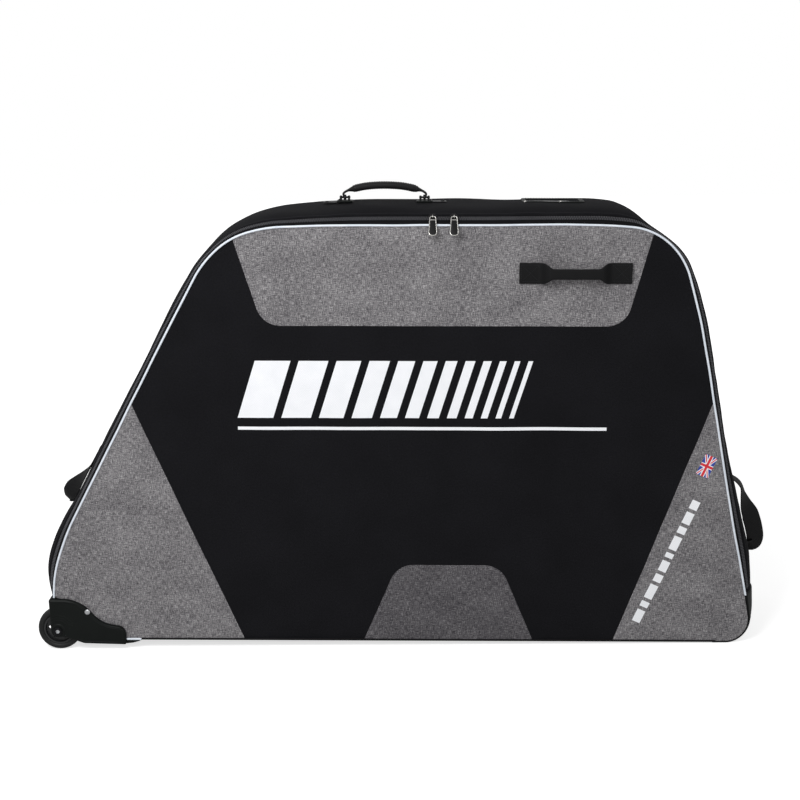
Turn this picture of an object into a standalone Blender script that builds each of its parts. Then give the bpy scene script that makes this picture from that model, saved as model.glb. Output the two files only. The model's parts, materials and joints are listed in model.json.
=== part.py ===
"""Soft travel bag for one bicycle, with two wheels and a front cover that opens on a zip.

The bag is modelled level in its own frame: +X runs from the wheels to the tow loop, +Y from the front
cover to the back, +Z up, with z = 0 on the underside of the base. A parent empty then tilts the whole
bag so that it stands on its wheels and on its lower right corner.
"""

import math
from collections import namedtuple

import bmesh
import bpy
from mathutils import Matrix, Vector

MM = 0.001

# Running gap between pieces that touch.
GAP = 0.3 * MM
CUT_OVERRUN = 5.0 * MM
# Facets: the body's outline, small rounded outlines, turned pieces, and spans between a sweep's points.
ARC_STEP = math.radians(9.0)
SMALL_ARC_STEP = math.radians(15.0)
PULL_ARC_STEP = math.radians(22.5)
WHEEL_STEPS = 32
HUB_STEPS = 24
PIN_STEPS = 20
SWEEP_STEPS = 4
GRAB_SWEEP_STEPS = 2
SHARP_ANGLE = math.radians(40.0)

# Body outline at the piping, seen from the front.
BASE_LEFT_X = -662.0 * MM
BASE_RIGHT_X = 674.0 * MM
TOP_LEFT_X = -324.0 * MM
TOP_RIGHT_X = 513.0 * MM
BODY_HEIGHT = 797.0 * MM
KNEE_HEIGHT = 152.0 * MM
BODY_DEPTH = 280.0 * MM
BASE_LEFT_RADIUS = 30.0 * MM
KNEE_RADIUS = 390.0 * MM
TOP_LEFT_RADIUS = 180.0 * MM
TOP_RIGHT_RADIUS = 114.0 * MM
BASE_RIGHT_RADIUS = 60.0 * MM

# Side wall: how far the padding stands out from the piping line, and how quickly it rises.
CROWN_TOP = 29.0 * MM
CROWN_SIDE = 20.5 * MM
CROWN_TOP_CORNER = 3.0 * MM
CROWN_LOW = 14.0 * MM
CROWN_BASE = 1.0 * MM
CROWN_RISE = 24.0 * MM
WALL_THICKNESS = 8.0 * MM
WALL_DEPTH_STEPS = 6
STATION_SPACING = 110.0 * MM

# Front and back panels.
PANEL_THICKNESS = 2.0 * MM
PADDING_THICKNESS = 8.5 * MM
SKIN_THICKNESS = 0.8 * MM
PIPING_RADIUS = 2.0 * MM
FOLD_HEIGHT = 99.0 * MM
PIPING_FOLD_MARGIN = 1.0 * MM
PIPING_END_HEIGHT = FOLD_HEIGHT + GAP + PIPING_FOLD_MARGIN
BASE_PIPING_RIGHT_X = 606.0 * MM
GUARD_THICKNESS = 2.5 * MM
GUARD_LIFT = 0.8 * MM
GUARD_FOLD_MARGIN = 2.0 * MM
GUARD_TOP_HEIGHT = FOLD_HEIGHT - GUARD_FOLD_MARGIN
GUARD_LEFT_X = 600.0 * MM

# Grey pieces sewn on the front, in the plane of the cover.
GREY_HEM = 3.0 * MM
GREY_TOP_DEPTH = 184.0 * MM
GREY_TOP_LEFT_X = -310.0 * MM
GREY_TOP_LEFT_FOOT_X = -250.0 * MM
GREY_TOP_RIGHT_X = 462.0 * MM
GREY_TOP_RIGHT_FOOT_X = 412.0 * MM
GREY_TOP_RADIUS = 45.0 * MM
GREY_LEFT_APEX_Z = 466.0 * MM
GREY_LEFT_FOOT_X = -297.0 * MM
GREY_RIGHT_APEX_Z = 472.0 * MM
GREY_RIGHT_FOOT_X = 409.0 * MM
GREY_CENTRE_TOP_Z = 152.5 * MM
GREY_CENTRE_TOP_LEFT_X = -4.0 * MM
GREY_CENTRE_TOP_RIGHT_X = 192.0 * MM
GREY_CENTRE_FOOT_LEFT_X = -68.0 * MM
GREY_CENTRE_FOOT_RIGHT_X = 256.0 * MM
GREY_CENTRE_RADIUS = 48.0 * MM

# Zip, on the shoulder of the side wall behind the front piping.
ZIP_DEPTH = 11.0 * MM
ZIP_ROW_WIDTH = 4.2 * MM
ZIP_ROW_THICKNESS = 1.6 * MM
ZIP_LIFT = 0.9 * MM
ZIP_FOLD_MARGIN = 5.0 * MM
ZIP_END_HEIGHT = FOLD_HEIGHT + GAP + ZIP_FOLD_MARGIN
SLIDER_LENGTH = 15.0 * MM
SLIDER_WIDTH = 11.0 * MM
SLIDER_PLATE = 2.0 * MM
SLIDER_LOOP_HEIGHT = 5.0 * MM
SLIDER_LOOP_WALL = 1.5 * MM
SLIDER_LOOP_LENGTH = 8.0 * MM
SLIDER_LOOP_WIDTH = 4.0 * MM
SLIDER_LEFT_X = 60.0 * MM
SLIDER_RIGHT_X = 98.5 * MM
PULL_LENGTH = 34.5 * MM
PULL_TOP_WIDTH = 12.0 * MM
PULL_WIDTH = 16.0 * MM
PULL_TOP_RADIUS = 4.5 * MM
PULL_FOOT_RADIUS = 7.0 * MM
PULL_THICKNESS = 2.4 * MM
PULL_RIM = 1.6 * MM
PULL_RECESS = 0.6 * MM
PULL_EYE_DROP = 7.0 * MM
PULL_MOST_LEAN = math.radians(50.0)
# Distance of the pull's top corners from its hinge, as a share of its thickness.
PULL_CORNER_SHARE = 0.75

# Base.
BASE_FABRIC = 3.0 * MM
BASE_BOARD = 4.0 * MM
BASE_BOARD_MARGIN = 4.0 * MM

# Wheels and their moulded corner housings.
WHEEL_DIAMETER = 84.0 * MM
WHEEL_WIDTH = 24.0 * MM
WHEEL_X = -655.0 * MM
WHEEL_Z = 19.0 * MM
TYRE_THICKNESS = 12.0 * MM
TYRE_SHOULDER = 5.0 * MM
HUB_WEB = 6.0 * MM
HUB_RIM = 3.0 * MM
HUB_NOSE_RADIUS = 11.0 * MM
HUB_SPOKE_HOLES = 6
HUB_HOLE_RADIUS = 4.2 * MM
HUB_HOLE_STEPS = 8
BEARING_RADIUS = 7.5 * MM
AXLE_RADIUS = 4.0 * MM
RUNNING_CLEARANCE = 0.1 * MM
AXLE_HEAD_RADIUS = 8.0 * MM
AXLE_HEAD_HEIGHT = 3.0 * MM
AXLE_SOCKET_RADIUS = 3.0 * MM
AXLE_SOCKET_DEPTH = 2.0 * MM
CHEEK_THICKNESS = 4.0 * MM
WELL_SIDE_CLEARANCE = 4.0 * MM
WELL_CLEARANCE = 5.0 * MM
HOUSING_PROUD = 8.0 * MM
HOUSING_TOP_Z = 82.0 * MM
HOUSING_EDGE = 2.0 * MM
HOUSING_LEFT_X = -671.0 * MM
HOUSING_SHOULDER_X = -612.0 * MM
HOUSING_SADDLE_X = -573.0 * MM
HOUSING_SADDLE_Z = 33.0 * MM
HOUSING_TOE_X = -526.0 * MM
HOUSING_TOE_Z = 26.0 * MM
HOUSING_TOE_LOW_Z = -9.0 * MM
HOUSING_HEEL_X = -606.0 * MM
HOUSING_HEEL_Z = -7.0 * MM
HOUSING_SHOULDER_RADIUS = 70.0 * MM
HOUSING_SADDLE_RADIUS = 60.0 * MM
HOUSING_TOE_RADIUS = 16.0 * MM
LOBE_RADIUS = 14.0 * MM
BOSS_RADIUS = 31.0 * MM
BOSS_WIDTH = 3.0 * MM
BOSS_HEIGHT = 1.2 * MM
RIVET_X = -597.0 * MM
RIVET_Z = 58.0 * MM
RIVET_RADIUS = 5.5 * MM
RIVET_HEIGHT = 2.2 * MM
# Shares of the rivet's radius and of its height, from the crest down to the rim.
RIVET_DOME_SHARES = ((0.0, 1.0), (0.5, 0.9), (0.85, 0.55), (1.0, 0.0))

# Carry handle on top.
HANDLE_X = -29.0 * MM
HANDLE_SPAN = 150.0 * MM
HANDLE_RISE = 33.0 * MM
HANDLE_SHOULDER_RISE = 22.0 * MM
HANDLE_SHOULDER_INSET = 9.0 * MM
HANDLE_BOW = 3.0 * MM
HANDLE_GRIP_WIDTH = 26.0 * MM
HANDLE_GRIP_THICKNESS = 13.0 * MM
HANDLE_NECK_WIDTH = 14.0 * MM
HANDLE_END_THICKNESS = 5.0 * MM
HANDLE_EYE_RADIUS = 5.0 * MM
HANDLE_EYE_WIDTH = 2 * HANDLE_EYE_RADIUS - GAP
HANDLE_PIN_RADIUS = 2.0 * MM
HANDLE_PIN_STEPS = 12
FOOT_LENGTH = 30.0 * MM
FOOT_WIDTH = 34.0 * MM
FOOT_PLATE = 2.5 * MM
FOOT_LUG = 4.0 * MM
HANDLE_SIDE_GAP = 0.6 * MM
HANDLE_PLATE_LENGTH = 26.0 * MM
HANDLE_PLATE_WIDTH = 22.0 * MM
HANDLE_PLATE_THICKNESS = 1.2 * MM
# Shares of the handle's way where its ends start and finish swelling into the grip.
HANDLE_TAPER_SHARES = (0.14, 0.36)
HANDLE_EYE_SHARES = (0.03, 0.12)

# Address-label holder on top.
LABEL_X = 287.0 * MM
LABEL_LENGTH = 116.0 * MM
LABEL_WIDTH = 72.0 * MM
LABEL_BORDER = 8.0 * MM
LABEL_THICKNESS = 4.0 * MM
LABEL_RADIUS = 8.0 * MM
LABEL_WINDOW_THICKNESS = 1.0 * MM

# Grab handle on the cover.
GRAB_X = 319.0 * MM
GRAB_DROP = 86.0 * MM
GRAB_Z = BODY_HEIGHT - GRAB_DROP
GRAB_LENGTH = 205.0 * MM
GRAB_END_LENGTH = 40.0 * MM
GRAB_WEBBING = 38.0 * MM
GRAB_END_THICKNESS = 2.4 * MM
GRAB_GRIP_HEIGHT = 19.0 * MM
GRAB_GRIP_THICKNESS = 6.0 * MM
GRAB_STRAP_THICKNESS = 3.0 * MM
GRAB_STAND_OFF = 13.0 * MM
GRAB_CREST = 1.5 * MM
# Shares of the free half length and of the stand-off, from a sewn end to where the grip starts.
GRAB_RISE_SHARES = ((1.0, 0.12), (0.86, 0.7), (0.76, 0.98), (0.7, 1.0))
# Share of the rising strap where it starts to fold; it is folded where the grip starts.
GRAB_FOLD_SHARE = 0.4

# Webbing loops on the two ends.
LOOP_WEBBING = 42.0 * MM
LOOP_THICKNESS = 4.0 * MM
PATCH_THICKNESS = 2.0 * MM
PATCH_MARGIN = 16.0 * MM
LEFT_LOOP_LOW_Z = 226.0 * MM
LEFT_LOOP_HIGH_Z = 328.0 * MM
LEFT_LOOP_STAND_OFF = 34.0 * MM
LEFT_LOOP_DROOP = 0.0 * MM
RIGHT_LOOP_LOW_Z = 158.0 * MM
RIGHT_LOOP_HIGH_Z = 292.0 * MM
RIGHT_LOOP_STAND_OFF = 50.0 * MM
RIGHT_LOOP_DROOP = 22.0 * MM
# Points of a loop as shares of its length along the wall, of its stand-off and of its droop.
LOOP_SHARES = (
    (0.06, 0.0, 0.0),
    (0.0, 0.42, 0.55),
    (0.0, 0.86, 1.0),
    (0.16, 1.0, 0.0),
    (0.46, 0.9, 0.0),
    (0.68, 0.66, 0.0),
    (0.84, 0.36, 0.0),
    (1.0, 0.0, 0.0),
)
# The points of the list between which a loop swings. Its feet are sewn to the patch.
LOOP_BIGHT = (3, 5)
LOOP_BITE = 0.2 * MM

# What holds the bicycle inside.
SLEEVE_MARGIN = 49.0 * MM
SLEEVE_RADIUS = (BODY_HEIGHT - FOLD_HEIGHT) / 2 - SLEEVE_MARGIN
SLEEVE_THICKNESS = 12.0 * MM
SLEEVE_EDGE = 5.0 * MM
SLEEVE_STEPS = 40
COVER_SLEEVE_X = 130.0 * MM
COVER_SLEEVE_Z = (BODY_HEIGHT + FOLD_HEIGHT) / 2
BACK_SLEEVE_X = -120.0 * MM
BACK_SLEEVE_DROP = 80.0 * MM
BACK_SLEEVE_Z = COVER_SLEEVE_Z - BACK_SLEEVE_DROP
BLOCK_X = 60.0 * MM
BLOCK_LENGTH = 200.0 * MM
BLOCK_WIDTH = 110.0 * MM
BLOCK_HEIGHT = 60.0 * MM
BLOCK_GROOVE_RADIUS = 32.0 * MM
BLOCK_EDGE = 6.0 * MM
TIE_X = -180.0 * MM
TIE_WIDTH = 38.0 * MM
TIE_THICKNESS = 2.5 * MM
TIE_LENGTH = 220.0 * MM

COLOURS = {
    "black_fabric": ((0.016, 0.016, 0.018), 0.85, 0.0),
    "grey_fabric": ((0.15, 0.145, 0.145), 0.9, 0.0),
    "black_webbing": ((0.012, 0.012, 0.013), 0.8, 0.0),
    "white_piping": ((0.75, 0.77, 0.8), 0.45, 0.0),
    "black_piping": ((0.02, 0.02, 0.022), 0.6, 0.0),
    "zip_coil": ((0.02, 0.02, 0.022), 0.45, 0.0),
    "nickel": ((0.5, 0.5, 0.5), 0.3, 1.0),
    "black_moulding": ((0.02, 0.02, 0.021), 0.5, 0.0),
    "black_tyre": ((0.018, 0.018, 0.018), 0.6, 0.0),
    "grey_hub": ((0.06, 0.06, 0.065), 0.4, 0.0),
    "steel": ((0.55, 0.55, 0.56), 0.3, 1.0),
    "clear_window": ((0.5, 0.52, 0.54), 0.2, 0.0),
    "foam": ((0.05, 0.05, 0.055), 0.95, 0.0),
    "board": ((0.03, 0.03, 0.03), 0.7, 0.0),
}

Station = namedtuple("Station", "x z nx nz s")
Corner = namedtuple("Corner", "s_start s_end")


def clear_scene():
    """Start from an empty file."""
    for obj in list(bpy.data.objects):
        bpy.data.objects.remove(obj, do_unlink=True)


def make_materials():
    """One Principled material for each finish."""
    made = {}
    for name, (colour, roughness, metallic) in COLOURS.items():
        material = bpy.data.materials.new(name)
        material.use_nodes = True
        shader = material.node_tree.nodes["Principled BSDF"]
        shader.inputs["Base Color"].default_value = (*colour, 1.0)
        shader.inputs["Roughness"].default_value = roughness
        shader.inputs["Metallic"].default_value = metallic
        material.diffuse_color = (*colour, 1.0)
        made[name] = material
    return made


clear_scene()
MATERIALS = make_materials()
PARTS = bpy.data.collections.new("soft_bike_travel_bag")
CUTTERS = bpy.data.collections.new("cutters")
bpy.context.scene.collection.children.link(PARTS)
bpy.context.scene.collection.children.link(CUTTERS)
FRAME = bpy.data.objects.new("bag_frame", None)
PARTS.objects.link(FRAME)


def pivot(name, position):
    """An empty on a joint's axis, in the bag's own frame."""
    empty = bpy.data.objects.new(name, None)
    empty.location = position
    empty.parent = FRAME
    PARTS.objects.link(empty)
    return empty


def add_object(name, mesh, material, parent=None):
    """Link a mesh whose points are in the bag's frame, and move its origin to its parent's."""
    carrier = parent or FRAME
    origin = carrier.location if parent else Vector((0.0, 0.0, 0.0))
    mesh.transform(Matrix.Translation(-origin))
    obj = bpy.data.objects.new(name, mesh)
    obj.data.materials.clear()
    obj.data.materials.append(MATERIALS[material])
    obj.parent = carrier
    PARTS.objects.link(obj)
    return obj


def mesh_from(bm, name):
    """Close a bmesh into a mesh with its faces pointing out."""
    if bm.calc_volume(signed=True) < 0.0:
        bmesh.ops.reverse_faces(bm, faces=bm.faces[:])
    mesh = bpy.data.meshes.new(name)
    bm.to_mesh(mesh)
    bm.free()
    mesh.shade_smooth()
    mesh.set_sharp_from_angle(angle=SHARP_ANGLE)
    return mesh


def loft_mesh(name, rings, closed=False):
    """Skin equal rings of points in order. An open loft gets a flat cap at each end."""
    bm = bmesh.new()
    loops = [[bm.verts.new(point) for point in ring] for ring in rings]
    count = len(loops[0])
    pairs = list(zip(loops[:-1], loops[1:]))
    if closed:
        pairs.append((loops[-1], loops[0]))
    for low, high in pairs:
        for i in range(count):
            j = (i + 1) % count
            bm.faces.new((low[i], low[j], high[j], high[i]))
    if not closed:
        bm.faces.new(list(reversed(loops[0])))
        bm.faces.new(loops[-1])
    return mesh_from(bm, name)


def plate_mesh(name, points, front_y, rear_y):
    """An upright plate: a flat outline in X and Z, as thick as from front_y to rear_y."""
    curve = bpy.data.curves.new(name, "CURVE")
    curve.dimensions = "2D"
    curve.fill_mode = "BOTH"
    curve.extrude = (rear_y - front_y) / 2
    spline = curve.splines.new("POLY")
    spline.points.add(len(points) - 1)
    for target, (x, z) in zip(spline.points, points):
        target.co = (x, z, 0.0, 1.0)
    spline.use_cyclic_u = True
    guide = bpy.data.objects.new(name + "_outline", curve)
    CUTTERS.objects.link(guide)
    mesh = baked(guide)
    mesh.transform(Matrix.Rotation(math.radians(90.0), 4, "X"))
    mesh.transform(Matrix.Translation((0.0, (front_y + rear_y) / 2, 0.0)))
    return mesh


def tube_mesh(name, points, radius):
    """A round cord along a run of points, with closed ends."""
    curve = bpy.data.curves.new(name, "CURVE")
    curve.dimensions = "3D"
    curve.bevel_depth = radius
    curve.bevel_resolution = 1
    curve.use_fill_caps = True
    spline = curve.splines.new("POLY")
    spline.points.add(len(points) - 1)
    for target, point in zip(spline.points, points):
        target.co = (*point, 1.0)
    guide = bpy.data.objects.new(name + "_path", curve)
    CUTTERS.objects.link(guide)
    return baked(guide)


def baked(guide):
    """The evaluated mesh of a guide object, welded, with the guide removed."""
    bpy.context.view_layer.update()
    graph = bpy.context.evaluated_depsgraph_get()
    mesh = bpy.data.meshes.new_from_object(guide.evaluated_get(graph))
    mesh.transform(guide.matrix_world)
    bm = bmesh.new()
    bm.from_mesh(mesh)
    bpy.data.meshes.remove(mesh)
    bmesh.ops.remove_doubles(bm, verts=bm.verts[:], dist=0.001 * MM)
    bpy.data.objects.remove(guide, do_unlink=True)
    return mesh_from(bm, "baked")


def cylinder_mesh(name, radius, start, end, segments=24):
    """A cylinder between two points."""
    axis = Vector(end) - Vector(start)
    bm = bmesh.new()
    bmesh.ops.create_cone(
        bm, cap_ends=True, segments=segments, radius1=radius, radius2=radius, depth=axis.length
    )
    turn = axis.to_track_quat("Z", "Y").to_matrix().to_4x4()
    bm.transform(Matrix.Translation((Vector(start) + Vector(end)) / 2) @ turn)
    return mesh_from(bm, name)


def box_mesh(name, low, high, edge=0.0):
    """A box between two corners, with its edges rounded by edge."""
    size = [b - a for a, b in zip(low, high)]
    middle = [(a + b) / 2 for a, b in zip(low, high)]
    bm = bmesh.new()
    bmesh.ops.create_cube(bm, size=1.0)
    bm.transform(Matrix.Translation(middle) @ Matrix.Diagonal((*size, 1.0)))
    if edge:
        bmesh.ops.bevel(
            bm, geom=bm.edges[:], offset=edge, segments=2, affect="EDGES", profile=0.5
        )
    return mesh_from(bm, name)


def revolve_mesh(name, profile, centre, steps=WHEEL_STEPS):
    """Turn a closed profile of (radius, depth) points about an axis along Y through centre."""
    bm = bmesh.new()
    verts = [bm.verts.new((radius, 0.0, depth)) for radius, depth in profile]
    for i, vert in enumerate(verts):
        bm.edges.new((vert, verts[(i + 1) % len(verts)]))
    mesh = bpy.data.meshes.new(name)
    bm.to_mesh(mesh)
    bm.free()
    guide = bpy.data.objects.new(name + "_profile", mesh)
    CUTTERS.objects.link(guide)
    screw = guide.modifiers.new("turn", "SCREW")
    screw.steps = steps
    screw.render_steps = steps
    screw.use_merge_vertices = True
    screw.merge_threshold = 0.001 * MM
    turned = baked(guide)
    turned.transform(Matrix.Rotation(math.radians(90.0), 4, "X"))
    turned.transform(Matrix.Translation(centre))
    return turned


def cut(obj, meshes, operation="DIFFERENCE"):
    """Boolean an object with meshes in the bag's frame, and apply the result."""
    offset = -obj.parent.location if obj.parent != FRAME else Vector((0.0, 0.0, 0.0))
    for mesh in meshes:
        cutter_mesh = mesh.copy()
        cutter_mesh.transform(Matrix.Translation(offset))
        cutter = bpy.data.objects.new(obj.name + "_cutter", cutter_mesh)
        cutter.parent = obj.parent
        cutter.hide_render = True
        cutter.display_type = "WIRE"
        CUTTERS.objects.link(cutter)
        modifier = obj.modifiers.new("cut", "BOOLEAN")
        modifier.operation = operation
        modifier.solver = "EXACT"
        modifier.object = cutter
        bpy.context.view_layer.update()
        graph = bpy.context.evaluated_depsgraph_get()
        result = bpy.data.meshes.new_from_object(obj.evaluated_get(graph))
        obj.modifiers.remove(modifier)
        obj.data = result
        bpy.data.objects.remove(cutter, do_unlink=True)
    return obj


def join_mesh(name, first, others):
    """One body from overlapping meshes."""
    obj = bpy.data.objects.new(name + "_joined", first)
    obj.parent = FRAME
    CUTTERS.objects.link(obj)
    cut(obj, others, "UNION")
    mesh = obj.data
    bpy.data.objects.remove(obj, do_unlink=True)
    return mesh


def rounded_outline(corners, arc_step=ARC_STEP):
    """Stations round a closed clockwise outline of (x, z, radius) corners, and where each arc lies.

    A corner turns through an arc of its radius whose ends lie radius * tan(turn / 2) from the corner.
    """
    stations = []
    arcs = []
    travelled = 0.0
    count = len(corners)
    for i, (x, z, radius) in enumerate(corners):
        before = Vector((x - corners[i - 1][0], z - corners[i - 1][1])).normalized()
        after_point = corners[(i + 1) % count]
        after = Vector((after_point[0] - x, after_point[1] - z)).normalized()
        turn = math.atan2(before.x * after.y - before.y * after.x, before.dot(after))
        tangent = radius * abs(math.tan(turn / 2))
        start = Vector((x, z)) - before * tangent
        side = math.copysign(1.0, turn)
        centre = start + Vector((-before.y, before.x)) * side * radius
        steps = max(1, math.ceil(abs(turn) / arc_step))
        if stations:
            travelled += (start - Vector((stations[-1].x, stations[-1].z))).length
        s_start = travelled
        for k in range(steps + 1):
            angle = turn * k / steps
            spin = Matrix.Rotation(angle, 2)
            point = centre + spin @ (start - centre)
            heading = spin @ before
            s = s_start + abs(angle) * radius
            stations.append(Station(point.x, point.y, -heading.y, heading.x, s))
        travelled = s_start + abs(turn) * radius
        arcs.append(Corner(s_start, travelled))
    return stations, arcs


BODY_CORNERS = (
    (BASE_LEFT_X, 0.0, BASE_LEFT_RADIUS),
    (BASE_LEFT_X, KNEE_HEIGHT, KNEE_RADIUS),
    (TOP_LEFT_X, BODY_HEIGHT, TOP_LEFT_RADIUS),
    (TOP_RIGHT_X, BODY_HEIGHT, TOP_RIGHT_RADIUS),
    (BASE_RIGHT_X, 0.0, BASE_RIGHT_RADIUS),
)
OUTLINE, ARCS = rounded_outline(BODY_CORNERS)
LOW_LEFT, KNEE, TOP_LEFT, TOP_RIGHT, LOW_RIGHT = ARCS
FRONT_Y = -BODY_DEPTH / 2
REAR_Y = BODY_DEPTH / 2


def station_at(s):
    """The outline's station at a distance along it."""
    for low, high in zip(OUTLINE[:-1], OUTLINE[1:]):
        if low.s <= s <= high.s and high.s > low.s:
            share = (s - low.s) / (high.s - low.s)
            values = [a + (b - a) * share for a, b in zip(low, high)]
            length = math.hypot(values[2], values[3])
            return Station(values[0], values[1], values[2] / length, values[3] / length, s)
    return OUTLINE[-1] if s > OUTLINE[-1].s else OUTLINE[0]


def distance_at_height(z, side):
    """Distance along the outline where the left or right side passes a height."""
    top = (TOP_LEFT.s_end + TOP_RIGHT.s_start) / 2
    for low, high in zip(OUTLINE[:-1], OUTLINE[1:]):
        on_side = high.s <= top if side == "left" else low.s >= top
        if on_side and (low.z - z) * (high.z - z) <= 0.0 and low.z != high.z:
            return low.s + (high.s - low.s) * (z - low.z) / (high.z - low.z)
    raise ValueError("no such height")


def distance_at_top(x):
    """Distance along the straight top run at a place in X."""
    return TOP_LEFT.s_end + (x - station_at(TOP_LEFT.s_end).x)


def shared_marks():
    """Distances where every band has a ring, so that bands that lie on each other have the same facets."""
    marks = [st.s for st in OUTLINE]
    for low, high in zip(OUTLINE[:-1], OUTLINE[1:]):
        spans = math.ceil((high.s - low.s) / STATION_SPACING)
        marks += [low.s + (high.s - low.s) * k / spans for k in range(1, spans)]
    for side in ("left", "right"):
        heights = [FOLD_HEIGHT, FOLD_HEIGHT + GAP, ZIP_END_HEIGHT]
        if side == "left":
            heights += [HOUSING_TOP_Z, HOUSING_TOP_Z + 3 * GAP]
            heights += [LEFT_LOOP_LOW_Z - PATCH_MARGIN, LEFT_LOOP_HIGH_Z + PATCH_MARGIN]
        else:
            heights += [GUARD_TOP_HEIGHT]
            heights += [RIGHT_LOOP_LOW_Z - PATCH_MARGIN, RIGHT_LOOP_HIGH_Z + PATCH_MARGIN]
        marks += [distance_at_height(z, side) for z in heights]
    marks.sort()
    return [s for i, s in enumerate(marks) if i == 0 or s - marks[i - 1] > 0.01 * MM]


def run(s_from, s_to):
    """The shared stations between two distances, both ends included."""
    margin = 0.01 * MM
    inner = [s for s in MARKS if s_from + margin < s < s_to - margin]
    return [station_at(s) for s in (s_from, *inner, s_to)]


MARKS = shared_marks()

CROWN_KEYS = (
    (LOW_LEFT.s_end, CROWN_BASE),
    ((KNEE.s_start + KNEE.s_end) / 2, CROWN_LOW),
    (KNEE.s_end, CROWN_SIDE),
    (TOP_LEFT.s_start, CROWN_SIDE),
    ((TOP_LEFT.s_start + TOP_LEFT.s_end) / 2, CROWN_TOP_CORNER),
    (TOP_LEFT.s_end, CROWN_TOP),
    (TOP_RIGHT.s_start, CROWN_TOP),
    ((TOP_RIGHT.s_start + TOP_RIGHT.s_end) / 2, CROWN_TOP_CORNER),
    (TOP_RIGHT.s_end, CROWN_SIDE),
    (distance_at_height(GUARD_TOP_HEIGHT, "right"), CROWN_LOW),
    ((LOW_RIGHT.s_start + LOW_RIGHT.s_end) / 2, CROWN_BASE),
)


def eased_crown(s):
    """How far the padding stands out at mid-depth, eased between the places that set it."""
    if s <= CROWN_KEYS[0][0]:
        return CROWN_KEYS[0][1]
    for (s0, c0), (s1, c1) in zip(CROWN_KEYS[:-1], CROWN_KEYS[1:]):
        if s0 <= s <= s1:
            share = (1 - math.cos(math.pi * (s - s0) / (s1 - s0))) / 2
            return c0 + (c1 - c0) * share
    return CROWN_KEYS[-1][1]


def rise_at(depth):
    """Share of the crown that the fabric has reached at a depth, from either piping."""
    near = 1 - math.exp(-depth / CROWN_RISE)
    far = 1 - math.exp(-(BODY_DEPTH - depth) / CROWN_RISE)
    return near * far


def straight_between(marks, law, value):
    """A law read off straight lines between marks, as the faceted wall has it."""
    value = min(max(value, marks[0]), marks[-1])
    for low, high in zip(marks[:-1], marks[1:]):
        if low <= value <= high:
            share = (value - low) / (high - low)
            return law(low) * (1 - share) + law(high) * share
    return law(marks[-1])


def surface(s, depth):
    """Outward offset of the fabric at a distance behind the front piping."""
    return straight_between(MARKS, eased_crown, s) * straight_between(DEPTHS, rise_at, depth)


def place(station, depth, offset):
    """A point in the bag's frame from the outline, a depth behind the piping and an outward offset."""
    return Vector(
        (station.x + station.nx * offset, FRONT_Y + depth, station.z + station.nz * offset)
    )


def band_mesh(name, stations, front, rear, outer, inner):
    """A band along the outline, from front to rear depth, between two offset laws."""
    rings = []
    for station in stations:
        low = front(station) if callable(front) else front
        wall = max(low, WALL_START)
        depths = [low, *[d for d in DEPTHS if wall + GAP < d < rear - GAP], rear]
        ring = [place(station, d, outer(station, d)) for d in depths]
        ring += [place(station, d, inner(station, d)) for d in reversed(depths)]
        rings.append(ring)
    return loft_mesh(name, rings)


def inset_outline(inset):
    """The body's outline drawn in by a margin, as (x, z) points."""
    return [(st.x - st.nx * inset, st.z - st.nz * inset) for st in OUTLINE]


def above(points, z):
    """Keep a polygon's part above a level."""
    return clip(points, lambda point: point[1] - z)


def below(points, z):
    """Keep a polygon's part below a level."""
    return clip(points, lambda point: z - point[1])


def clip(points, side):
    """Keep the part of a polygon where side is positive, cut along side = 0."""
    kept = []
    for here, there in zip(points, points[1:] + points[:1]):
        a = side(here)
        b = side(there)
        if a >= 0.0:
            kept.append(here)
        if (a > 0.0 > b) or (a < 0.0 < b):
            share = a / (a - b)
            kept.append(tuple(p + (q - p) * share for p, q in zip(here, there)))
    tidy = []
    for point in kept:
        if not tidy or math.dist(point, tidy[-1]) > 0.01 * MM:
            tidy.append(point)
    return tidy


def line_side(a, b):
    """Signed distance from the line a to b, positive on its right."""
    direction = Vector((b[0] - a[0], b[1] - a[1])).normalized()
    return lambda point: (point[0] - a[0]) * direction.y - (point[1] - a[1]) * direction.x


LID = pivot("cover_hinge", (0.0, FRONT_Y - GAP - SKIN_THICKNESS, FOLD_HEIGHT + GAP / 2))
FOLD_HIGH = FOLD_HEIGHT + GAP
PANEL_INSET = PIPING_RADIUS + GAP
RIM_START = PANEL_THICKNESS + GAP
PADDING_FRONT_Y = FRONT_Y + PANEL_THICKNESS + GAP
PADDING_REAR_Y = PADDING_FRONT_Y + PADDING_THICKNESS
WALL_START = max(ZIP_DEPTH, PANEL_THICKNESS + GAP + PADDING_THICKNESS) + GAP
WALL_END = BODY_DEPTH - PANEL_THICKNESS - GAP
DEPTHS = [0.0, RIM_START]
for STEP in range(WALL_DEPTH_STEPS + 1):
    SHARE = (1 - math.cos(math.pi * STEP / WALL_DEPTH_STEPS)) / 2
    DEPTHS.append(WALL_START + (WALL_END - WALL_START) * SHARE)
DEPTHS.append(BODY_DEPTH)
HOUSING_FRONT_Y = FRONT_Y - HOUSING_PROUD
WELL_WIDTH = WHEEL_WIDTH + 2 * WELL_SIDE_CLEARANCE
HOUSING_DEPTH = 2 * CHEEK_THICKNESS + WELL_WIDTH
HOUSING_INNER_Y = HOUSING_FRONT_Y + HOUSING_DEPTH


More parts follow.
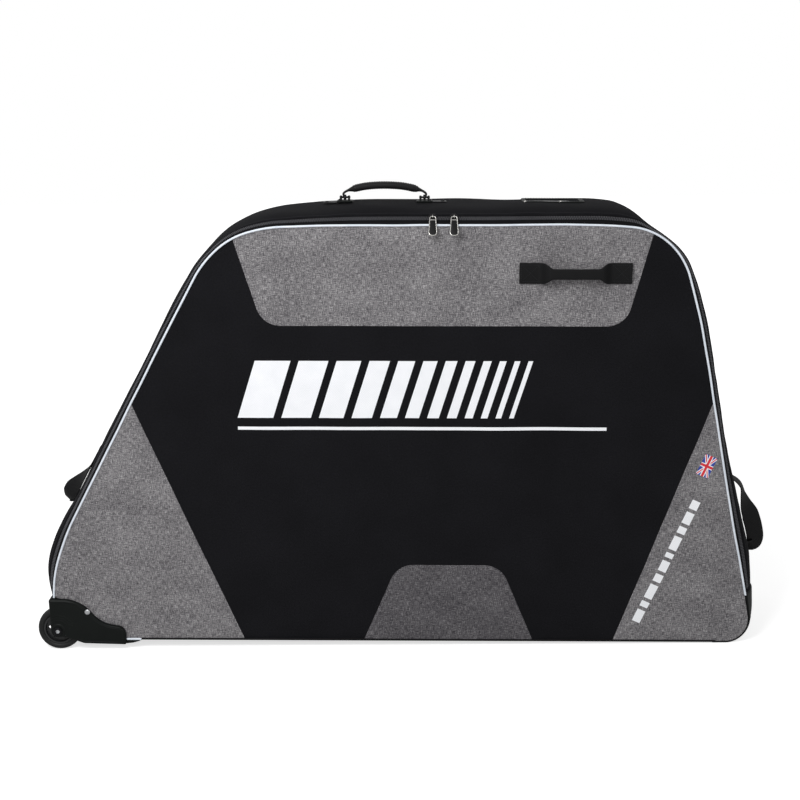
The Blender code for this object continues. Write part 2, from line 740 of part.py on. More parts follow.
def make_side_wall():
    """The padded side wall, its stretch between the wheels, and the narrow rim of the cover."""
    stations = run(distance_at_height(HOUSING_TOP_Z + 3 * GAP, "left"), LOW_RIGHT.s_end)

    def front(station):
        return RIM_START if station.z <= FOLD_HEIGHT + GAP / 2 else WALL_START

    def outer(station, depth):
        return surface(station.s, depth)

    def wall_inner(station, depth):
        return surface(station.s, depth) - WALL_THICKNESS

    add_object("gusset", band_mesh("gusset", stations, front, WALL_END, outer, wall_inner), "black_fabric")

    low_front = HOUSING_INNER_Y - FRONT_Y + GAP
    low_stations = run(OUTLINE[0].s, distance_at_height(HOUSING_TOP_Z, "left"))
    add_object(
        "gusset_between_wheels",
        band_mesh("gusset_low", low_stations, low_front, BODY_DEPTH - low_front, outer, wall_inner),
        "black_fabric",
    )

    rim_stations = run(distance_at_height(FOLD_HIGH, "left"), distance_at_height(FOLD_HIGH, "right"))

    def rim_inner(station, depth):
        return -PIPING_RADIUS

    add_object(
        "cover_rim",
        band_mesh("cover_rim", rim_stations, RIM_START, ZIP_DEPTH - GAP, outer, rim_inner),
        "black_fabric",
        LID,
    )


def make_panels():
    """Front cover, fixed lower strip, back panel and the padding behind them."""
    whole = inset_outline(PANEL_INSET)
    panel_rear = FRONT_Y + PANEL_THICKNESS
    lid = above(whole, FOLD_HIGH)
    add_object("front_panel", plate_mesh("front_panel", lid, FRONT_Y, panel_rear), "black_fabric", LID)
    lid_padding = plate_mesh("front_padding", lid, PADDING_FRONT_Y, PADDING_REAR_Y)
    add_object("front_padding", lid_padding, "foam", LID)
    low = below(whole, FOLD_HEIGHT)
    strip = add_object(
        "front_lower_panel", plate_mesh("front_lower_panel", low, FRONT_Y, panel_rear), "black_fabric"
    )
    cut(strip, [housing_cutter(-1.0)])
    back = add_object(
        "back_panel", plate_mesh("back_panel", whole, REAR_Y - PANEL_THICKNESS, REAR_Y), "black_fabric"
    )
    cut(back, [housing_cutter(1.0)])
    padding_rear = REAR_Y - PANEL_THICKNESS - GAP
    inner = above(inset_outline(WALL_THICKNESS + 2 * GAP), BASE_FABRIC + BASE_BOARD + 2 * GAP)
    back_mesh = plate_mesh("back_padding", inner, padding_rear - PADDING_THICKNESS, padding_rear)
    padding = add_object("back_padding", back_mesh, "foam")
    cut(padding, [housing_cutter(1.0)])


def grey_outline(kind):
    """The outlines of the grey pieces on the front, as (x, z) points."""
    field = inset_outline(PANEL_INSET + GREY_HEM)
    if kind == "top":
        low = BODY_HEIGHT - GREY_TOP_DEPTH
        corners = (
            (GREY_TOP_LEFT_X, BODY_HEIGHT, 0.0),
            (GREY_TOP_RIGHT_X, BODY_HEIGHT, 0.0),
            (GREY_TOP_RIGHT_FOOT_X, low, GREY_TOP_RADIUS),
            (GREY_TOP_LEFT_FOOT_X, low, GREY_TOP_RADIUS),
        )
        return trimmed(corners, field)
    if kind == "centre":
        corners = (
            (GREY_CENTRE_FOOT_LEFT_X, 0.0, 0.0),
            (GREY_CENTRE_TOP_LEFT_X, GREY_CENTRE_TOP_Z, GREY_CENTRE_RADIUS),
            (GREY_CENTRE_TOP_RIGHT_X, GREY_CENTRE_TOP_Z, GREY_CENTRE_RADIUS),
            (GREY_CENTRE_FOOT_RIGHT_X, 0.0, 0.0),
        )
        return trimmed(corners, field)
    if kind == "left":
        apex = station_at(distance_at_height(GREY_LEFT_APEX_Z, "left"))
        return clip(field, line_side((apex.x, apex.z), (GREY_LEFT_FOOT_X, 0.0)))
    apex = station_at(distance_at_height(GREY_RIGHT_APEX_Z, "right"))
    return clip(field, line_side((GREY_RIGHT_FOOT_X, 0.0), (apex.x, apex.z)))


def trimmed(corners, field):
    """A rounded outline trimmed by each edge of a convex field."""
    points = [(st.x, st.z) for st in rounded_outline(corners, SMALL_ARC_STEP)[0]]
    for a, b in zip(field, field[1:] + field[:1]):
        if math.dist(a, b) > 0.01 * MM:
            points = clip(points, line_side(a, b))
    return points


def make_grey_pieces():
    """Heather grey pieces sewn on the cover and on the fixed strip below its fold."""
    rear = FRONT_Y - GAP
    front = rear - SKIN_THICKNESS
    top = grey_outline("top")
    add_object("grey_top_panel", plate_mesh("grey_top_panel", top, front, rear), "grey_fabric", LID)
    for kind in ("left", "right", "centre"):
        points = grey_outline(kind)
        name = "grey_" + kind + "_panel"
        upper = above(points, FOLD_HIGH)
        add_object(name, plate_mesh(name, upper, front, rear), "grey_fabric", LID)
        lower = below(points, FOLD_HEIGHT)
        low_name = "grey_" + kind + "_strip"
        strip = add_object(low_name, plate_mesh(low_name, lower, front, rear), "grey_fabric")
        if kind == "left":
            cut(strip, [housing_cutter(-1.0)])


def make_piping():
    """White piping round the cover and along the lower front edge, dark piping round the back."""
    left = distance_at_height(PIPING_END_HEIGHT, "left")
    right = distance_at_height(PIPING_END_HEIGHT, "right")
    cover = [place(st, 0.0, 0.0) for st in run(left, right)]
    add_object("front_piping", tube_mesh("front_piping", cover, PIPING_RADIUS), "white_piping", LID)
    base_left = HOUSING_TOE_X + 2 * GAP
    low = [(base_left, FRONT_Y, 0.0), (BASE_PIPING_RIGHT_X, FRONT_Y, 0.0)]
    add_object("front_base_piping", tube_mesh("front_base_piping", low, PIPING_RADIUS), "white_piping")
    start = distance_at_height(HOUSING_TOP_Z + PIPING_RADIUS, "left")
    rear = [place(st, BODY_DEPTH, 0.0) for st in run(start, LOW_RIGHT.s_end)]
    rear.append(Vector((base_left, REAR_Y, 0.0)))
    add_object("rear_piping", tube_mesh("rear_piping", rear, PIPING_RADIUS), "black_piping")


def make_zip():
    """The two coil rows of the zip, one on the cover and one on the bag."""
    left = distance_at_height(ZIP_END_HEIGHT, "left")
    right = distance_at_height(ZIP_END_HEIGHT, "right")
    stations = run(left, right)

    def outer(station, depth):
        return surface(station.s, depth) + ZIP_LIFT + ZIP_ROW_THICKNESS

    def inner(station, depth):
        return surface(station.s, depth) + ZIP_LIFT

    middle = (ZIP_DEPTH - GAP + WALL_START) / 2
    add_object(
        "zip_row_cover",
        band_mesh("zip_row_cover", stations, middle - ZIP_ROW_WIDTH, middle - GAP / 2, outer, inner),
        "zip_coil",
        LID,
    )
    add_object(
        "zip_row_bag",
        band_mesh("zip_row_bag", stations, middle + GAP / 2, middle + ZIP_ROW_WIDTH, outer, inner),
        "zip_coil",
    )
    return middle


def zip_frame(x, middle):
    """Where a slider sits: its centre on the coil, the way along, across and out of the wall."""
    s = distance_at_top(x)
    station = station_at(s)
    step = ZIP_ROW_WIDTH
    rise = surface(s, middle + step) - surface(s, middle - step)
    across = Vector((0.0, 2 * step, rise)).normalized()
    out = Vector((1.0, 0.0, 0.0)).cross(across)
    centre = place(station, middle, surface(s, middle) + ZIP_LIFT + ZIP_ROW_THICKNESS)
    return centre, Vector((1.0, 0.0, 0.0)), across, out


def oriented(mesh, centre, along, across, out):
    """Carry a mesh from its own axes to a frame on the bag."""
    turn = Matrix((along, across, out)).transposed().to_4x4()
    mesh.transform(Matrix.Translation(centre) @ turn)
    return mesh


def make_sliders(middle):
    """Two sliders whose pulls hang over the front piping."""
    for side, x in (("left", SLIDER_LEFT_X), ("right", SLIDER_RIGHT_X)):
        centre, along, across, out = zip_frame(x, middle)
        centre = centre + out * 2 * GAP
        body = box_mesh(
            "slider",
            (-SLIDER_LENGTH / 2, -SLIDER_WIDTH / 2, 0.0),
            (SLIDER_LENGTH / 2, SLIDER_WIDTH / 2, SLIDER_PLATE),
            SLIDER_PLATE / 4,
        )
        loop = box_mesh(
            "loop",
            (-SLIDER_LOOP_LENGTH / 2, -SLIDER_LOOP_WIDTH / 2, SLIDER_PLATE / 2),
            (SLIDER_LOOP_LENGTH / 2, SLIDER_LOOP_WIDTH / 2, SLIDER_PLATE + SLIDER_LOOP_HEIGHT),
            SLIDER_LOOP_WALL / 3,
        )
        hole_high = SLIDER_PLATE + SLIDER_LOOP_HEIGHT - SLIDER_LOOP_WALL
        hole = box_mesh(
            "hole",
            (SLIDER_LOOP_WALL - SLIDER_LOOP_LENGTH / 2, -SLIDER_WIDTH, SLIDER_PLATE),
            (SLIDER_LOOP_LENGTH / 2 - SLIDER_LOOP_WALL, SLIDER_WIDTH, hole_high),
        )
        mesh = join_mesh("slider", body, [loop])
        slider_pivot = pivot("zip_slider_" + side + "_origin", centre)
        for piece in (mesh, hole):
            oriented(piece, centre, along, across, out)
        slider = add_object("zip_slider_" + side, mesh, "nickel", slider_pivot)
        cut(slider, [hole])
        make_pull(side, centre, along, across, out)


def pull_outline(inset, drop):
    """Tapered tab, wider at its foot, drawn in by a margin and with its top lowered."""
    top = PULL_THICKNESS / 2 - drop
    taper = (PULL_WIDTH - PULL_TOP_WIDTH) / 2 * drop / PULL_LENGTH
    half_top = PULL_TOP_WIDTH / 2 + taper - inset
    half_foot = PULL_WIDTH / 2 - inset
    foot = -PULL_LENGTH + inset
    corners = (
        (-half_foot, foot, PULL_FOOT_RADIUS - inset),
        (-half_top, top, PULL_TOP_RADIUS - inset),
        (half_top, top, PULL_TOP_RADIUS - inset),
        (half_foot, foot, PULL_FOOT_RADIUS - inset),
    )
    return [(st.x, st.z) for st in rounded_outline(corners, PULL_ARC_STEP)[0]]


def make_pull(side, centre, along, across, out):
    """A zip pull hanging from its slider's loop."""
    bar = SLIDER_PLATE + SLIDER_LOOP_HEIGHT / 2
    reach = SLIDER_LOOP_WIDTH / 2 + PULL_THICKNESS * PULL_CORNER_SHARE + GAP
    hinge = centre + out * bar - across * reach
    pull_pivot = pivot("zip_pull_" + side + "_hinge", hinge)
    front = -PULL_THICKNESS / 2
    tail = plate_mesh("pull", pull_outline(0.0, 0.0), front, -front)
    recess = plate_mesh(
        "recess", pull_outline(PULL_RIM, PULL_EYE_DROP), front - CUT_OVERRUN, front + PULL_RECESS
    )
    clear_y = FRONT_Y - PIPING_RADIUS - GAP - PULL_THICKNESS
    lean = math.atan2(hinge.y - clear_y, hinge.z - BODY_HEIGHT) if hinge.z > BODY_HEIGHT else 0.0
    lean = max(0.0, min(lean, PULL_MOST_LEAN))
    hang = Matrix.Translation(hinge) @ Matrix.Rotation(-lean, 4, "X")
    for piece in (tail, recess):
        piece.transform(hang)
    pull = add_object("zip_pull_" + side, tail, "nickel", pull_pivot)
    cut(pull, [recess])


def housing_outline(grow=0.0, lobed=True):
    """Front view of a wheel housing: level top, sloping saddle, toe, and the lobe round the axle."""
    lobe_left = WHEEL_X - LOBE_RADIUS
    lobe_right = WHEEL_X + LOBE_RADIUS
    lobe_low = WHEEL_Z - LOBE_RADIUS
    corners = [
        (HOUSING_LEFT_X, HOUSING_TOP_Z, HOUSING_EDGE),
        (HOUSING_SHOULDER_X, HOUSING_TOP_Z, HOUSING_SHOULDER_RADIUS),
        (HOUSING_SADDLE_X, HOUSING_SADDLE_Z, HOUSING_SADDLE_RADIUS),
        (HOUSING_TOE_X, HOUSING_TOE_Z, HOUSING_TOE_RADIUS),
        (HOUSING_TOE_X, HOUSING_TOE_LOW_Z, HOUSING_EDGE),
        (HOUSING_HEEL_X, HOUSING_HEEL_Z, LOBE_RADIUS),
    ]
    if lobed:
        corners += [
            (lobe_right, lobe_low, LOBE_RADIUS / 2),
            (lobe_left, lobe_low, LOBE_RADIUS),
        ]
    else:
        corners += [(HOUSING_LEFT_X, HOUSING_HEEL_Z, HOUSING_EDGE)]
    stations = rounded_outline(corners, SMALL_ARC_STEP)[0]
    return [(st.x + st.nx * grow, st.z + st.nz * grow) for st in stations]


def housing_cutter(side):
    """What the panels leave free round a housing on the front (-1) or back (+1)."""
    low = HOUSING_FRONT_Y - CUT_OVERRUN
    high = HOUSING_INNER_Y + GAP
    points = housing_outline(2 * GAP, lobed=False)
    points = [(x - CUT_OVERRUN * 2 if x < WHEEL_X else x, z) for x, z in points]
    points = [(x, z - CUT_OVERRUN * 2 if z < 0.0 else z) for x, z in points]
    front, rear = (low, high) if side < 0.0 else (-high, -low)
    return plate_mesh("housing_cutter", points, front, rear)


def mirrored(mesh):
    """A copy of a mesh on the other side of the bag's middle plane."""
    twin = mesh.copy()
    twin.transform(Matrix.Diagonal((1.0, -1.0, 1.0, 1.0)))
    twin.flip_normals()
    return twin


def make_housings():
    """Wheel housings: two cheeks and the arch between them, with an embossed boss on the outer cheek."""
    front = HOUSING_FRONT_Y
    rear = HOUSING_INNER_Y
    boss = revolve_mesh(
        "boss",
        (
            (BOSS_RADIUS, -CHEEK_THICKNESS / 2),
            (BOSS_RADIUS, BOSS_HEIGHT / 2),
            (BOSS_RADIUS - BOSS_WIDTH / 2, BOSS_HEIGHT),
            (BOSS_RADIUS - BOSS_WIDTH, BOSS_HEIGHT / 2),
            (BOSS_RADIUS - BOSS_WIDTH, -CHEEK_THICKNESS / 2),
        ),
        (WHEEL_X, front, WHEEL_Z),
        HUB_STEPS,
    )
    boss_object = bpy.data.objects.new("boss", boss)
    boss_object.parent = FRAME
    CUTTERS.objects.link(boss_object)
    limit = plate_mesh("limit", housing_outline(-BOSS_HEIGHT), front - BOSS_WIDTH, rear + BOSS_WIDTH)
    cut(boss_object, [limit], "INTERSECT")
    boss = boss_object.data
    bpy.data.objects.remove(boss_object, do_unlink=True)
    well = cylinder_mesh(
        "well",
        WHEEL_DIAMETER / 2 + WELL_CLEARANCE,
        (WHEEL_X, front + CHEEK_THICKNESS, WHEEL_Z),
        (WHEEL_X, rear - CHEEK_THICKNESS, WHEEL_Z),
        WHEEL_STEPS,
    )
    bore = cylinder_mesh(
        "bore",
        AXLE_RADIUS + RUNNING_CLEARANCE,
        (WHEEL_X, front - CUT_OVERRUN, WHEEL_Z),
        (WHEEL_X, rear + CUT_OVERRUN, WHEEL_Z),
    )
    blank = plate_mesh("housing", housing_outline(), front, rear)
    housing = add_object("front_wheel_housing", blank, "black_moulding")
    cut(housing, [well, bore])
    cut(housing, [boss], "UNION")
    add_object("rear_wheel_housing", mirrored(housing.data), "black_moulding")


def make_rivet(side, name):
    """A domed rivet that holds the housing to the bag."""
    face = side * (REAR_Y + HOUSING_PROUD)
    out = face + side * GAP
    profile = [(RIVET_RADIUS * wide, RIVET_HEIGHT * high) for wide, high in RIVET_DOME_SHARES]
    profile.append((0.0, 0.0))
    rivet = revolve_mesh("rivet", profile, (0.0, 0.0, 0.0), PIN_STEPS)
    if side > 0.0:
        rivet.transform(Matrix.Rotation(math.pi, 4, "Z"))
    rivet.transform(Matrix.Translation((RIVET_X, out, RIVET_Z)))
    add_object(name, rivet, "steel")


def make_wheel(side, where):
    """Tyre, spoked hub and bearing sleeve on a bolt through both cheeks of the housing."""
    centre_y = side * (REAR_Y + HOUSING_PROUD - HOUSING_DEPTH / 2)
    centre = Vector((WHEEL_X, centre_y, WHEEL_Z))
    axle_pivot = pivot(where + "_wheel_axle", centre)
    half = WHEEL_WIDTH / 2
    radius = WHEEL_DIAMETER / 2
    rim = radius - TYRE_THICKNESS
    tyre_profile = (
        (rim + GAP, half - TYRE_SHOULDER / 2),
        (radius - TYRE_SHOULDER, half),
        (radius - TYRE_SHOULDER / 4, half - TYRE_SHOULDER),
        (radius, 0.0),
        (radius - TYRE_SHOULDER / 4, TYRE_SHOULDER - half),
        (radius - TYRE_SHOULDER, -half),
        (rim + GAP, TYRE_SHOULDER / 2 - half),
    )
    tyre = revolve_mesh("tyre", tyre_profile, centre)
    add_object(where + "_tyre", tyre, "black_tyre", axle_pivot)
    web = HUB_WEB / 2
    lip = half - TYRE_SHOULDER / 2
    nose = half + WELL_SIDE_CLEARANCE - 2 * GAP
    bore = BEARING_RADIUS + GAP
    hub_profile = (
        (bore, nose),
        (HUB_NOSE_RADIUS, nose),
        (HUB_NOSE_RADIUS, web),
        (rim - HUB_RIM, web),
        (rim - HUB_RIM, lip),
        (rim, lip),
        (rim, -lip),
        (rim - HUB_RIM, -lip),
        (rim - HUB_RIM, -web),
        (HUB_NOSE_RADIUS, -web),
        (HUB_NOSE_RADIUS, -nose),
        (bore, -nose),
    )
    hub_mesh = revolve_mesh("hub", hub_profile, centre, HUB_STEPS)
    hub = add_object(where + "_hub", hub_mesh, "grey_hub", axle_pivot)
    ring = (HUB_NOSE_RADIUS + rim - HUB_RIM) / 2
    holes = []
    for k in range(HUB_SPOKE_HOLES):
        angle = 2 * math.pi * k / HUB_SPOKE_HOLES
        middle = centre + Vector((ring * math.cos(angle), 0.0, ring * math.sin(angle)))
        reach = Vector((0.0, HUB_WEB, 0.0))
        hole = cylinder_mesh("hole", HUB_HOLE_RADIUS, middle - reach, middle + reach, HUB_HOLE_STEPS)
        holes.append(hole)
    cut(hub, holes)
    inner = AXLE_RADIUS + RUNNING_CLEARANCE
    bearing_profile = ((inner, nose), (BEARING_RADIUS, nose), (BEARING_RADIUS, -nose), (inner, -nose))
    bearing = revolve_mesh("bearing", bearing_profile, centre, PIN_STEPS)
    add_object(where + "_bearing", bearing, "steel", axle_pivot)
    make_axle(side, where)


def make_axle(side, where):
    """A socket-headed bolt through the housing."""
    face = side * (REAR_Y + HOUSING_PROUD)
    inner = side * (REAR_Y + HOUSING_PROUD - HOUSING_DEPTH)
    seat = face + side * GAP
    top = seat + side * AXLE_HEAD_HEIGHT
    root = seat + side * GAP
    shank = cylinder_mesh("shank", AXLE_RADIUS, (WHEEL_X, inner, WHEEL_Z), (WHEEL_X, root, WHEEL_Z))
    head = cylinder_mesh("head", AXLE_HEAD_RADIUS, (WHEEL_X, seat, WHEEL_Z), (WHEEL_X, top, WHEEL_Z))
    socket = cylinder_mesh(
        "socket",
        AXLE_SOCKET_RADIUS,
        (WHEEL_X, top - side * AXLE_SOCKET_DEPTH, WHEEL_Z),
        (WHEEL_X, top + side * CUT_OVERRUN, WHEEL_Z),
        6,
    )
    bolt = add_object(where + "_axle_bolt", join_mesh("bolt", head, [shank]), "steel")
    cut(bolt, [socket])


def make_base():
    """Bottom fabric, the stiff board on it, and the scuff guard round the lower right corner."""
    low_y = FRONT_Y + PANEL_THICKNESS + GAP
    high_y = REAR_Y - PANEL_THICKNESS - GAP
    left = OUTLINE[0].x
    for st in OUTLINE:
        if st.s <= LOW_LEFT.s_end and st.z <= GAP:
            left = max(left, st.x)
    right = station_at(LOW_RIGHT.s_end).x
    sole = add_object(
        "bottom_panel",
        box_mesh("bottom_panel", (left + GAP, low_y, 0.0), (right - GAP, high_y, BASE_FABRIC)),
        "black_fabric",
    )
    board_low = BASE_FABRIC + GAP
    board = add_object(
        "base_board",
        box_mesh(
            "base_board",
            (left + BASE_BOARD_MARGIN, low_y + BASE_BOARD_MARGIN + PADDING_THICKNESS, board_low),
            (right - BASE_BOARD_MARGIN, high_y - BASE_BOARD_MARGIN, board_low + BASE_BOARD),
        ),
        "board",
    )
    for piece in (sole, board):
        cut(piece, [housing_cutter(-1.0), housing_cutter(1.0)])
    start = distance_at_height(GUARD_TOP_HEIGHT, "right")
    stations = run(start, LOW_RIGHT.s_end)

    def outer(station, depth):
        return surface(station.s, depth) + GUARD_LIFT + GUARD_THICKNESS

    def inner(station, depth):
        return surface(station.s, depth) + GUARD_LIFT

    add_object(
        "corner_guard",
        band_mesh("corner_guard", stations, RIM_START, WALL_END, outer, inner),
        "black_moulding",
    )


def sweep_mesh(name, path, section):
    """Skin a section along a path. section(share) gives (across, out) points in the path's own plane."""
    rings = []
    for i, (point, along, across, out) in enumerate(path):
        share = i / (len(path) - 1)
        rings.append([point + across * a + out * o for a, o in section(share)])
    return loft_mesh(name, rings)


def swell_at(share, taper_shares):
    """0 at both ends of a handle and 1 along its grip, eased as 3t^2 - 2t^3 between two shares."""
    start, finish = taper_shares
    from_end = 0.5 - abs(share - 0.5)
    t = min(1.0, max(0.0, (from_end - start) / (finish - start)))
    return t * t * (3 - 2 * t)


def smooth_curve(points, steps=SWEEP_STEPS):
    """A Catmull-Rom curve through points, with steps spans between neighbours."""
    padded = [points[0] * 2 - points[1], *points, points[-1] * 2 - points[-2]]
    curve = []
    for i in range(1, len(padded) - 2):
        p0, p1, p2, p3 = padded[i - 1 : i + 3]
        for k in range(steps):
            t = k / steps
            curve.append(
                0.5
                * (
                    2 * p1
                    + (p2 - p0) * t
                    + (2 * p0 - 5 * p1 + 4 * p2 - p3) * t**2
                    + (3 * p1 - p0 - 3 * p2 + p3) * t**3
                )
            )
    curve.append(padded[-2].copy())
    return curve


def path_frames(points, across):
    """Each point of a path with its heading, a fixed direction across it and the way out of it."""
    frames = []
    for i, point in enumerate(points):
        before = points[max(i - 1, 0)]
        after = points[min(i + 1, len(points) - 1)]
        along = (after - before).normalized()
        frames.append((point, along, across, along.cross(across).normalized()))
    return frames


def rounded_section(width, thickness, segments=8, power=4.0):
    """A superellipse section: |a / half width| ** power + |o / half thickness| ** power = 1."""
    points = []
    for k in range(segments):
        angle = 2 * math.pi * (k + 0.5) / segments
        c = math.cos(angle)
        s = math.sin(angle)
        a = math.copysign(abs(c) ** (2 / power), c) * width / 2
        o = math.copysign(abs(s) ** (2 / power), s) * thickness / 2
        points.append((a, o))
    return points


def top_surface_z(x, depth):
    """Height of the fabric on the straight top run."""
    return BODY_HEIGHT + surface(distance_at_top(x), depth)


def make_top_handle():
    """Moulded grip whose ends swing on pins in two feet, with a steel plate beyond each foot."""
    middle_depth = BODY_DEPTH / 2
    deck = top_surface_z(HANDLE_X, middle_depth)
    foot_top = deck + GAP + FOOT_PLATE
    pin_z = foot_top + HANDLE_EYE_RADIUS + 2 * GAP
    hinge = pivot("top_handle_hinge", (HANDLE_X, 0.0, pin_z))
    half = HANDLE_SPAN / 2
    knee = half - HANDLE_SHOULDER_INSET
    crest = Vector((0.0, 0.0, HANDLE_RISE))
    shoulder_z = HANDLE_SHOULDER_RISE
    centre = Vector((HANDLE_X, 0.0, pin_z))
    shape = [
        Vector((-half, 0.0, 0.0)),
        Vector((-half - HANDLE_BOW, 0.0, shoulder_z / 2)),
        Vector((-knee, 0.0, shoulder_z)),
        Vector((-knee / 2, 0.0, (shoulder_z + 3 * HANDLE_RISE) / 4)),
        crest,
        Vector((knee / 2, 0.0, (shoulder_z + 3 * HANDLE_RISE) / 4)),
        Vector((knee, 0.0, shoulder_z)),
        Vector((half + HANDLE_BOW, 0.0, shoulder_z / 2)),
        Vector((half, 0.0, 0.0)),
    ]
    curve = [centre + point for point in smooth_curve(shape)]
    frames = path_frames(curve, Vector((0.0, 1.0, 0.0)))

    def section(share):
        swell = swell_at(share, HANDLE_TAPER_SHARES)
        neck = swell_at(share, HANDLE_EYE_SHARES)
        width = HANDLE_EYE_WIDTH + (HANDLE_NECK_WIDTH - HANDLE_EYE_WIDTH) * neck
        width += (HANDLE_GRIP_WIDTH - HANDLE_NECK_WIDTH) * swell
        thickness = HANDLE_END_THICKNESS + (HANDLE_GRIP_THICKNESS - HANDLE_END_THICKNESS) * swell
        return rounded_section(width, thickness)

    grip = sweep_mesh("grip", frames, section)
    eyes = []
    bores = []
    lug_y = HANDLE_EYE_RADIUS
    for sign in (-1.0, 1.0):
        x = HANDLE_X + sign * half
        eye_half = HANDLE_END_THICKNESS / 2
        eye_ends = ((x - eye_half, 0.0, pin_z), (x + eye_half, 0.0, pin_z))
        eyes.append(cylinder_mesh("eye", HANDLE_EYE_RADIUS, *eye_ends, HANDLE_PIN_STEPS))
        bore_ends = ((x - FOOT_LENGTH, 0.0, pin_z), (x + FOOT_LENGTH, 0.0, pin_z))
        bores.append(cylinder_mesh("bore", HANDLE_PIN_RADIUS + GAP, *bore_ends, HANDLE_PIN_STEPS))
    grip = join_mesh("grip", grip, eyes)
    handle = add_object("top_handle_grip", grip, "black_moulding", hinge)
    cut(handle, bores)
    for sign, side in ((-1.0, "left"), (1.0, "right")):
        x = HANDLE_X + sign * half
        plate = box_mesh(
            "foot",
            (x - FOOT_LENGTH / 2, -FOOT_WIDTH / 2, deck + GAP),
            (x + FOOT_LENGTH / 2, FOOT_WIDTH / 2, foot_top),
            FOOT_PLATE / 4,
        )
        lugs = []
        slot = HANDLE_EYE_RADIUS + HANDLE_SIDE_GAP
        for way in (-1.0, 1.0):
            ends = sorted((x + way * slot, x + way * (slot + FOOT_LUG)))
            lugs.append(
                box_mesh(
                    "lug",
                    (ends[0], -lug_y, deck + 2 * GAP),
                    (ends[1], lug_y, pin_z + HANDLE_EYE_RADIUS),
                    FOOT_PLATE / 4,
                )
            )
        foot_mesh = join_mesh("foot", plate, lugs)
        foot = add_object("top_handle_foot_" + side, foot_mesh, "black_moulding")
        cut(foot, [bores[0] if sign < 0.0 else bores[1]])
        reach = slot + FOOT_LUG
        pin_ends = ((x - reach, 0.0, pin_z), (x + reach, 0.0, pin_z))
        pin = cylinder_mesh("pin", HANDLE_PIN_RADIUS, *pin_ends, HANDLE_PIN_STEPS)
        add_object("top_handle_pin_" + side, pin, "steel")
        plate_start = FOOT_LENGTH / 2 + GAP
        plate_ends = sorted((x + sign * plate_start, x + sign * (plate_start + HANDLE_PLATE_LENGTH)))
        steel = box_mesh(
            "plate",
            (plate_ends[0], -HANDLE_PLATE_WIDTH / 2, deck + GAP),
            (plate_ends[1], HANDLE_PLATE_WIDTH / 2, deck + GAP + HANDLE_PLATE_THICKNESS),
            HANDLE_PLATE_THICKNESS / 4,
        )
        add_object("top_handle_plate_" + side, steel, "steel")


def make_label_holder():
    """A framed clear window for an address card."""
    deck = top_surface_z(LABEL_X, BODY_DEPTH / 2) + GAP
    half_x = LABEL_LENGTH / 2
    half_y = LABEL_WIDTH / 2

    def ring(inset, low, high):
        radius = max(LABEL_RADIUS - inset, LABEL_RADIUS / 4)
        corners = (
            (LABEL_X - half_x + inset, -half_y + inset, radius),
            (LABEL_X - half_x + inset, half_y - inset, radius),
            (LABEL_X + half_x - inset, half_y - inset, radius),
            (LABEL_X + half_x - inset, -half_y + inset, radius),
        )
        points = [(st.x, -st.z) for st in rounded_outline(corners, SMALL_ARC_STEP)[0]]
        mesh = plate_mesh("ring", points, low, high)
        mesh.transform(Matrix.Rotation(math.radians(-90.0), 4, "X"))
        mesh.transform(Matrix.Diagonal((1.0, -1.0, -1.0, 1.0)))
        return mesh

    frame = add_object("label_frame", ring(0.0, deck, deck + LABEL_THICKNESS), "black_moulding")
    cut(frame, [ring(LABEL_BORDER, deck - CUT_OVERRUN, deck + LABEL_THICKNESS + CUT_OVERRUN)])
    window = ring(LABEL_BORDER + GAP, deck, deck + LABEL_WINDOW_THICKNESS)
    add_object("label_window", window, "clear_window")


def squared(frames, heading, *which):
    """Turn the rings at some places of a path square to a heading."""
    for i in which:
        point, _, across, _ = frames[i]
        frames[i] = (point, heading, across, heading.cross(across).normalized())
    return frames


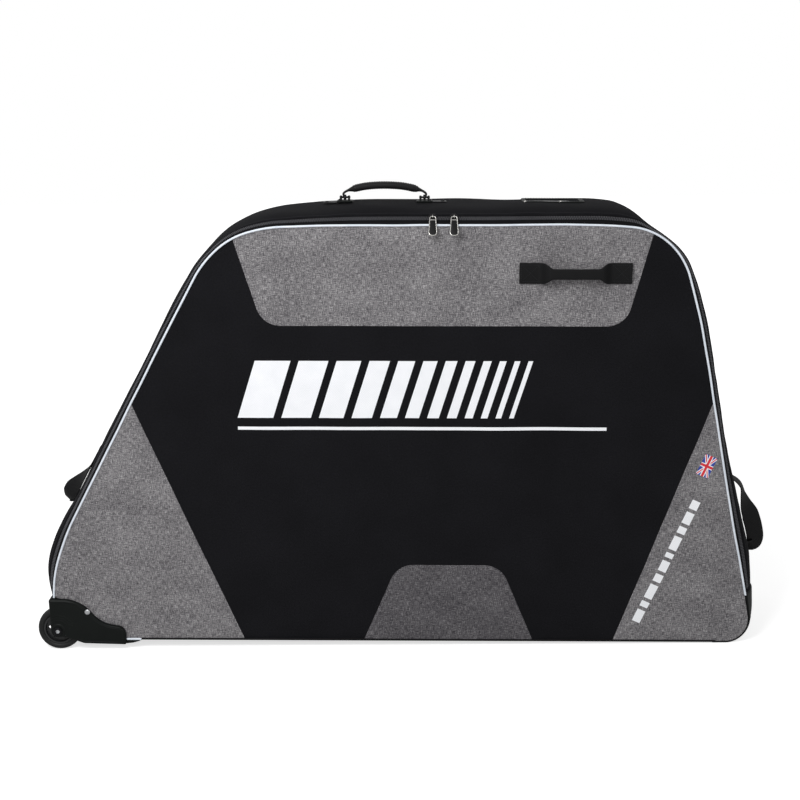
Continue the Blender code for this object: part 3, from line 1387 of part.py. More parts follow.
def make_grab_handle():
    """Webbing grab handle: two sewn ends whose straps rise and fold into a grip that swings between them."""
    face = FRONT_Y - GAP - SKIN_THICKNESS
    end_rear = face - GAP
    end_front = end_rear - GRAB_END_THICKNESS
    half = GRAB_LENGTH / 2
    free = half - GRAB_END_LENGTH
    split = free * GRAB_RISE_SHARES[-1][0]
    axis_y = end_front - GRAB_STRAP_THICKNESS / 4
    hinge = pivot("grab_handle_hinge", (GRAB_X, axis_y, GRAB_Z))
    centre = Vector((GRAB_X, axis_y, GRAB_Z))
    up = Vector((0.0, 0.0, 1.0))

    def strap_section(share):
        fold = max(0.0, (share - GRAB_FOLD_SHARE) / (1.0 - GRAB_FOLD_SHARE))
        fold = fold * fold * (3 - 2 * fold)
        height = GRAB_WEBBING + (GRAB_GRIP_HEIGHT - GRAB_WEBBING) * fold
        thickness = GRAB_STRAP_THICKNESS + (GRAB_GRIP_THICKNESS - GRAB_STRAP_THICKNESS) * fold
        return rounded_section(height, thickness)

    for sign, side in ((-1.0, "left"), (1.0, "right")):
        xs = sorted((GRAB_X + sign * half, GRAB_X + sign * free))
        patch = box_mesh(
            "end",
            (xs[0], end_front, GRAB_Z - GRAB_WEBBING / 2),
            (xs[1], end_rear, GRAB_Z + GRAB_WEBBING / 2),
            GRAB_END_THICKNESS / 4,
        )
        shape = [Vector((sign * (free + GRAB_END_LENGTH / 2), 0.0, 0.0))]
        shape += [
            Vector((sign * free * way, -GRAB_STAND_OFF * rise, 0.0)) for way, rise in GRAB_RISE_SHARES
        ]
        shape[-1].x += sign * GAP
        curve = [centre + point for point in smooth_curve(shape, GRAB_SWEEP_STEPS)]
        frames = squared(path_frames(curve, up), Vector((-sign, 0.0, 0.0)), -1)
        strap = sweep_mesh("strap", frames, strap_section)
        add_object(
            "grab_handle_end_" + side, join_mesh("end", patch, [strap]), "black_webbing", LID
        )
    crest = GRAB_STAND_OFF + GRAB_CREST
    shape = [
        Vector((GAP - split, -GRAB_STAND_OFF, 0.0)),
        Vector((0.0, -crest, 0.0)),
        Vector((split - GAP, -GRAB_STAND_OFF, 0.0)),
    ]
    curve = [centre + point for point in smooth_curve(shape)]
    frames = squared(path_frames(curve, up), Vector((1.0, 0.0, 0.0)), 0, -1)
    grip = sweep_mesh("grab", frames, lambda share: strap_section(1.0))
    add_object("grab_handle_grip", grip, "black_webbing", hinge)


def loop_frame(side, low_z, high_z):
    """Ends of a loop on the side wall at mid-depth, with the way from low to high and the way out."""
    depth = BODY_DEPTH / 2
    ends = []
    for z in (low_z, high_z):
        s = distance_at_height(z, side)
        ends.append(place(station_at(s), depth, surface(s, depth) + GAP + PATCH_THICKNESS - LOOP_BITE))
    along = (ends[1] - ends[0]).normalized()
    turned = Vector((0.0, 1.0, 0.0)).cross(along)
    out = -turned if (turned.x > 0.0) == (side == "left") else turned
    return ends[0], ends[1], along, out


def make_end_loop(side, low_z, high_z, stand_off, droop):
    """A webbing loop on one end of the bag: a patch with the two sewn feet, and the bight that swings."""
    low, high, along, out = loop_frame(side, low_z, high_z)
    hinge = pivot(side + "_loop_hinge", (low + high) / 2 + out * (LOOP_THICKNESS / 2))
    length = (high - low).length
    shape = [
        low + along * (length * way - droop * sag) + out * (stand_off * reach)
        for way, reach, sag in LOOP_SHARES
    ]
    frames = path_frames(smooth_curve(shape), Vector((0.0, 1.0, 0.0)))
    first, last = (place * SWEEP_STEPS for place in LOOP_BIGHT)
    squared(frames, along, first, last)
    if frames[first][3].dot(frames[first + 1][3]) < 0.0:
        squared(frames, -along, first, last)

    def strap(name, some):
        return sweep_mesh(name, some, lambda share: rounded_section(LOOP_WEBBING, LOOP_THICKNESS))

    def moved(frame, shift):
        return (frame[0] + along * shift, *frame[1:])

    bight = [moved(frames[first], GAP), *frames[first + 1 : last], moved(frames[last], -GAP)]
    add_object(side + "_end_loop", strap("loop", bight), "black_webbing", hinge)
    feet = [strap("foot", frames[: first + 1]), strap("foot", frames[last:])]
    marks = sorted(
        (
            distance_at_height(low_z - PATCH_MARGIN, side),
            distance_at_height(high_z + PATCH_MARGIN, side),
        )
    )
    stations = run(*marks)

    def outer(station, depth):
        return surface(station.s, depth) + GAP + PATCH_THICKNESS

    def inner(station, depth):
        return surface(station.s, depth) + GAP

    half = LOOP_WEBBING / 2 + GAP
    middle = BODY_DEPTH / 2
    patch = band_mesh("patch", stations, middle - half, middle + half, outer, inner)
    add_object(side + "_loop_patch", join_mesh("patch", patch, feet), "black_webbing")


def make_inside():
    """Padded sleeves for the two wheels of the bicycle, the frame's foam block and its tie strap."""
    cover_y = PADDING_REAR_Y + GAP
    for name, x, z, front, parent in (
        ("cover_wheel_sleeve", COVER_SLEEVE_X, COVER_SLEEVE_Z, cover_y, LID),
        (
            "back_wheel_sleeve",
            BACK_SLEEVE_X,
            BACK_SLEEVE_Z,
            REAR_Y - PANEL_THICKNESS - PADDING_THICKNESS - 2 * GAP - SLEEVE_THICKNESS,
            None,
        ),
    ):
        half = SLEEVE_THICKNESS / 2
        profile = (
            (0.0, half),
            (SLEEVE_RADIUS - SLEEVE_EDGE, half),
            (SLEEVE_RADIUS, 0.0),
            (SLEEVE_RADIUS - SLEEVE_EDGE, -half),
            (0.0, -half),
        )
        sleeve = revolve_mesh(name, profile, (x, front + half, z), SLEEVE_STEPS)
        add_object(name, sleeve, "black_fabric", parent)
    deck = BASE_FABRIC + BASE_BOARD + 2 * GAP
    block = add_object(
        "frame_block",
        box_mesh(
            "block",
            (BLOCK_X - BLOCK_LENGTH / 2, -BLOCK_WIDTH / 2, deck),
            (BLOCK_X + BLOCK_LENGTH / 2, BLOCK_WIDTH / 2, deck + BLOCK_HEIGHT),
            BLOCK_EDGE,
        ),
        "foam",
    )
    groove = cylinder_mesh(
        "groove",
        BLOCK_GROOVE_RADIUS,
        (BLOCK_X, -BLOCK_WIDTH, deck + BLOCK_HEIGHT),
        (BLOCK_X, BLOCK_WIDTH, deck + BLOCK_HEIGHT),
        WHEEL_STEPS,
    )
    cut(block, [groove])
    tie = box_mesh(
        "tie",
        (TIE_X - TIE_WIDTH / 2, -TIE_LENGTH / 2, deck),
        (TIE_X + TIE_WIDTH / 2, TIE_LENGTH / 2, deck + TIE_THICKNESS),
        TIE_THICKNESS / 4,
    )
    add_object("frame_tie_strap", tie, "black_webbing")


def stand_on_floor():
    """Tilt the bag on to its wheels and its corner guard, and put the box's base centre at the origin.

    The floor is the common lower tangent of the wheel and of the guard's corner arc, at the angle
    atan2(rise, run) - asin((guard radius - wheel radius) / distance) between their centres.
    """
    guard_radius = BASE_RIGHT_RADIUS + CROWN_BASE + GUARD_LIFT + GUARD_THICKNESS
    wheel_radius = WHEEL_DIAMETER / 2
    rise = BASE_RIGHT_RADIUS - WHEEL_Z
    reach = station_at(LOW_RIGHT.s_end).x - WHEEL_X
    tilt = math.atan2(rise, reach) - math.asin((guard_radius - wheel_radius) / math.hypot(rise, reach))
    FRAME.rotation_euler = (0.0, tilt, 0.0)
    bpy.context.view_layer.update()
    low = Vector((math.inf,) * 3)
    high = Vector((-math.inf,) * 3)
    for obj in PARTS.objects:
        if obj.type == "MESH":
            for vert in obj.data.vertices:
                point = obj.matrix_world @ vert.co
                low = Vector(map(min, low, point))
                high = Vector(map(max, high, point))
    FRAME.location = (-(low.x + high.x) / 2, -(low.y + high.y) / 2, -low.z)
    bpy.context.view_layer.update()
    return tilt


def report_places():
    """Print where the joints lie in the world, for the part's record."""
    for obj in PARTS.objects:
        if obj.type == "EMPTY":
            place_ = obj.matrix_world.translation
            print(f"{obj.name}: {place_.x:.5f} {place_.y:.5f} {place_.z:.5f}")


make_side_wall()
make_panels()
make_grey_pieces()
make_piping()
ZIP_MIDDLE = make_zip()
make_sliders(ZIP_MIDDLE)
make_housings()
for SIDE, WHERE in ((-1.0, "front"), (1.0, "rear")):
    make_rivet(SIDE, WHERE + "_housing_rivet")
    make_wheel(SIDE, WHERE)
make_base()
make_top_handle()
make_label_holder()
make_grab_handle()
make_end_loop("left", LEFT_LOOP_LOW_Z, LEFT_LOOP_HIGH_Z, LEFT_LOOP_STAND_OFF, LEFT_LOOP_DROOP)
make_end_loop("right", RIGHT_LOOP_LOW_Z, RIGHT_LOOP_HIGH_Z, RIGHT_LOOP_STAND_OFF, RIGHT_LOOP_DROOP)
make_inside()
TILT = stand_on_floor()
report_places()
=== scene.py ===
"""Soft travel bag for one bicycle: cloth, trim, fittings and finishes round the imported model.

Every piece is worked out level, in the bag's own frame: +X from the wheels to the tow loop, +Y from the
cover to the back, +Z up from the underside of the base. to_world then tilts it as the bag stands.
"""
import json
import math

import bpy
import numpy as np
from mathutils import Matrix, Vector


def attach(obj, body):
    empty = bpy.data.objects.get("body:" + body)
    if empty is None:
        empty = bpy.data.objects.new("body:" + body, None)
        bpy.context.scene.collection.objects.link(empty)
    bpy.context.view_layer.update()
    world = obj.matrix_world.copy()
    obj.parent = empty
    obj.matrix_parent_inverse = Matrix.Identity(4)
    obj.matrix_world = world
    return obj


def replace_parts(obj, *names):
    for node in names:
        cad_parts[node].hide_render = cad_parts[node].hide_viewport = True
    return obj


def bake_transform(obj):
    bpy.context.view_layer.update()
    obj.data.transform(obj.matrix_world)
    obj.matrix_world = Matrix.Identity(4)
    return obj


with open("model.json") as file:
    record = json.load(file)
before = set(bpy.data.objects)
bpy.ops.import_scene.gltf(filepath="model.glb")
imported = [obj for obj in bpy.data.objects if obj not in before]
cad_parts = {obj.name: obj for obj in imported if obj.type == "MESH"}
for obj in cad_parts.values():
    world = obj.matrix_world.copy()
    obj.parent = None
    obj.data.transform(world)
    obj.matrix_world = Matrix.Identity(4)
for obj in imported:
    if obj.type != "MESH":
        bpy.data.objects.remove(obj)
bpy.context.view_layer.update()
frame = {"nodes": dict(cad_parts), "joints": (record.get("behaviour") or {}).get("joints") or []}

MM = 0.001
TAU = 2 * math.pi
SIDES = ("left", "right")


def mm(*values):
    """Millimetres as metres, for a group of values."""
    return tuple(value * MM for value in values)


# The body's outline at the piping, as corners of x, z and radius, clockwise from the low left.
BODY_HEIGHT = 797 * MM
BODY_DEPTH = 280 * MM
FRONT_Y = -BODY_DEPTH / 2
REAR_Y = BODY_DEPTH / 2
BODY_CORNERS = (
    mm(-662, 0.0, 30),
    mm(-662, 152, 390),
    (-324 * MM, BODY_HEIGHT, 180 * MM),
    (513 * MM, BODY_HEIGHT, 114 * MM),
    mm(674, 0.0, 40),
    (600 * MM, 0.0, 0.0),
)
TABLE_STEP = 1.5 * MM
OUTLINE_STEP = 8 * MM
SEARCH_STEPS = 4000
# The cover folds at this height. GAP is the clearance between bodies, SKIN the cloth's thickness.
FOLD_HEIGHT = 99 * MM
FOLD_REACH = 15 * MM
GAP = 0.3 * MM
SKIN = 0.8 * MM
# Depth over which the wall's crown rises, depth of its swell's peak, and lean of the back's top corner.
CROWN_RISE = 24 * MM
SWELL_DEPTH = 50 * MM
LEAN = 12 * MM
GUARD_TOP = 97 * MM

# Wheel and housing.
WHEEL_X = -655 * MM
WHEEL_Z = 19 * MM
HOUSING_TOP = 82 * MM
HOUSING_TOE_X = -526 * MM
HOUSING_FRONT_Y = FRONT_Y - 8 * MM
HOUSING_INNER_Y = HOUSING_FRONT_Y + 40 * MM

JOINTS = {joint["name"]: joint for joint in frame["joints"]}
NODES = frame["nodes"]


def frame_matrix():
    """The bag's frame in the world, from the cover's hinge: its axis is the bag's X."""
    hinge = JOINTS["cover_hinge"]
    x_axis = np.array(hinge["axis"]) / np.linalg.norm(hinge["axis"])
    y_axis = np.array([0.0, 1.0, 0.0])
    turn = np.stack([x_axis, y_axis, np.cross(x_axis, y_axis)], axis=1)
    local = np.array([0.0, FRONT_Y - GAP - SKIN, FOLD_HEIGHT + GAP / 2])
    matrix = np.eye(4)
    matrix[:3, :3] = turn
    matrix[:3, 3] = np.array(hinge["pos_m"]) - turn @ local
    return matrix


BAG = frame_matrix()


def to_world(points):
    """Bag frame to world, for an array of points."""
    return np.asarray(points, float) @ BAG[:3, :3].T + BAG[:3, 3]


def to_bag(points):
    """World to bag frame, for an array of points."""
    return (np.asarray(points, float) - BAG[:3, 3]) @ BAG[:3, :3]


def unit(vectors):
    """Vectors scaled to a length of 1."""
    return vectors / np.linalg.norm(vectors, axis=-1, keepdims=True)


def columns(*values):
    """Values side by side along a new last axis, each spread to the shape of them all."""
    return np.stack(np.broadcast_arrays(*values), axis=-1)


def run_along(path):
    """Distance travelled at each point of a path."""
    return np.concatenate([[0.0], np.cumsum(np.linalg.norm(np.diff(path, axis=0), axis=1))])


def read_at(steps, run, values):
    """Columns of values that are known at the distances run, read at the distances steps."""
    return columns(*(np.interp(steps, run, column) for column in np.asarray(values).T))


def outline_table(corners, step=TABLE_STEP):
    """Samples of a closed clockwise outline: distance, x, z and heading.

    A corner turns through an arc of its radius whose ends lie radius * tan(turn / 2) from it, and the
    runs between arcs are straight. Returns the table and each arc's start and end distance.
    """
    rows, arcs = [], []
    travelled = 0.0
    for i, (x, z, radius) in enumerate(corners):
        before = unit(np.array([x - corners[i - 1][0], z - corners[i - 1][1]]))
        after = unit(np.array(corners[(i + 1) % len(corners)][:2]) - (x, z))
        turn = math.atan2(before[0] * after[1] - before[1] * after[0], before @ after)
        reach = radius * abs(math.tan(turn / 2))
        start = np.array([x, z]) - before * reach
        if rows:
            travelled += np.linalg.norm(start - rows[-1][-1, 1:3])
        heading = math.atan2(before[1], before[0])
        side = math.copysign(1.0, turn)
        centre = start + side * radius * np.array([-before[1], before[0]])
        share = np.linspace(0.0, 1.0, max(2, math.ceil(abs(turn) * radius / step)) if radius else 1)
        angle = heading + turn * share
        arc = centre + side * radius * columns(np.sin(angle), -np.cos(angle))
        length = abs(turn) * radius
        rows.append(columns(travelled + length * share, *arc.T, angle))
        arcs.append((travelled, travelled + length))
        travelled += length
    table = np.concatenate(rows)
    table[:, 3] = np.unwrap(table[:, 3])
    return table, arcs


def flat_outline(corners, step):
    """The x, z points alone of an outline."""
    return outline_table(corners, step)[0][:, 1:3]


CORNER_TABLE, ARCS = outline_table(BODY_CORNERS)
STEPS = np.union1d(CORNER_TABLE[:, 0], np.arange(0.0, CORNER_TABLE[-1, 0], OUTLINE_STEP))
OUTLINE = read_at(STEPS, CORNER_TABLE[:, 0], CORNER_TABLE)
TOP_LEFT, TOP_RIGHT = ARCS[2:4]
BASE_END = ARCS[-1][1]


def outline_at(s):
    """x, z and the outward normal's x, z at distances along the outline."""
    s = np.asarray(s, float)
    x, z, angle = (np.interp(s, OUTLINE[:, 0], OUTLINE[:, k]) for k in (1, 2, 3))
    return x, z, -np.sin(angle), np.cos(angle)


def distance_at_height(height, side):
    """Distance along the outline where the left or right side passes a height."""
    middle = (TOP_LEFT[1] + TOP_RIGHT[0]) / 2
    s = np.linspace(0.0 if side == "left" else BASE_END, middle, SEARCH_STEPS)
    return float(np.interp(height, outline_at(s)[1], s))


def distance_at_top(x):
    """Distance along the level top run at a place in X."""
    return TOP_LEFT[1] + x - outline_at(TOP_LEFT[1])[0]


# Where the filled bag leaves its straight outline, in mm: the height at that side, or X at the top; how far
# the outline moves out; how far the wall stands out at mid-depth; its swell near the front.
BODY_KEYS = {
    "left": (
        (30, 0.0, 1.0, 0.0), (60, 0.0, 4.0, 3.0), (100, 1.5, 9.0, 11.0), (132, 2.0, 13.0, 14.5),
        (162, 1.3, 14.5, 13.0), (190, 0.6, 17.0, 8.0), (218, 0.5, 19.5, 3.0),
        (270, 0.7, 20.3, -2.0), (380, 0.4, 20.5, 0.0), (590, 0.3, 20.5, -0.5),
        (645, -0.4, 20.0, -1.0), (696, -1.6, 17.0, 0.0), (735, -2.2, 13.5, 0.0),
        (775, -2.2, 17.0, 0.0),
    ),
    "top": (
        (-245, -4.4, 18.7, 0.0), (-190, -2.8, 22.0, 0.0), (-150, -1.5, 25.0, 0.0),
        (-80, -0.4, 28.8, 0.0), (0, 0.0, 29.0, 0.0), (150, 0.0, 29.0, 0.0), (284, 1.4, 28.5, 0.0),
        (364, 0.7, 31.0, 0.0), (394, -1.2, 30.5, 0.0), (424, -3.6, 29.0, 0.0),
        (454, -6.1, 6.0, 2.5),
    ),
    "right": (
        (770, -8.8, 2.5, 4.5), (735, -8.0, 10.0, 5.0), (707, -5.6, 14.0, 3.0),
        (678, -2.8, 20.5, 1.0), (619, 1.3, 20.3, 0.5), (540, 2.4, 19.5, 2.0), (384, 1.3, 17.0, 4.0),
        (325, 0.9, 16.0, 7.0), (256, 1.2, 15.0, 12.5), (168, 3.1, 14.2, 17.5),
        (109, 3.7, 14.0, 10.0), (50, 3.4, 6.0, 8.0), (20, 1.0, 1.0, 0.0),
    ),
}


SMOOTH_RUN = 60 * MM
SMOOTH_STEP = 2 * MM


def smooth_law(column):
    """One column of BODY_KEYS as distances and values: straight between places, then smoothed over a run."""
    keys = [(side, *row) for side, rows in BODY_KEYS.items() for row in rows]
    places = [
        distance_at_top(place * MM) if side == "top" else distance_at_height(place * MM, side)
        for side, place, *_ in keys
    ]
    grid = np.arange(-SMOOTH_RUN, OUTLINE[-1, 0] + SMOOTH_RUN, SMOOTH_STEP)
    values = np.interp(grid, places, [key[column] * MM for key in keys])
    weights = np.hanning(int(SMOOTH_RUN / MM) // 2 + 3)
    return grid, np.convolve(values, weights / weights.sum(), mode="same")


EASE_LAW, CROWN_LAW, SWELL_LAW = (smooth_law(column) for column in (2, 3, 4))
OUTLINE[:, 1] -= np.interp(OUTLINE[:, 0], *EASE_LAW) * np.sin(OUTLINE[:, 3])
OUTLINE[:, 2] += np.interp(OUTLINE[:, 0], *EASE_LAW) * np.cos(OUTLINE[:, 3])


def rise_at(depth):
    """Share of the crown reached at a depth, from either piping: (1 - e^(-d/r)) (1 - e^(-(D-d)/r))."""
    return (1 - np.exp(-depth / CROWN_RISE)) * (1 - np.exp(-(BODY_DEPTH - depth) / CROWN_RISE))


def wall_offset(s, depth):
    """Outward offset of the smooth side wall: its crown, and a swell (d/p)^2 e^(2 - 2d/p) near the front."""
    share = depth / SWELL_DEPTH
    swell = np.interp(s, *SWELL_LAW) * share**2 * np.exp(2 - 2 * share)
    return np.interp(s, *CROWN_LAW) * rise_at(depth) + swell


LEAN_X = mm(370, 470)
LEAN_Z = mm(640, 780)


def lean_at(x, z):
    """How far the back's top right corner is drawn towards the wheels."""
    return LEAN * eased(x, *LEAN_X) * eased(z, *LEAN_Z)


def wall_point(s, depth, offset):
    """Points of the bag from a distance along the outline, a depth and an outward offset."""
    x, z, nx, nz = outline_at(s)
    x = x - lean_at(x, z) * depth / BODY_DEPTH
    return columns(x + nx * offset, FRONT_Y + depth, z + nz * offset)


# Waves in the cloth: how many, the shortest and the longest, and a seed.
WAVES = {
    "front_soft": (9, 120 * MM, 380 * MM, 11),
    "front_pucker": (12, 22 * MM, 60 * MM, 12),
    "wall_soft": (9, 110 * MM, 340 * MM, 21),
    "wall_pucker": (14, 24 * MM, 70 * MM, 22),
    "hem": (6, 60 * MM, 240 * MM, 23),
    "tape": (8, 30 * MM, 90 * MM, 24),
    "piping_front": (6, 50 * MM, 200 * MM, 31),
    "piping_rear": (6, 50 * MM, 200 * MM, 32),
}


def waves(u, v, kind):
    """Soft irregular waves of unit size: a sum of sines of random headings, lengths and phases."""
    count, shortest, longest, seed = WAVES[kind]
    source = np.random.default_rng(seed)
    total = np.zeros(np.broadcast(u, v).shape)
    for _ in range(count):
        length = math.exp(source.uniform(math.log(shortest), math.log(longest)))
        heading = source.uniform(0.0, TAU)
        phase = source.uniform(0.0, TAU)
        total += np.sin(TAU * (u * math.cos(heading) + v * math.sin(heading)) / length + phase)
    return total / math.sqrt(count)


def eased(value, low, high):
    """0 below low and 1 above high, with 3t^2 - 2t^3 between."""
    t = np.clip((value - low) / (high - low), 0.0, 1.0)
    return t * t * (3 - 2 * t)


def linear(colour):
    """An sRGB hex colour as linear red, green, blue and alpha."""
    channels = [int(colour[i : i + 2], 16) / 255 for i in (1, 3, 5)]
    return (*(c / 12.92 if c <= 0.04045 else ((c + 0.055) / 1.055) ** 2.4 for c in channels), 1.0)


def node(tree, kind, inputs=None, **settings):
    """Add a node with its settings; an input, by name or number, takes a value or another node's output."""
    made = tree.nodes.new(kind)
    for key, value in settings.items():
        setattr(made, key, value)
    for key, value in (inputs or {}).items():
        if isinstance(value, bpy.types.NodeSocket):
            tree.links.new(value, made.inputs[key])
        else:
            made.inputs[key].default_value = value
    return made


def finish_of(name, colour, roughness, metallic=0.0, **sockets):
    """A material by its finish's name, with its tree and its shader's own constants set."""
    material = bpy.data.materials.new(name)
    material.use_nodes = True
    tree = material.node_tree
    shader = tree.nodes["Principled BSDF"]
    shader.inputs["Base Color"].default_value = linear(colour)
    shader.inputs["Roughness"].default_value = roughness
    shader.inputs["Metallic"].default_value = metallic
    for key, value in sockets.items():
        shader.inputs[key.replace("_", " ")].default_value = value
    return material, tree, shader


def plain_weave(tree, vector, thread):
    """Height of over-and-under threads: sin(pi u / thread) * sin(pi v / thread)."""
    turn = node(tree, "ShaderNodeVectorMath", {0: vector, 3: math.pi / thread}, operation="SCALE")
    axes = node(tree, "ShaderNodeSeparateXYZ", {0: turn.outputs[0]})
    across, along = (
        node(tree, "ShaderNodeMath", {0: axes.outputs[k]}, operation="SINE").outputs[0] for k in (0, 1)
    )
    return node(tree, "ShaderNodeMath", {0: across, 1: along}, operation="MULTIPLY").outputs[0]


# Yarns are uneven at 2.4 mm, and a cloth's relief is drawn at half strength, as its fibres soften it.
YARN_SCALE = 420.0
RELIEF_STRENGTH = 0.5


def woven(name, low, high, roughness, sizes, slub=0.0, gloss=0.5):
    """A woven cloth: two tones in soft clouds, a plain weave and, with slub, uneven yarns both ways. Its
    colour also follows the weave's height, a painted shade where threads dip and a painted light on their
    crowns.

    sizes holds the thread's width, the relief's depth and the clouds' size, in mm.
    """
    thread, depth, cloud_size = (size * MM for size in sizes)
    material, tree, shader = finish_of(name, low, roughness, Specular_IOR_Level=gloss)
    uv = node(tree, "ShaderNodeUVMap", uv_map="cloth").outputs[0]
    height = plain_weave(tree, uv, thread)
    cloud = node(tree, "ShaderNodeTexNoise", {"Vector": uv, "Scale": 1 / cloud_size, "Detail": 4.0})
    fine = node(tree, "ShaderNodeTexNoise", {"Vector": uv, "Scale": YARN_SCALE, "Detail": 2.0})
    tones = {0: cloud.outputs[0], 6: linear(low), 7: linear(high)}
    tone = node(tree, "ShaderNodeMix", tones, data_type="RGBA")
    # Painted shade and light: the tone follows the weave's height as well as the yarns, darker where threads
    # dip.
    yarns = {0: fine.outputs[0], 1: 1.0 + slub, 2: height}
    grain = node(tree, "ShaderNodeMath", yarns, operation="MULTIPLY_ADD").outputs[0]
    limits = {"From Min": -1.0, "From Max": 2.0 + slub}
    tones = {"To Min": 0.8 - 0.2 * slub, "To Max": 1.15 + 0.2 * slub}
    shade = node(tree, "ShaderNodeMapRange", {"Value": grain, **limits, **tones}).outputs[0]
    shaded = node(tree, "ShaderNodeVectorMath", {0: tone.outputs[2], 3: shade}, operation="SCALE")
    tree.links.new(shaded.outputs[0], shader.inputs["Base Color"])
    relief = node(tree, "ShaderNodeBump", {"Height": grain, "Distance": depth, "Strength": RELIEF_STRENGTH})
    tree.links.new(relief.outputs[0], shader.inputs["Normal"])
    return material


# Yarns 0.6 mm apart in the real cloth, drawn 1.2 mm wide, about the finest that shows at this size.
# Each row gives a noise's cell both ways and its share of the tone: weft, warp, specks and wide patches.
MELANGE_YARNS = (
    ((1.2 * MM, 10 * MM, 1.0), 0.30),
    ((10 * MM, 1.2 * MM, 1.0), 0.30),
    ((1.5 * MM, 1.5 * MM, 1.0), 0.32),
    ((80 * MM, 50 * MM, 1.0), 0.08),
)
MELANGE_THREAD = 1.6 * MM
MELANGE_DEPTH = 0.12 * MM


def melange(name, dark, middle, light):
    """Cationic polyester: dark and light yarns both ways, so the grey is full of short slubs."""
    material, tree, shader = finish_of(name, middle, 0.9, Specular_IOR_Level=0.08)
    uv = node(tree, "ShaderNodeUVMap", uv_map="cloth").outputs[0]
    total = 0.0
    for cell, share in MELANGE_YARNS:
        place = node(tree, "ShaderNodeMapping", {0: uv, "Scale": tuple(1 / v for v in cell)})
        yarn = node(tree, "ShaderNodeTexNoise", {"Vector": place.outputs[0], "Scale": 1.0, "Detail": 1.5})
        step = {0: yarn.outputs[0], 1: share, 2: total}
        total = node(tree, "ShaderNodeMath", step, operation="MULTIPLY_ADD").outputs[0]
    ramp = node(tree, "ShaderNodeValToRGB", {0: total})
    low, high = ramp.color_ramp.elements
    low.position, low.color = 0.38, linear(dark)
    high.position, high.color = 0.62, linear(light)
    ramp.color_ramp.elements.new(0.5).color = linear(middle)
    tree.links.new(ramp.outputs[0], shader.inputs["Base Color"])
    relief = {0: total, 1: 3.0, 2: plain_weave(tree, uv, MELANGE_THREAD)}
    height = node(tree, "ShaderNodeMath", relief, operation="MULTIPLY_ADD").outputs[0]
    relief = {"Height": height, "Distance": MELANGE_DEPTH, "Strength": RELIEF_STRENGTH}
    bump = node(tree, "ShaderNodeBump", relief)
    tree.links.new(bump.outputs[0], shader.inputs["Normal"])
    return material


WEBBING_RIB = 2.0 * MM
WEBBING_DEPTH = 0.3 * MM


def webbing_black():
    """Woven polypropylene webbing: heavy ribs across the strap, a little painted sheen on their tops and
    painted shade between them.
    """
    material, tree, shader = finish_of("webbing_black", "#131314", 0.6, Specular_IOR_Level=0.12)
    uv = node(tree, "ShaderNodeUVMap", uv_map="cloth").outputs[0]
    weave = plain_weave(tree, uv, WEBBING_RIB)
    # Painted sheen and shade: the ribs' colour follows their height, lighter on their tops and darker between
    # them.
    share = node(tree, "ShaderNodeMapRange", {"Value": weave, "From Min": -1.0}).outputs[0]
    tones = {0: share, 6: linear("#070708"), 7: linear("#151516")}
    tone = node(tree, "ShaderNodeMix", tones, data_type="RGBA")
    tree.links.new(tone.outputs[2], shader.inputs["Base Color"])
    relief = node(tree, "ShaderNodeBump", {"Height": weave, "Distance": WEBBING_DEPTH, "Strength": 0.8})
    tree.links.new(relief.outputs[0], shader.inputs["Normal"])
    return material


def clouded(name, low, high, roughness, clouds, duller, brighter, **sockets):
    """A solid finish in two close tones with uneven gloss, both from soft clouds, so many to a metre."""
    material, tree, shader = finish_of(name, low, roughness, **sockets)
    place = node(tree, "ShaderNodeTexCoord").outputs["Object"]
    cloud = node(tree, "ShaderNodeTexNoise", {"Vector": place, "Scale": clouds, "Detail": 3.0}).outputs[0]
    tone = node(tree, "ShaderNodeMix", {0: cloud, 6: linear(low), 7: linear(high)}, data_type="RGBA")
    tree.links.new(tone.outputs[2], shader.inputs["Base Color"])
    limits = {"Value": cloud, "To Min": roughness - brighter, "To Max": roughness + duller}
    tree.links.new(node(tree, "ShaderNodeMapRange", limits).outputs[0], shader.inputs["Roughness"])
    return material, tree, shader


def moulded(name, low, high, roughness, sizes, gloss):
    """An injection-moulded plastic: clouded, with a spark-eroded grain whose size and depth are in mm."""
    grain, depth = (size * MM for size in sizes)
    material, tree, shader = clouded(name, low, high, roughness, 20.0, 0.08, 0.08, Specular_IOR_Level=gloss)
    place = node(tree, "ShaderNodeTexCoord").outputs["Object"]
    fine = node(tree, "ShaderNodeTexNoise", {"Vector": place, "Scale": 1 / grain, "Detail": 2.0}).outputs[0]
    relief = node(tree, "ShaderNodeBump", {"Height": fine, "Distance": depth, "Strength": RELIEF_STRENGTH})
    tree.links.new(relief.outputs[0], shader.inputs["Normal"])
    return material


def plated(name, low, high, roughness):
    """A plated metal: bright, with small duller patches from handling."""
    return clouded(name, low, high, roughness, 350.0, 0.1, 0.06, metallic=1.0)[0]


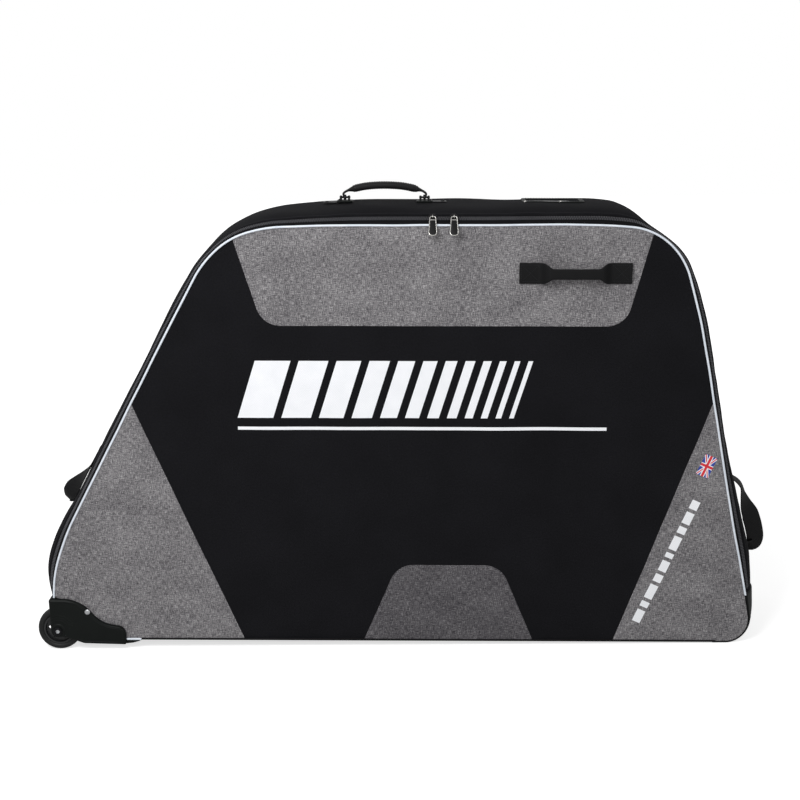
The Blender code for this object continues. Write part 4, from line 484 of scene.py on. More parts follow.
# Thread spacings in the real cloths are about a third of the ones here, which are the finest that show.
FINISH = {
    # Textured polyester: a dull near-black, faintly flecked where its uneven yarns catch the light.
    "polyester": woven("polyester_black", "#0F0F11", "#19191C", 0.85, (1.6, 0.12, 110), 4.0, 0.06),
    # Two-dye polyester: short light and dark flecks both ways, and a darker copy of it for the centre piece.
    "melange": melange("melange_grey", "#3A383C", "#6C6A6C", "#A8A6A7"),
    "melange_dark": melange("melange_grey_dark", "#29272B", "#4F4D50", "#7F7D7F"),
    # Polypropylene webbing: fine ribs that show as a soft crosswise grain, painted lighter on their tops and
    # darker between them as sheen and shade.
    "webbing": webbing_black(),
    # Coated cord: a cool white with a soft gleam, and a dark one that nearly vanishes beside the cloth.
    "piping": woven("piping_white", "#C9D2DE", "#EDF1F7", 0.42, (1.2, 0.1, 16), gloss=0.4),
    "dark_piping": woven("piping_dark", "#0C0C0D", "#141416", 0.6, (1.2, 0.1, 30), gloss=0.1),
    # Knitted tape: black with no shine.
    "zip_tape": woven("zip_tape_black", "#0C0C0D", "#131315", 0.8, (1.4, 0.2, 30), gloss=0.06),
    # Drawn nylon: a dark grey row with small gleams.
    "zip_coil": moulded("nylon_coil", "#404044", "#56565A", 0.4, (1.0, 0.02), 0.3),
    # Nylon taffeta: smooth enough to shine a little over the quilting.
    "lining": woven("nylon_lining", "#1A1B1F", "#232429", 0.55, (1.2, 0.08, 60), gloss=0.25),
    # Foam under brushed knit: matt and even.
    "foam": woven("lined_foam", "#202125", "#2A2B30", 0.8, (2.0, 0.15, 50)),
    # Twisted sewing thread: a shade lighter than the cloth it is in.
    "thread": woven("polyester_thread", "#1C1C1E", "#28282B", 0.6, (0.8, 0.05, 20), gloss=0.15),
    "pale_thread": woven("polyester_thread_grey", "#66656A", "#7B7A7E", 0.6, (0.8, 0.05, 20)),
    # Screen-printed ink: flat colour with the weave still showing through.
    "print": woven("screen_print_white", "#E4E6EA", "#F2F3F6", 0.6, (1.6, 0.06, 30)),
    "print_red": woven("screen_print_red", "#C8202E", "#D42A36", 0.6, (1.6, 0.06, 30)),
    "print_blue": woven("screen_print_blue", "#23368F", "#2B42A2", 0.6, (1.6, 0.06, 30)),
    # Moulded polypropylene: black with a satin, lightly grained skin.
    "polypropylene": moulded("polypropylene_black", "#0C0E0D", "#121514", 0.45, (0.9, 0.03), 0.1),
    # Cast polyurethane: a little duller, as a tread scuffs.
    "tyre": moulded("polyurethane_black", "#101111", "#181919", 0.5, (2.5, 0.05), 0.25),
    # Moulded nylon: smoother and brighter than the tyre round it.
    "hub": moulded("nylon_hub", "#1A1B1C", "#242526", 0.32, (1.5, 0.02), 0.4),
    # Moulded rubber: soft and dark on the grip, nearly without light in the pulls.
    "grip": moulded("grip_rubber", "#0E0E0F", "#161617", 0.5, (0.8, 0.04), 0.2),
    "insert": moulded("pull_insert", "#060607", "#0B0B0C", 0.45, (0.5, 0.02), 0.2),
    # Plated metal: warm bright nickel, cooler and duller zinc, and steel that is blackened almost flat.
    "nickel": plated("nickel_plate", "#A9A7A4", "#C9C7C3", 0.24),
    "zinc": plated("zinc_plate", "#A4A6A8", "#C0C2C4", 0.28),
    "blackened": plated("black_oxide_steel", "#1B1B1D", "#29292B", 0.42),
    # Clear vinyl over the empty pocket: a dark, glossy pane.
    "window": moulded("clear_vinyl", "#16181A", "#1E2022", 0.14, (6.0, 0.05), 0.4),
    # Uncoated card: matt grey.
    "card": woven("card_board", "#4A4D50", "#55585C", 0.8, (2.0, 0.02, 60)),
}
# Faces that meet at more than this angle show an edge.
SHARP = 55.0


def on_body(obj, body, *nodes):
    """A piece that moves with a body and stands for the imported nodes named, if any."""
    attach(obj, body)
    if nodes:
        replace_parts(obj, *nodes)
    return obj


def blended(obj, first, second, start, end):
    """A piece with its place in the world baked into its points."""
    start, end = to_world([start, end])
    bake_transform(obj)
    return obj


def over_fold(obj):
    """A piece at the cover's fold, with its place baked into its points."""
    ends = [(0.0, FRONT_Y, FOLD_HEIGHT + way * FOLD_REACH) for way in (-1, 1)]
    return blended(obj, "bag", "cover", *ends)


def as_quads(faces):
    """Faces as rows of four, where a triangle repeats its last corner."""
    faces = np.asarray(faces, np.int64)
    return faces if faces.shape[1] == 4 else np.concatenate([faces, faces[:, 2:]], axis=1)


def turned_out(points, faces):
    """Faces whose signed volume, the sum of a . (b x c) / 6 over triangles, is positive."""
    local = points - points.mean(0)
    a, b, c, d = (local[faces[:, k]] for k in range(4))
    volume = np.einsum("ij,ij->", a, np.cross(b, c)) + np.einsum("ij,ij->", a, np.cross(c, d))
    if volume >= 0.0:
        return faces
    triangle = faces[:, 2] == faces[:, 3]
    flipped = faces[:, ::-1].copy()
    flipped[triangle] = faces[triangle][:, [2, 1, 0, 0]]
    return flipped


def piece(name, points, faces, finish, uv=None, sharp=SHARP):
    """A closed mesh at the origin, its place in its mesh and its cloth coordinates in metres."""
    points = np.asarray(points, float).reshape(-1, 3)
    faces = turned_out(points, as_quads(faces))
    triangle = faces[:, 2] == faces[:, 3]
    keep = np.ones(faces.shape, bool)
    keep[:, 3] = ~triangle
    totals = np.where(triangle, 3, 4)
    mesh = bpy.data.meshes.new(name)
    mesh.vertices.add(len(points))
    mesh.vertices.foreach_set("co", to_world(points).astype(np.float32).ravel())
    mesh.loops.add(int(totals.sum()))
    corners = faces[keep].astype(np.int32)
    mesh.loops.foreach_set("vertex_index", corners)
    mesh.polygons.add(len(faces))
    starts = np.concatenate([[0], np.cumsum(totals)[:-1]]).astype(np.int32)
    mesh.polygons.foreach_set("loop_start", starts)
    if uv is None:
        uv = points[:, [0, 2]]
    layer = mesh.uv_layers.new(name="cloth")
    layer.data.foreach_set("uv", np.asarray(uv, np.float32).reshape(-1, 2)[corners].ravel())
    mesh.update(calc_edges=True)
    mesh.shade_smooth()
    mesh.set_sharp_from_angle(angle=math.radians(sharp))
    obj = bpy.data.objects.new(name, mesh)
    bpy.context.scene.collection.objects.link(obj)
    obj.data.materials.append(FINISH[finish])
    return obj


def grid_faces(rows, cols, wrap_rows=False, wrap_cols=False):
    """Quads of a grid whose points are numbered row by row."""
    last_row = rows if wrap_rows else rows - 1
    last_col = cols if wrap_cols else cols - 1
    i, j = np.meshgrid(np.arange(last_row), np.arange(last_col), indexing="ij")
    below = (i + 1) % rows
    beside = (j + 1) % cols
    quads = columns(i * cols + j, i * cols + beside, below * cols + beside, below * cols + j)
    return quads.reshape(-1, 4)


def shell_parts(outer, inner):
    """Points and faces of a skin between two grids: outer, inner and the strip round their edge."""
    rows, cols = outer.shape[:2]
    count = rows * cols
    quads = grid_faces(rows, cols)
    border = np.concatenate(
        [
            np.arange(cols - 1),
            np.arange(rows - 1) * cols + cols - 1,
            count - 1 - np.arange(cols - 1),
            (rows - 1 - np.arange(rows - 1)) * cols,
        ]
    )
    after = np.roll(border, -1)
    rim = columns(border, border + count, after + count, after)
    points = np.concatenate([outer.reshape(-1, 3), inner.reshape(-1, 3)])
    return points, np.concatenate([quads, quads[:, ::-1] + count, rim])


def sweep_parts(rings, closed=False):
    """Points and faces of a closed skin through rings. Open sweeps are capped with a fan at each end."""
    rings = np.asarray(rings, float)
    rows, cols = rings.shape[:2]
    points = rings.reshape(-1, 3)
    faces = grid_faces(rows, cols, wrap_rows=closed, wrap_cols=True)
    if closed:
        return points, faces
    points = np.concatenate([points, rings[0].mean(0)[None], rings[-1].mean(0)[None]])
    j = np.arange(cols)
    k = (j + 1) % cols
    first = columns(k, j, rows * cols)
    final = columns(j + (rows - 1) * cols, k + (rows - 1) * cols, rows * cols + 1)
    return points, np.concatenate([faces, as_quads(first), as_quads(final)])


def swept(name, rings, finish, uv=None, closed=False, sharp=SHARP):
    """A closed skin through rings of points."""
    points, faces = sweep_parts(rings, closed)
    if uv is not None and not closed:
        uv = np.concatenate([uv.reshape(-1, 2), uv[0, :1], uv[-1, :1]])
    return piece(name, points, faces, finish, uv, sharp)


def carried(path, across, sections):
    """Rings of a section along a path: sections holds (sideways, outward) points for each ring.

    Sideways is across made square to the path's heading, and outward is square to both.
    """
    path = np.asarray(path, float)
    heading = unit(np.gradient(path, axis=0))
    hint = np.broadcast_to(np.asarray(across, float), path.shape)
    side = unit(hint - heading * np.sum(hint * heading, axis=1)[:, None])
    out = np.cross(heading, side)
    sections = np.broadcast_to(sections, (len(path), *np.shape(sections)[-2:]))
    return path[:, None, :] + sections[:, :, :1] * side[:, None, :] + sections[:, :, 1:] * out[:, None, :]


def round_section(radius, count=10):
    """A circle as (sideways, outward) points."""
    angle = TAU * np.arange(count) / count
    return columns(radius * np.cos(angle), radius * np.sin(angle))


def squared_circle(count, across_power, out_power):
    """A unit circle drawn towards a square: cos and sin, each to a power with its sign kept."""
    angle = TAU * (np.arange(count) + 0.5) / count
    c, s = np.cos(angle), np.sin(angle)
    return np.sign(c) * np.abs(c) ** across_power, np.sign(s) * np.abs(s) ** out_power


def flat_section(width, thickness, count=20, power=5.0):
    """A strap's section: |a / half width|^p + |o / half thickness|^p = 1."""
    a, o = squared_circle(count, 2 / power, 2 / power)
    return columns(a * width / 2, o * thickness / 2)


def strap_uv(path, section):
    """Cloth coordinates of a swept strap: distance along it and across it."""
    across = np.broadcast_to(section, (len(path), *np.shape(section)[-2:]))[:, :, 0]
    return columns(run_along(path)[:, None], across)


def smooth_path(points, count):
    """A curve through points: a Catmull-Rom spline read at count even steps of its own length."""
    points = np.asarray(points, float)
    padded = np.concatenate([[2 * points[0] - points[1]], points, [2 * points[-1] - points[-2]]])
    pieces = []
    t = np.linspace(0.0, 1.0, 24, endpoint=False)[:, None]
    for p0, p1, p2, p3 in zip(padded, padded[1:], padded[2:], padded[3:]):
        bend = 2 * p0 - 5 * p1 + 4 * p2 - p3
        pieces.append(0.5 * (2 * p1 + (p2 - p0) * t + bend * t**2 + (3 * p1 - p0 - 3 * p2 + p3) * t**3))
    curve = np.concatenate([*pieces, points[-1:]])
    run = run_along(curve)
    return read_at(np.linspace(0.0, run[-1], count), run, curve)


def turned(name, profile, centre, finish, steps=72, way=1.0):
    """A closed profile of (radius, depth) points turned about an axis along Y through a centre."""
    profile = np.asarray(profile, float)
    angle = TAU * np.arange(steps) / steps
    rings = np.stack(
        [
            centre[0] + np.outer(np.cos(angle), profile[:, 0]),
            centre[1] + way * np.outer(np.ones(steps), profile[:, 1]),
            centre[2] + np.outer(np.sin(angle), profile[:, 0]),
        ],
        axis=-1,
    )
    return swept(name, rings, finish, closed=True, sharp=35.0)


def copies(template, faces, origins, axes):
    """Points and faces of copies of a small closed template at origins, each in its own three unit axes."""
    points = origins[:, None, :] + np.einsum("tk,nkj->ntj", template, axes)
    faces = as_quads(faces)[None] + (np.arange(len(origins)) * len(template))[:, None, None]
    return points.reshape(-1, 3), faces.reshape(-1, 4)


def scattered(name, template, faces, origins, axes, finish):
    """One piece of many copies of a template, all with the template's own cloth coordinates."""
    uv = np.tile(template[:, :2], (len(origins), 1))
    return piece(name, *copies(template, faces, origins, axes), finish, uv, sharp=80.0)


def inside_distance(x, z, polygon):
    """Distance from points to a closed polygon's nearest edge."""
    a = np.asarray(polygon, float)
    b = np.roll(a, -1, axis=0)
    keep = np.linalg.norm(b - a, axis=1) > 1e-7
    a, b = a[keep], b[keep]
    p = columns(np.ravel(x), np.ravel(z))
    best = np.full(len(p), np.inf)
    for start, finish in zip(a, b):
        edge = finish - start
        t = np.clip((p - start) @ edge / (edge @ edge), 0.0, 1.0)
        away = p - start - t[:, None] * edge
        best = np.minimum(best, np.einsum("ij,ij->i", away, away))
    return np.sqrt(best).reshape(np.shape(x))


def inset_outline(inset, step=6 * MM):
    """The body's outline drawn in by a margin, as x, z points at even steps."""
    loop = OUTLINE[-1, 0] + math.dist(OUTLINE[-1, 1:3], OUTLINE[0, 1:3])
    s = np.arange(0.0, OUTLINE[-1, 0], step)
    x, z, nx, nz = outline_at(s)
    closing = np.linspace(OUTLINE[-1, 0], loop, math.ceil((loop - OUTLINE[-1, 0]) / step))[1:-1]
    share = (closing - OUTLINE[-1, 0]) / (loop - OUTLINE[-1, 0])
    low_x = OUTLINE[-1, 1] + (OUTLINE[0, 1] - OUTLINE[-1, 1]) * share
    ring = columns(x - nx * inset, z - nz * inset)
    return np.concatenate([ring, columns(low_x, inset)])


EDGE = inset_outline(0.0)

# The cloth dips to the piping over a run, and its field swells a little over the foam. Soft waves cross the
# field, and puckers stand along the seam.
PILLOW_RUN, PILLOW_DIP = mm(22, 1.6)
FIELD_RUN, FIELD_SWELL = mm(120, 0.7)
SOFT_RUN, SOFT_HEIGHT = mm(60, 1.0)
PUCKER_RUN, PUCKER_HEIGHT = mm(16, 0.6)
SEAM_RUN = 4 * MM


def front_y(x, z):
    """The front cloth's Y: a low pillow from the piping, long soft waves and puckers along the seam."""
    edge = inside_distance(x, z, EDGE)
    dip = PILLOW_DIP * np.exp(-edge / PILLOW_RUN)
    swell = FIELD_SWELL * eased(edge, 0.0, FIELD_RUN)
    soft = SOFT_HEIGHT * waves(x, z, "front_soft") * eased(edge, 0.0, SOFT_RUN)
    near = np.exp(-edge / PUCKER_RUN) * eased(edge, 0.0, SEAM_RUN)
    pucker = PUCKER_HEIGHT * waves(x, z, "front_pucker") * near
    return FRONT_Y + dip - swell - soft - pucker


def even_ring(polygon, step):
    """Points at even steps round a closed polygon, with its corners kept."""
    polygon = np.asarray(polygon, float)
    ring = []
    for a, b in zip(polygon, np.roll(polygon, -1, axis=0)):
        count = max(1, math.ceil(np.linalg.norm(b - a) / step))
        ring.append(a + (b - a) * (np.arange(count) / count)[:, None])
    return np.concatenate(ring)


def inward(ring, margin):
    """A closed ring drawn in by a margin along its own normals, whichever way round it runs."""
    after = np.roll(ring, -1, axis=0)
    along = unit(after - np.roll(ring, 1, axis=0))
    side = np.sign(np.sum(ring[:, 0] * after[:, 1] - after[:, 0] * ring[:, 1]))
    return ring + side * margin * columns(-along[:, 1], along[:, 0])


def panel_grid(ring, rings, centre=None):
    """x, z of a patch: its ring drawn in to its centre, with rings closer together near the edge."""
    centre = ring.mean(0) if centre is None else np.asarray(centre, float)
    shares = np.sin(np.linspace(0.0, math.pi / 2, rings + 1))[1:]
    flat = centre + (ring[None] - centre) * shares[:, None, None]
    return np.concatenate([[centre], flat.reshape(-1, 2)]).T


def panel_parts(ring, rings, front, rear, centre=None):
    """Points and faces of a closed panel between two laws that give Y from x, z."""
    x, z = panel_grid(ring, rings, centre)
    points = np.concatenate([columns(x, front(x, z), z), columns(x, rear(x, z), z)])
    count = len(ring)
    total = 1 + rings * count
    j = np.arange(count)
    fan = as_quads(columns(0, 1 + j, 1 + (j + 1) % count))
    side = np.concatenate([fan, grid_faces(rings, count, wrap_cols=True)[:, ::-1] + 1])
    outer = 1 + (rings - 1) * count + j
    after = np.roll(outer, -1)
    rim = columns(outer, outer + total, after + total, after)
    far = side[:, ::-1] + total
    far[:count] = (side[:count] + total)[:, [2, 1, 0, 0]]
    return points, np.concatenate([side, far, rim[:, ::-1]])


def panel(name, ring, rings, front, rear, finish, uv_turn=0.0):
    """A closed panel over a ring of x, z points, its cloth coordinates turned by an angle."""
    points, faces = panel_parts(ring, rings, front, rear)
    x, _, z = points.T
    c, s = math.cos(uv_turn), math.sin(uv_turn)
    return piece(name, points, faces, finish, columns(x * c + z * s, z * c - x * s))


def rounded_lift(edge, lift, hem):
    """A quarter round of a lift within a hem of the edge: lift * sqrt(1 - (1 - d / hem)^2)."""
    share = np.clip(edge / hem, 0.0, 1.0)
    return lift * np.sqrt(1 - (1 - share) ** 2)


FRONT_EDGE_INSET = 1.2 * MM
HOUSING_CORNERS = (
    (-671 * MM, HOUSING_TOP, 3 * MM),
    (-612 * MM, HOUSING_TOP, 70 * MM),
    mm(-573, 33, 60),
    (HOUSING_TOE_X, 26 * MM, 16 * MM),
    (HOUSING_TOE_X, -9 * MM, 2 * MM),
    mm(-606, -7, 14),
    (WHEEL_X + 14 * MM, WHEEL_Z - 14 * MM, 7 * MM),
    (WHEEL_X - 14 * MM, WHEEL_Z - 14 * MM, 14 * MM),
)
HOUSING_TABLE, HOUSING_ARCS = outline_table(HOUSING_CORNERS, 0.8 * MM)


def notch_path(margin=3 * MM):
    """Where the cloth ends behind a housing: its top, saddle and toe drawn in by a margin."""
    run = HOUSING_TABLE[:, 0]
    table = HOUSING_TABLE[(run > HOUSING_ARCS[0][1]) & (run < HOUSING_ARCS[4][0])]
    normal = columns(-np.sin(table[:, 3]), np.cos(table[:, 3]))
    return (table[:, 1:3] - normal * margin)[::3]


# The wheels' corner of the bag, the height of a toe's search, and where a cheek's outline leaves the cloth.
CORNER_X, TOE_HEIGHT, NOTCH_LEFT = mm(-600, 20, -661)


def cloth_ring(inset=FRONT_EDGE_INSET, step=5 * MM):
    """Outline of a front or back cloth: the body's, with the corner behind the wheel housing left out."""
    ring = inset_outline(inset)
    notch = notch_path()
    start = int(np.argmax((ring[:, 0] < CORNER_X) & (ring[:, 1] > notch[0, 1])))
    body = np.roll(ring, -start, axis=0)
    beside_wheel = (body[:, 0] < CORNER_X) & (body[:, 1] <= notch[0, 1])
    behind_toe = (body[:, 0] < notch[-1, 0]) & (body[:, 1] < TOE_HEIGHT)
    body = body[~(beside_wheel | behind_toe)]
    inside = notch[(notch[:, 1] > inset) & (notch[:, 0] > NOTCH_LEFT)]
    return even_ring(np.concatenate([body, [[notch[-1, 0], inset]], inside[::-1]]), step)


def cut_ring(ring, a, b):
    """The part of a closed ring on the right of the line from a to b, closed along that line."""
    way = unit(np.subtract(b, a))
    side = (ring[:, 0] - a[0]) * way[1] - (ring[:, 1] - a[1]) * way[0]
    keep = side >= 0.0
    start = int(np.argmax(keep & ~np.roll(keep, 1)))
    ring, side, keep = (np.roll(values, -start, axis=0) for values in (ring, side, keep))
    count = int(np.argmin(keep)) if not keep.all() else len(ring)

    def crossing(i, j):
        share = side[i] / (side[i] - side[j])
        return ring[i] + (ring[j] - ring[i]) * share

    return np.concatenate([[crossing(-1, 0)], ring[:count], [crossing(count - 1, count % len(ring))]])


GREY_LIFT, GREY_HEM, GREY_STEP = mm(0.8, 2.2, 4)
GREY_TOP_LOW = BODY_HEIGHT - 184 * MM
CLOTH_RING = cloth_ring()

# The top piece's slanting ends, as x at its low edge and at the body's top, and its low corners' radius.
GREY_TOP_LEFT = mm(-250, -310)
GREY_TOP_RIGHT = mm(412, 462)
GREY_TOP_RADIUS = 45 * MM
# Heights of the side pieces' apexes on the outline, and x where their inner edges meet the base.
GREY_APEX = {"left": 466 * MM, "right": 472 * MM}
GREY_FOOT = {"left": -297 * MM, "right": 409 * MM}
# The centre piece, a low trapezium with round shoulders: x and z of its foot and shoulder, and its middle.
GREY_CENTRE_FOOT = 161.5 * MM
GREY_CENTRE_SHOULDER = mm(98, 152.5)
GREY_CENTRE_X = 94 * MM
GREY_CENTRE_RADIUS = 48 * MM
# Past either end of the bag.
BEYOND = 0.6
TURN_STEP = 3 * MM


def grey_rings():
    """Outlines of the four grey pieces, from the places where their edges meet the body's outline."""
    top = cut_ring(CLOTH_RING, (GREY_TOP_LEFT[0], GREY_TOP_LOW), (GREY_TOP_LEFT[1], BODY_HEIGHT))
    top = cut_ring(top, (GREY_TOP_RIGHT[1], BODY_HEIGHT), (GREY_TOP_RIGHT[0], GREY_TOP_LOW))
    top = cut_ring(top, (BEYOND, GREY_TOP_LOW), (-BEYOND, GREY_TOP_LOW))
    high = [(x, z, 0.0) for x, z in top[top[:, 1] > GREY_TOP_LOW + MM]]
    low = [(end[0], GREY_TOP_LOW, GREY_TOP_RADIUS) for end in (GREY_TOP_RIGHT, GREY_TOP_LEFT)]
    left_apex, right_apex = (outline_at(distance_at_height(GREY_APEX[side], side))[:2] for side in GREY_APEX)
    centre = [
        (GREY_CENTRE_X + way * half, z, radius)
        for way, half, z, radius in (
            (-1, GREY_CENTRE_FOOT, FRONT_EDGE_INSET, 0.0),
            (-1, *GREY_CENTRE_SHOULDER, GREY_CENTRE_RADIUS),
            (1, *GREY_CENTRE_SHOULDER, GREY_CENTRE_RADIUS),
            (1, GREY_CENTRE_FOOT, FRONT_EDGE_INSET, 0.0),
        )
    ]
    rings = {
        "top": flat_outline([*high, *low], TURN_STEP),
        "left": cut_ring(CLOTH_RING, left_apex, (GREY_FOOT["left"], 0.0)),
        "right": cut_ring(CLOTH_RING, (GREY_FOOT["right"], 0.0), right_apex),
        "centre": flat_outline(centre, TURN_STEP),
    }
    return {name: even_ring(ring, GREY_STEP) for name, ring in rings.items()}


# Each grey piece's count of rings, turn of its cloth, finish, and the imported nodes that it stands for.
GREY_PIECES = {
    "top": (34, 0.0, "melange", ("grey_top_panel",)),
    "left": (40, 0.02, "melange", ("grey_left_panel", "grey_left_strip")),
    "right": (36, -0.02, "melange", ("grey_right_panel", "grey_right_strip")),
    "centre": (26, 0.01, "melange_dark", ("grey_centre_panel", "grey_centre_strip")),
}
# How far a seam's stitches stand in from a grey piece's edge, and the least they keep from the piping.
SEAM_INSET = 3.4 * MM
SEAM_CLEAR = 7 * MM
HEM_LIFT, HEM_WIDTH = mm(1.6, 3)


def front_rear(x, z):
    """Back of the front cloth, which rounds off to its edge."""
    edge = inside_distance(x, z, CLOTH_RING)
    return front_y(x, z) + rounded_lift(edge, HEM_LIFT, HEM_WIDTH) + 0.2 * MM


def make_front():
    """Front cloth and the grey pieces sewn on it, with their stitches; the top grey piece and its stitches
    move with the cover.
    """
    cloth = over_fold(panel("front_cloth", CLOTH_RING, 44, front_y, front_rear, "polyester"))
    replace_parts(cloth, "front_panel", "front_lower_panel")
    rings_of = grey_rings()
    for key, (rings, turn, finish, nodes) in GREY_PIECES.items():
        ring = rings_of[key]
        obj = panel(
            f"grey_{key}_cloth", ring, rings,
            lambda x, z: front_y(x, z) - 0.05 * MM - grey_lift(x, z, ring),
            lambda x, z: front_y(x, z) + 0.1 * MM,
            finish, uv_turn=turn,
        )
        seam = inward(ring, SEAM_INSET)
        away = inside_distance(*seam.T, CLOTH_RING) > SEAM_CLEAR
        row = stitch_row(f"grey_{key}_stitches", seam, away, GREY_LIFT + 0.1 * MM, "pale_thread")
        for part in (obj, row):
            if key == "top":
                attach(part, "cover")
            else:
                over_fold(part)
        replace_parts(obj, *nodes)


def grey_lift(x, z, ring):
    """Relief of a grey piece: a rounded folded edge, then a shallow channel under its stitching."""
    edge = inside_distance(x, z, ring)
    channel = 0.22 * MM * np.exp(-(((edge - SEAM_INSET) / MM) ** 2))
    return rounded_lift(edge, GREY_LIFT, GREY_HEM) - channel


def spindle(length, radius, sides=5):
    """A stitch: two rings and two tips, lying along the first axis."""
    angle = TAU * np.arange(sides) / sides
    ends = (-length * 0.28, length * 0.28)
    points, faces = sweep_parts([columns(x, radius * np.cos(angle), radius * np.sin(angle)) for x in ends])
    points[-2:] = [(x, 0.0, -radius * 0.9) for x in (-length / 2, length / 2)]
    return points, faces


STITCH_PITCH, STITCH_LENGTH, STITCH_RADIUS = mm(5.2, 3.8, 0.45)


def stitches_on(name, path, out, finish, pitch=STITCH_PITCH, length=STITCH_LENGTH):
    """Stitches at even steps of a path of points, lying on the side that out points to."""
    run = run_along(path)
    steps = np.arange(pitch / 2, run[-1], pitch)
    along = unit(read_at(steps + MM, run, path) - read_at(steps - MM, run, path))
    out = read_at(steps, run, np.broadcast_to(np.asarray(out, float), (len(path), 3)))
    out = unit(out - along * np.sum(out * along, axis=1)[:, None])
    axes = np.stack([along, np.cross(out, along), out], axis=1)
    template, faces = spindle(length, STITCH_RADIUS)
    return scattered(name, template, faces, read_at(steps, run, path), axes, finish)


def stitch_row(name, seam, use, lift, finish):
    """Stitches along the used part of a closed seam on the front."""
    start = int(np.argmax(use & ~np.roll(use, 1))) if not use.all() else 0
    seam, use = np.roll(seam, -start, axis=0), np.roll(use, -start)
    seam = seam[: int(np.argmin(use))] if not use.all() else np.concatenate([seam, seam[:1]])
    x, z = seam.T
    path = columns(x, front_y(x, z) - lift, z)
    return stitches_on(name, path, (0.0, -1.0, 0.0), finish)


PRINT_THICKNESS, PRINT_LIFT = mm(0.25, 0.2)


def draped_bar(corners, lift, count=14):
    """A printed bar between four x, z corners, as outer and inner grids that follow the front cloth."""
    low_left, high_left, high_right, low_right = (np.asarray(c, float) for c in corners)
    u = np.linspace(0.0, 1.0, count)[:, None, None]
    v = np.linspace(0.0, 1.0, count)[None, :, None]
    flat = (low_left * (1 - v) + high_left * v) * (1 - u) + (low_right * (1 - v) + high_right * v) * u
    x, z = flat[..., 0], flat[..., 1]
    y = front_y(x, z) - lift
    return columns(x, y, z), columns(x, y + PRINT_THICKNESS, z)


def joined(parts):
    """Points and faces of several parts as one, each part's faces numbered on from the last."""
    points, faces = [], []
    for some, sides in parts:
        faces.append(sides + sum(len(done) for done in points))
        points.append(some)
    return np.concatenate(points), np.concatenate(faces)


def printed(name, bars, lift, finish):
    """One piece of several printed bars."""
    return piece(name, *joined([shell_parts(*draped_bar(bar, lift)) for bar in bars]), finish)


# The row of bars: each is a fixed share of the last one's width. The rule runs below them.
BAR_COUNT = 12
BAR_LOW, BAR_HIGH = mm(440, 548)
BAR_LEAN, BAR_FIRST, BAR_GAP, BAR_START = mm(34, 66, 15, -300)
BAR_SHARE = 0.83
RULE_LOW, RULE_HIGH = mm(417, 423)
RULE_END = 384 * MM
RULE_PIECES = 24
# The row of dashes up the right grey piece: its two ends, half a dash's width, their lengths and their gap.
DASHES_LOW, DASHES_HIGH = np.array([mm(452, 40), mm(566, 300)])
DASH_HALF = 8 * MM
DASH_LENGTHS = np.array((26, 12, 30, 16, 22, 10, 28, 14, 24, 18) * 2) * MM
DASH_GAP = 7 * MM
FLAG_CENTRE = np.array([573 * MM, 349 * MM])
FLAG_LENGTH, FLAG_HEIGHT, FLAG_LAYER = mm(42, 24, 0.12)


def make_print():
    """Printing on the cloth: a row of leaning bars that get narrower, a rule, dashes and a small flag."""
    bars = []
    x = BAR_START
    for width in BAR_FIRST * BAR_SHARE ** np.arange(BAR_COUNT):
        high = x + BAR_LEAN
        bars.append(((x, BAR_LOW), (high, BAR_HIGH), (high + width, BAR_HIGH), (x + width, BAR_LOW)))
        x += width + BAR_GAP
    xs = np.linspace(BAR_START, RULE_END, RULE_PIECES + 1)
    bars += [((a, RULE_LOW), (a, RULE_HIGH), (b, RULE_HIGH), (b, RULE_LOW)) for a, b in zip(xs, xs[1:])]
    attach(printed("front_bars", bars, PRINT_LIFT, "print"), "cover")
    way = unit(DASHES_HIGH - DASHES_LOW)
    side = np.array([-way[1], way[0]]) * DASH_HALF
    dashes = []
    at = 0.0
    for length in DASH_LENGTHS:
        if at + length > math.dist(DASHES_LOW, DASHES_HIGH):
            break
        a, b = (DASHES_LOW + way * end for end in (at, at + length))
        dashes.append((a - side, a + side, b + side, b - side))
        at += length + DASH_GAP
    over_fold(printed("side_dashes", dashes, GREY_LIFT + PRINT_LIFT, "print"))
    make_flag(way)


def make_flag(way):
    """A small printed union flag: blue field, white and red diagonals, white and red cross."""
    side = np.array([-way[1], way[0]])
    scale = np.array([FLAG_LENGTH, FLAG_HEIGHT]) / 2

    def quad(corners):
        return tuple(FLAG_CENTRE + way * u * scale[0] + side * v * scale[1] for u, v in corners)

    def strip(a, b, half):
        a, b = np.array(a), np.array(b)
        run = (b - a) * scale
        normal = unit(np.array([-run[1], run[0]])) * half / scale
        return quad((a - normal, a + normal, b + normal, b - normal))

    def diagonals(u, v):
        return ((-u, -v), (u, v)), ((-u, v), (u, -v))

    cross = ((-1, 0), (1, 0)), ((0, -1), (0, 1))
    layers = [("blue", "print_blue", [quad(((-1, -1), (-1, 1), (1, 1), (1, -1)))])]
    for name, finish, lines, half in (
        ("white_diagonals", "print", diagonals(0.94, 0.9), 2.4 * MM),
        ("red_diagonals", "print_red", diagonals(0.96, 0.93), 0.9 * MM),
        ("white_cross", "print", cross, 4.0 * MM),
        ("red_cross", "print_red", cross, 2.4 * MM),
    ):
        layers.append((name, finish, [strip(a, b, half) for a, b in lines]))
    for k, (name, finish, bars) in enumerate(layers):
        lift = GREY_LIFT + PRINT_LIFT + k * FLAG_LAYER
        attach(printed("flag_" + name, bars, lift, finish), "cover")


ZIP_DEPTH = 11 * MM
HEM_DEPTH = 20 * MM
WALL_EDGE = 1.2 * MM
WALL_BACK = BODY_DEPTH - WALL_EDGE
HOUSING_DEPTH_IN = HOUSING_INNER_Y - FRONT_Y
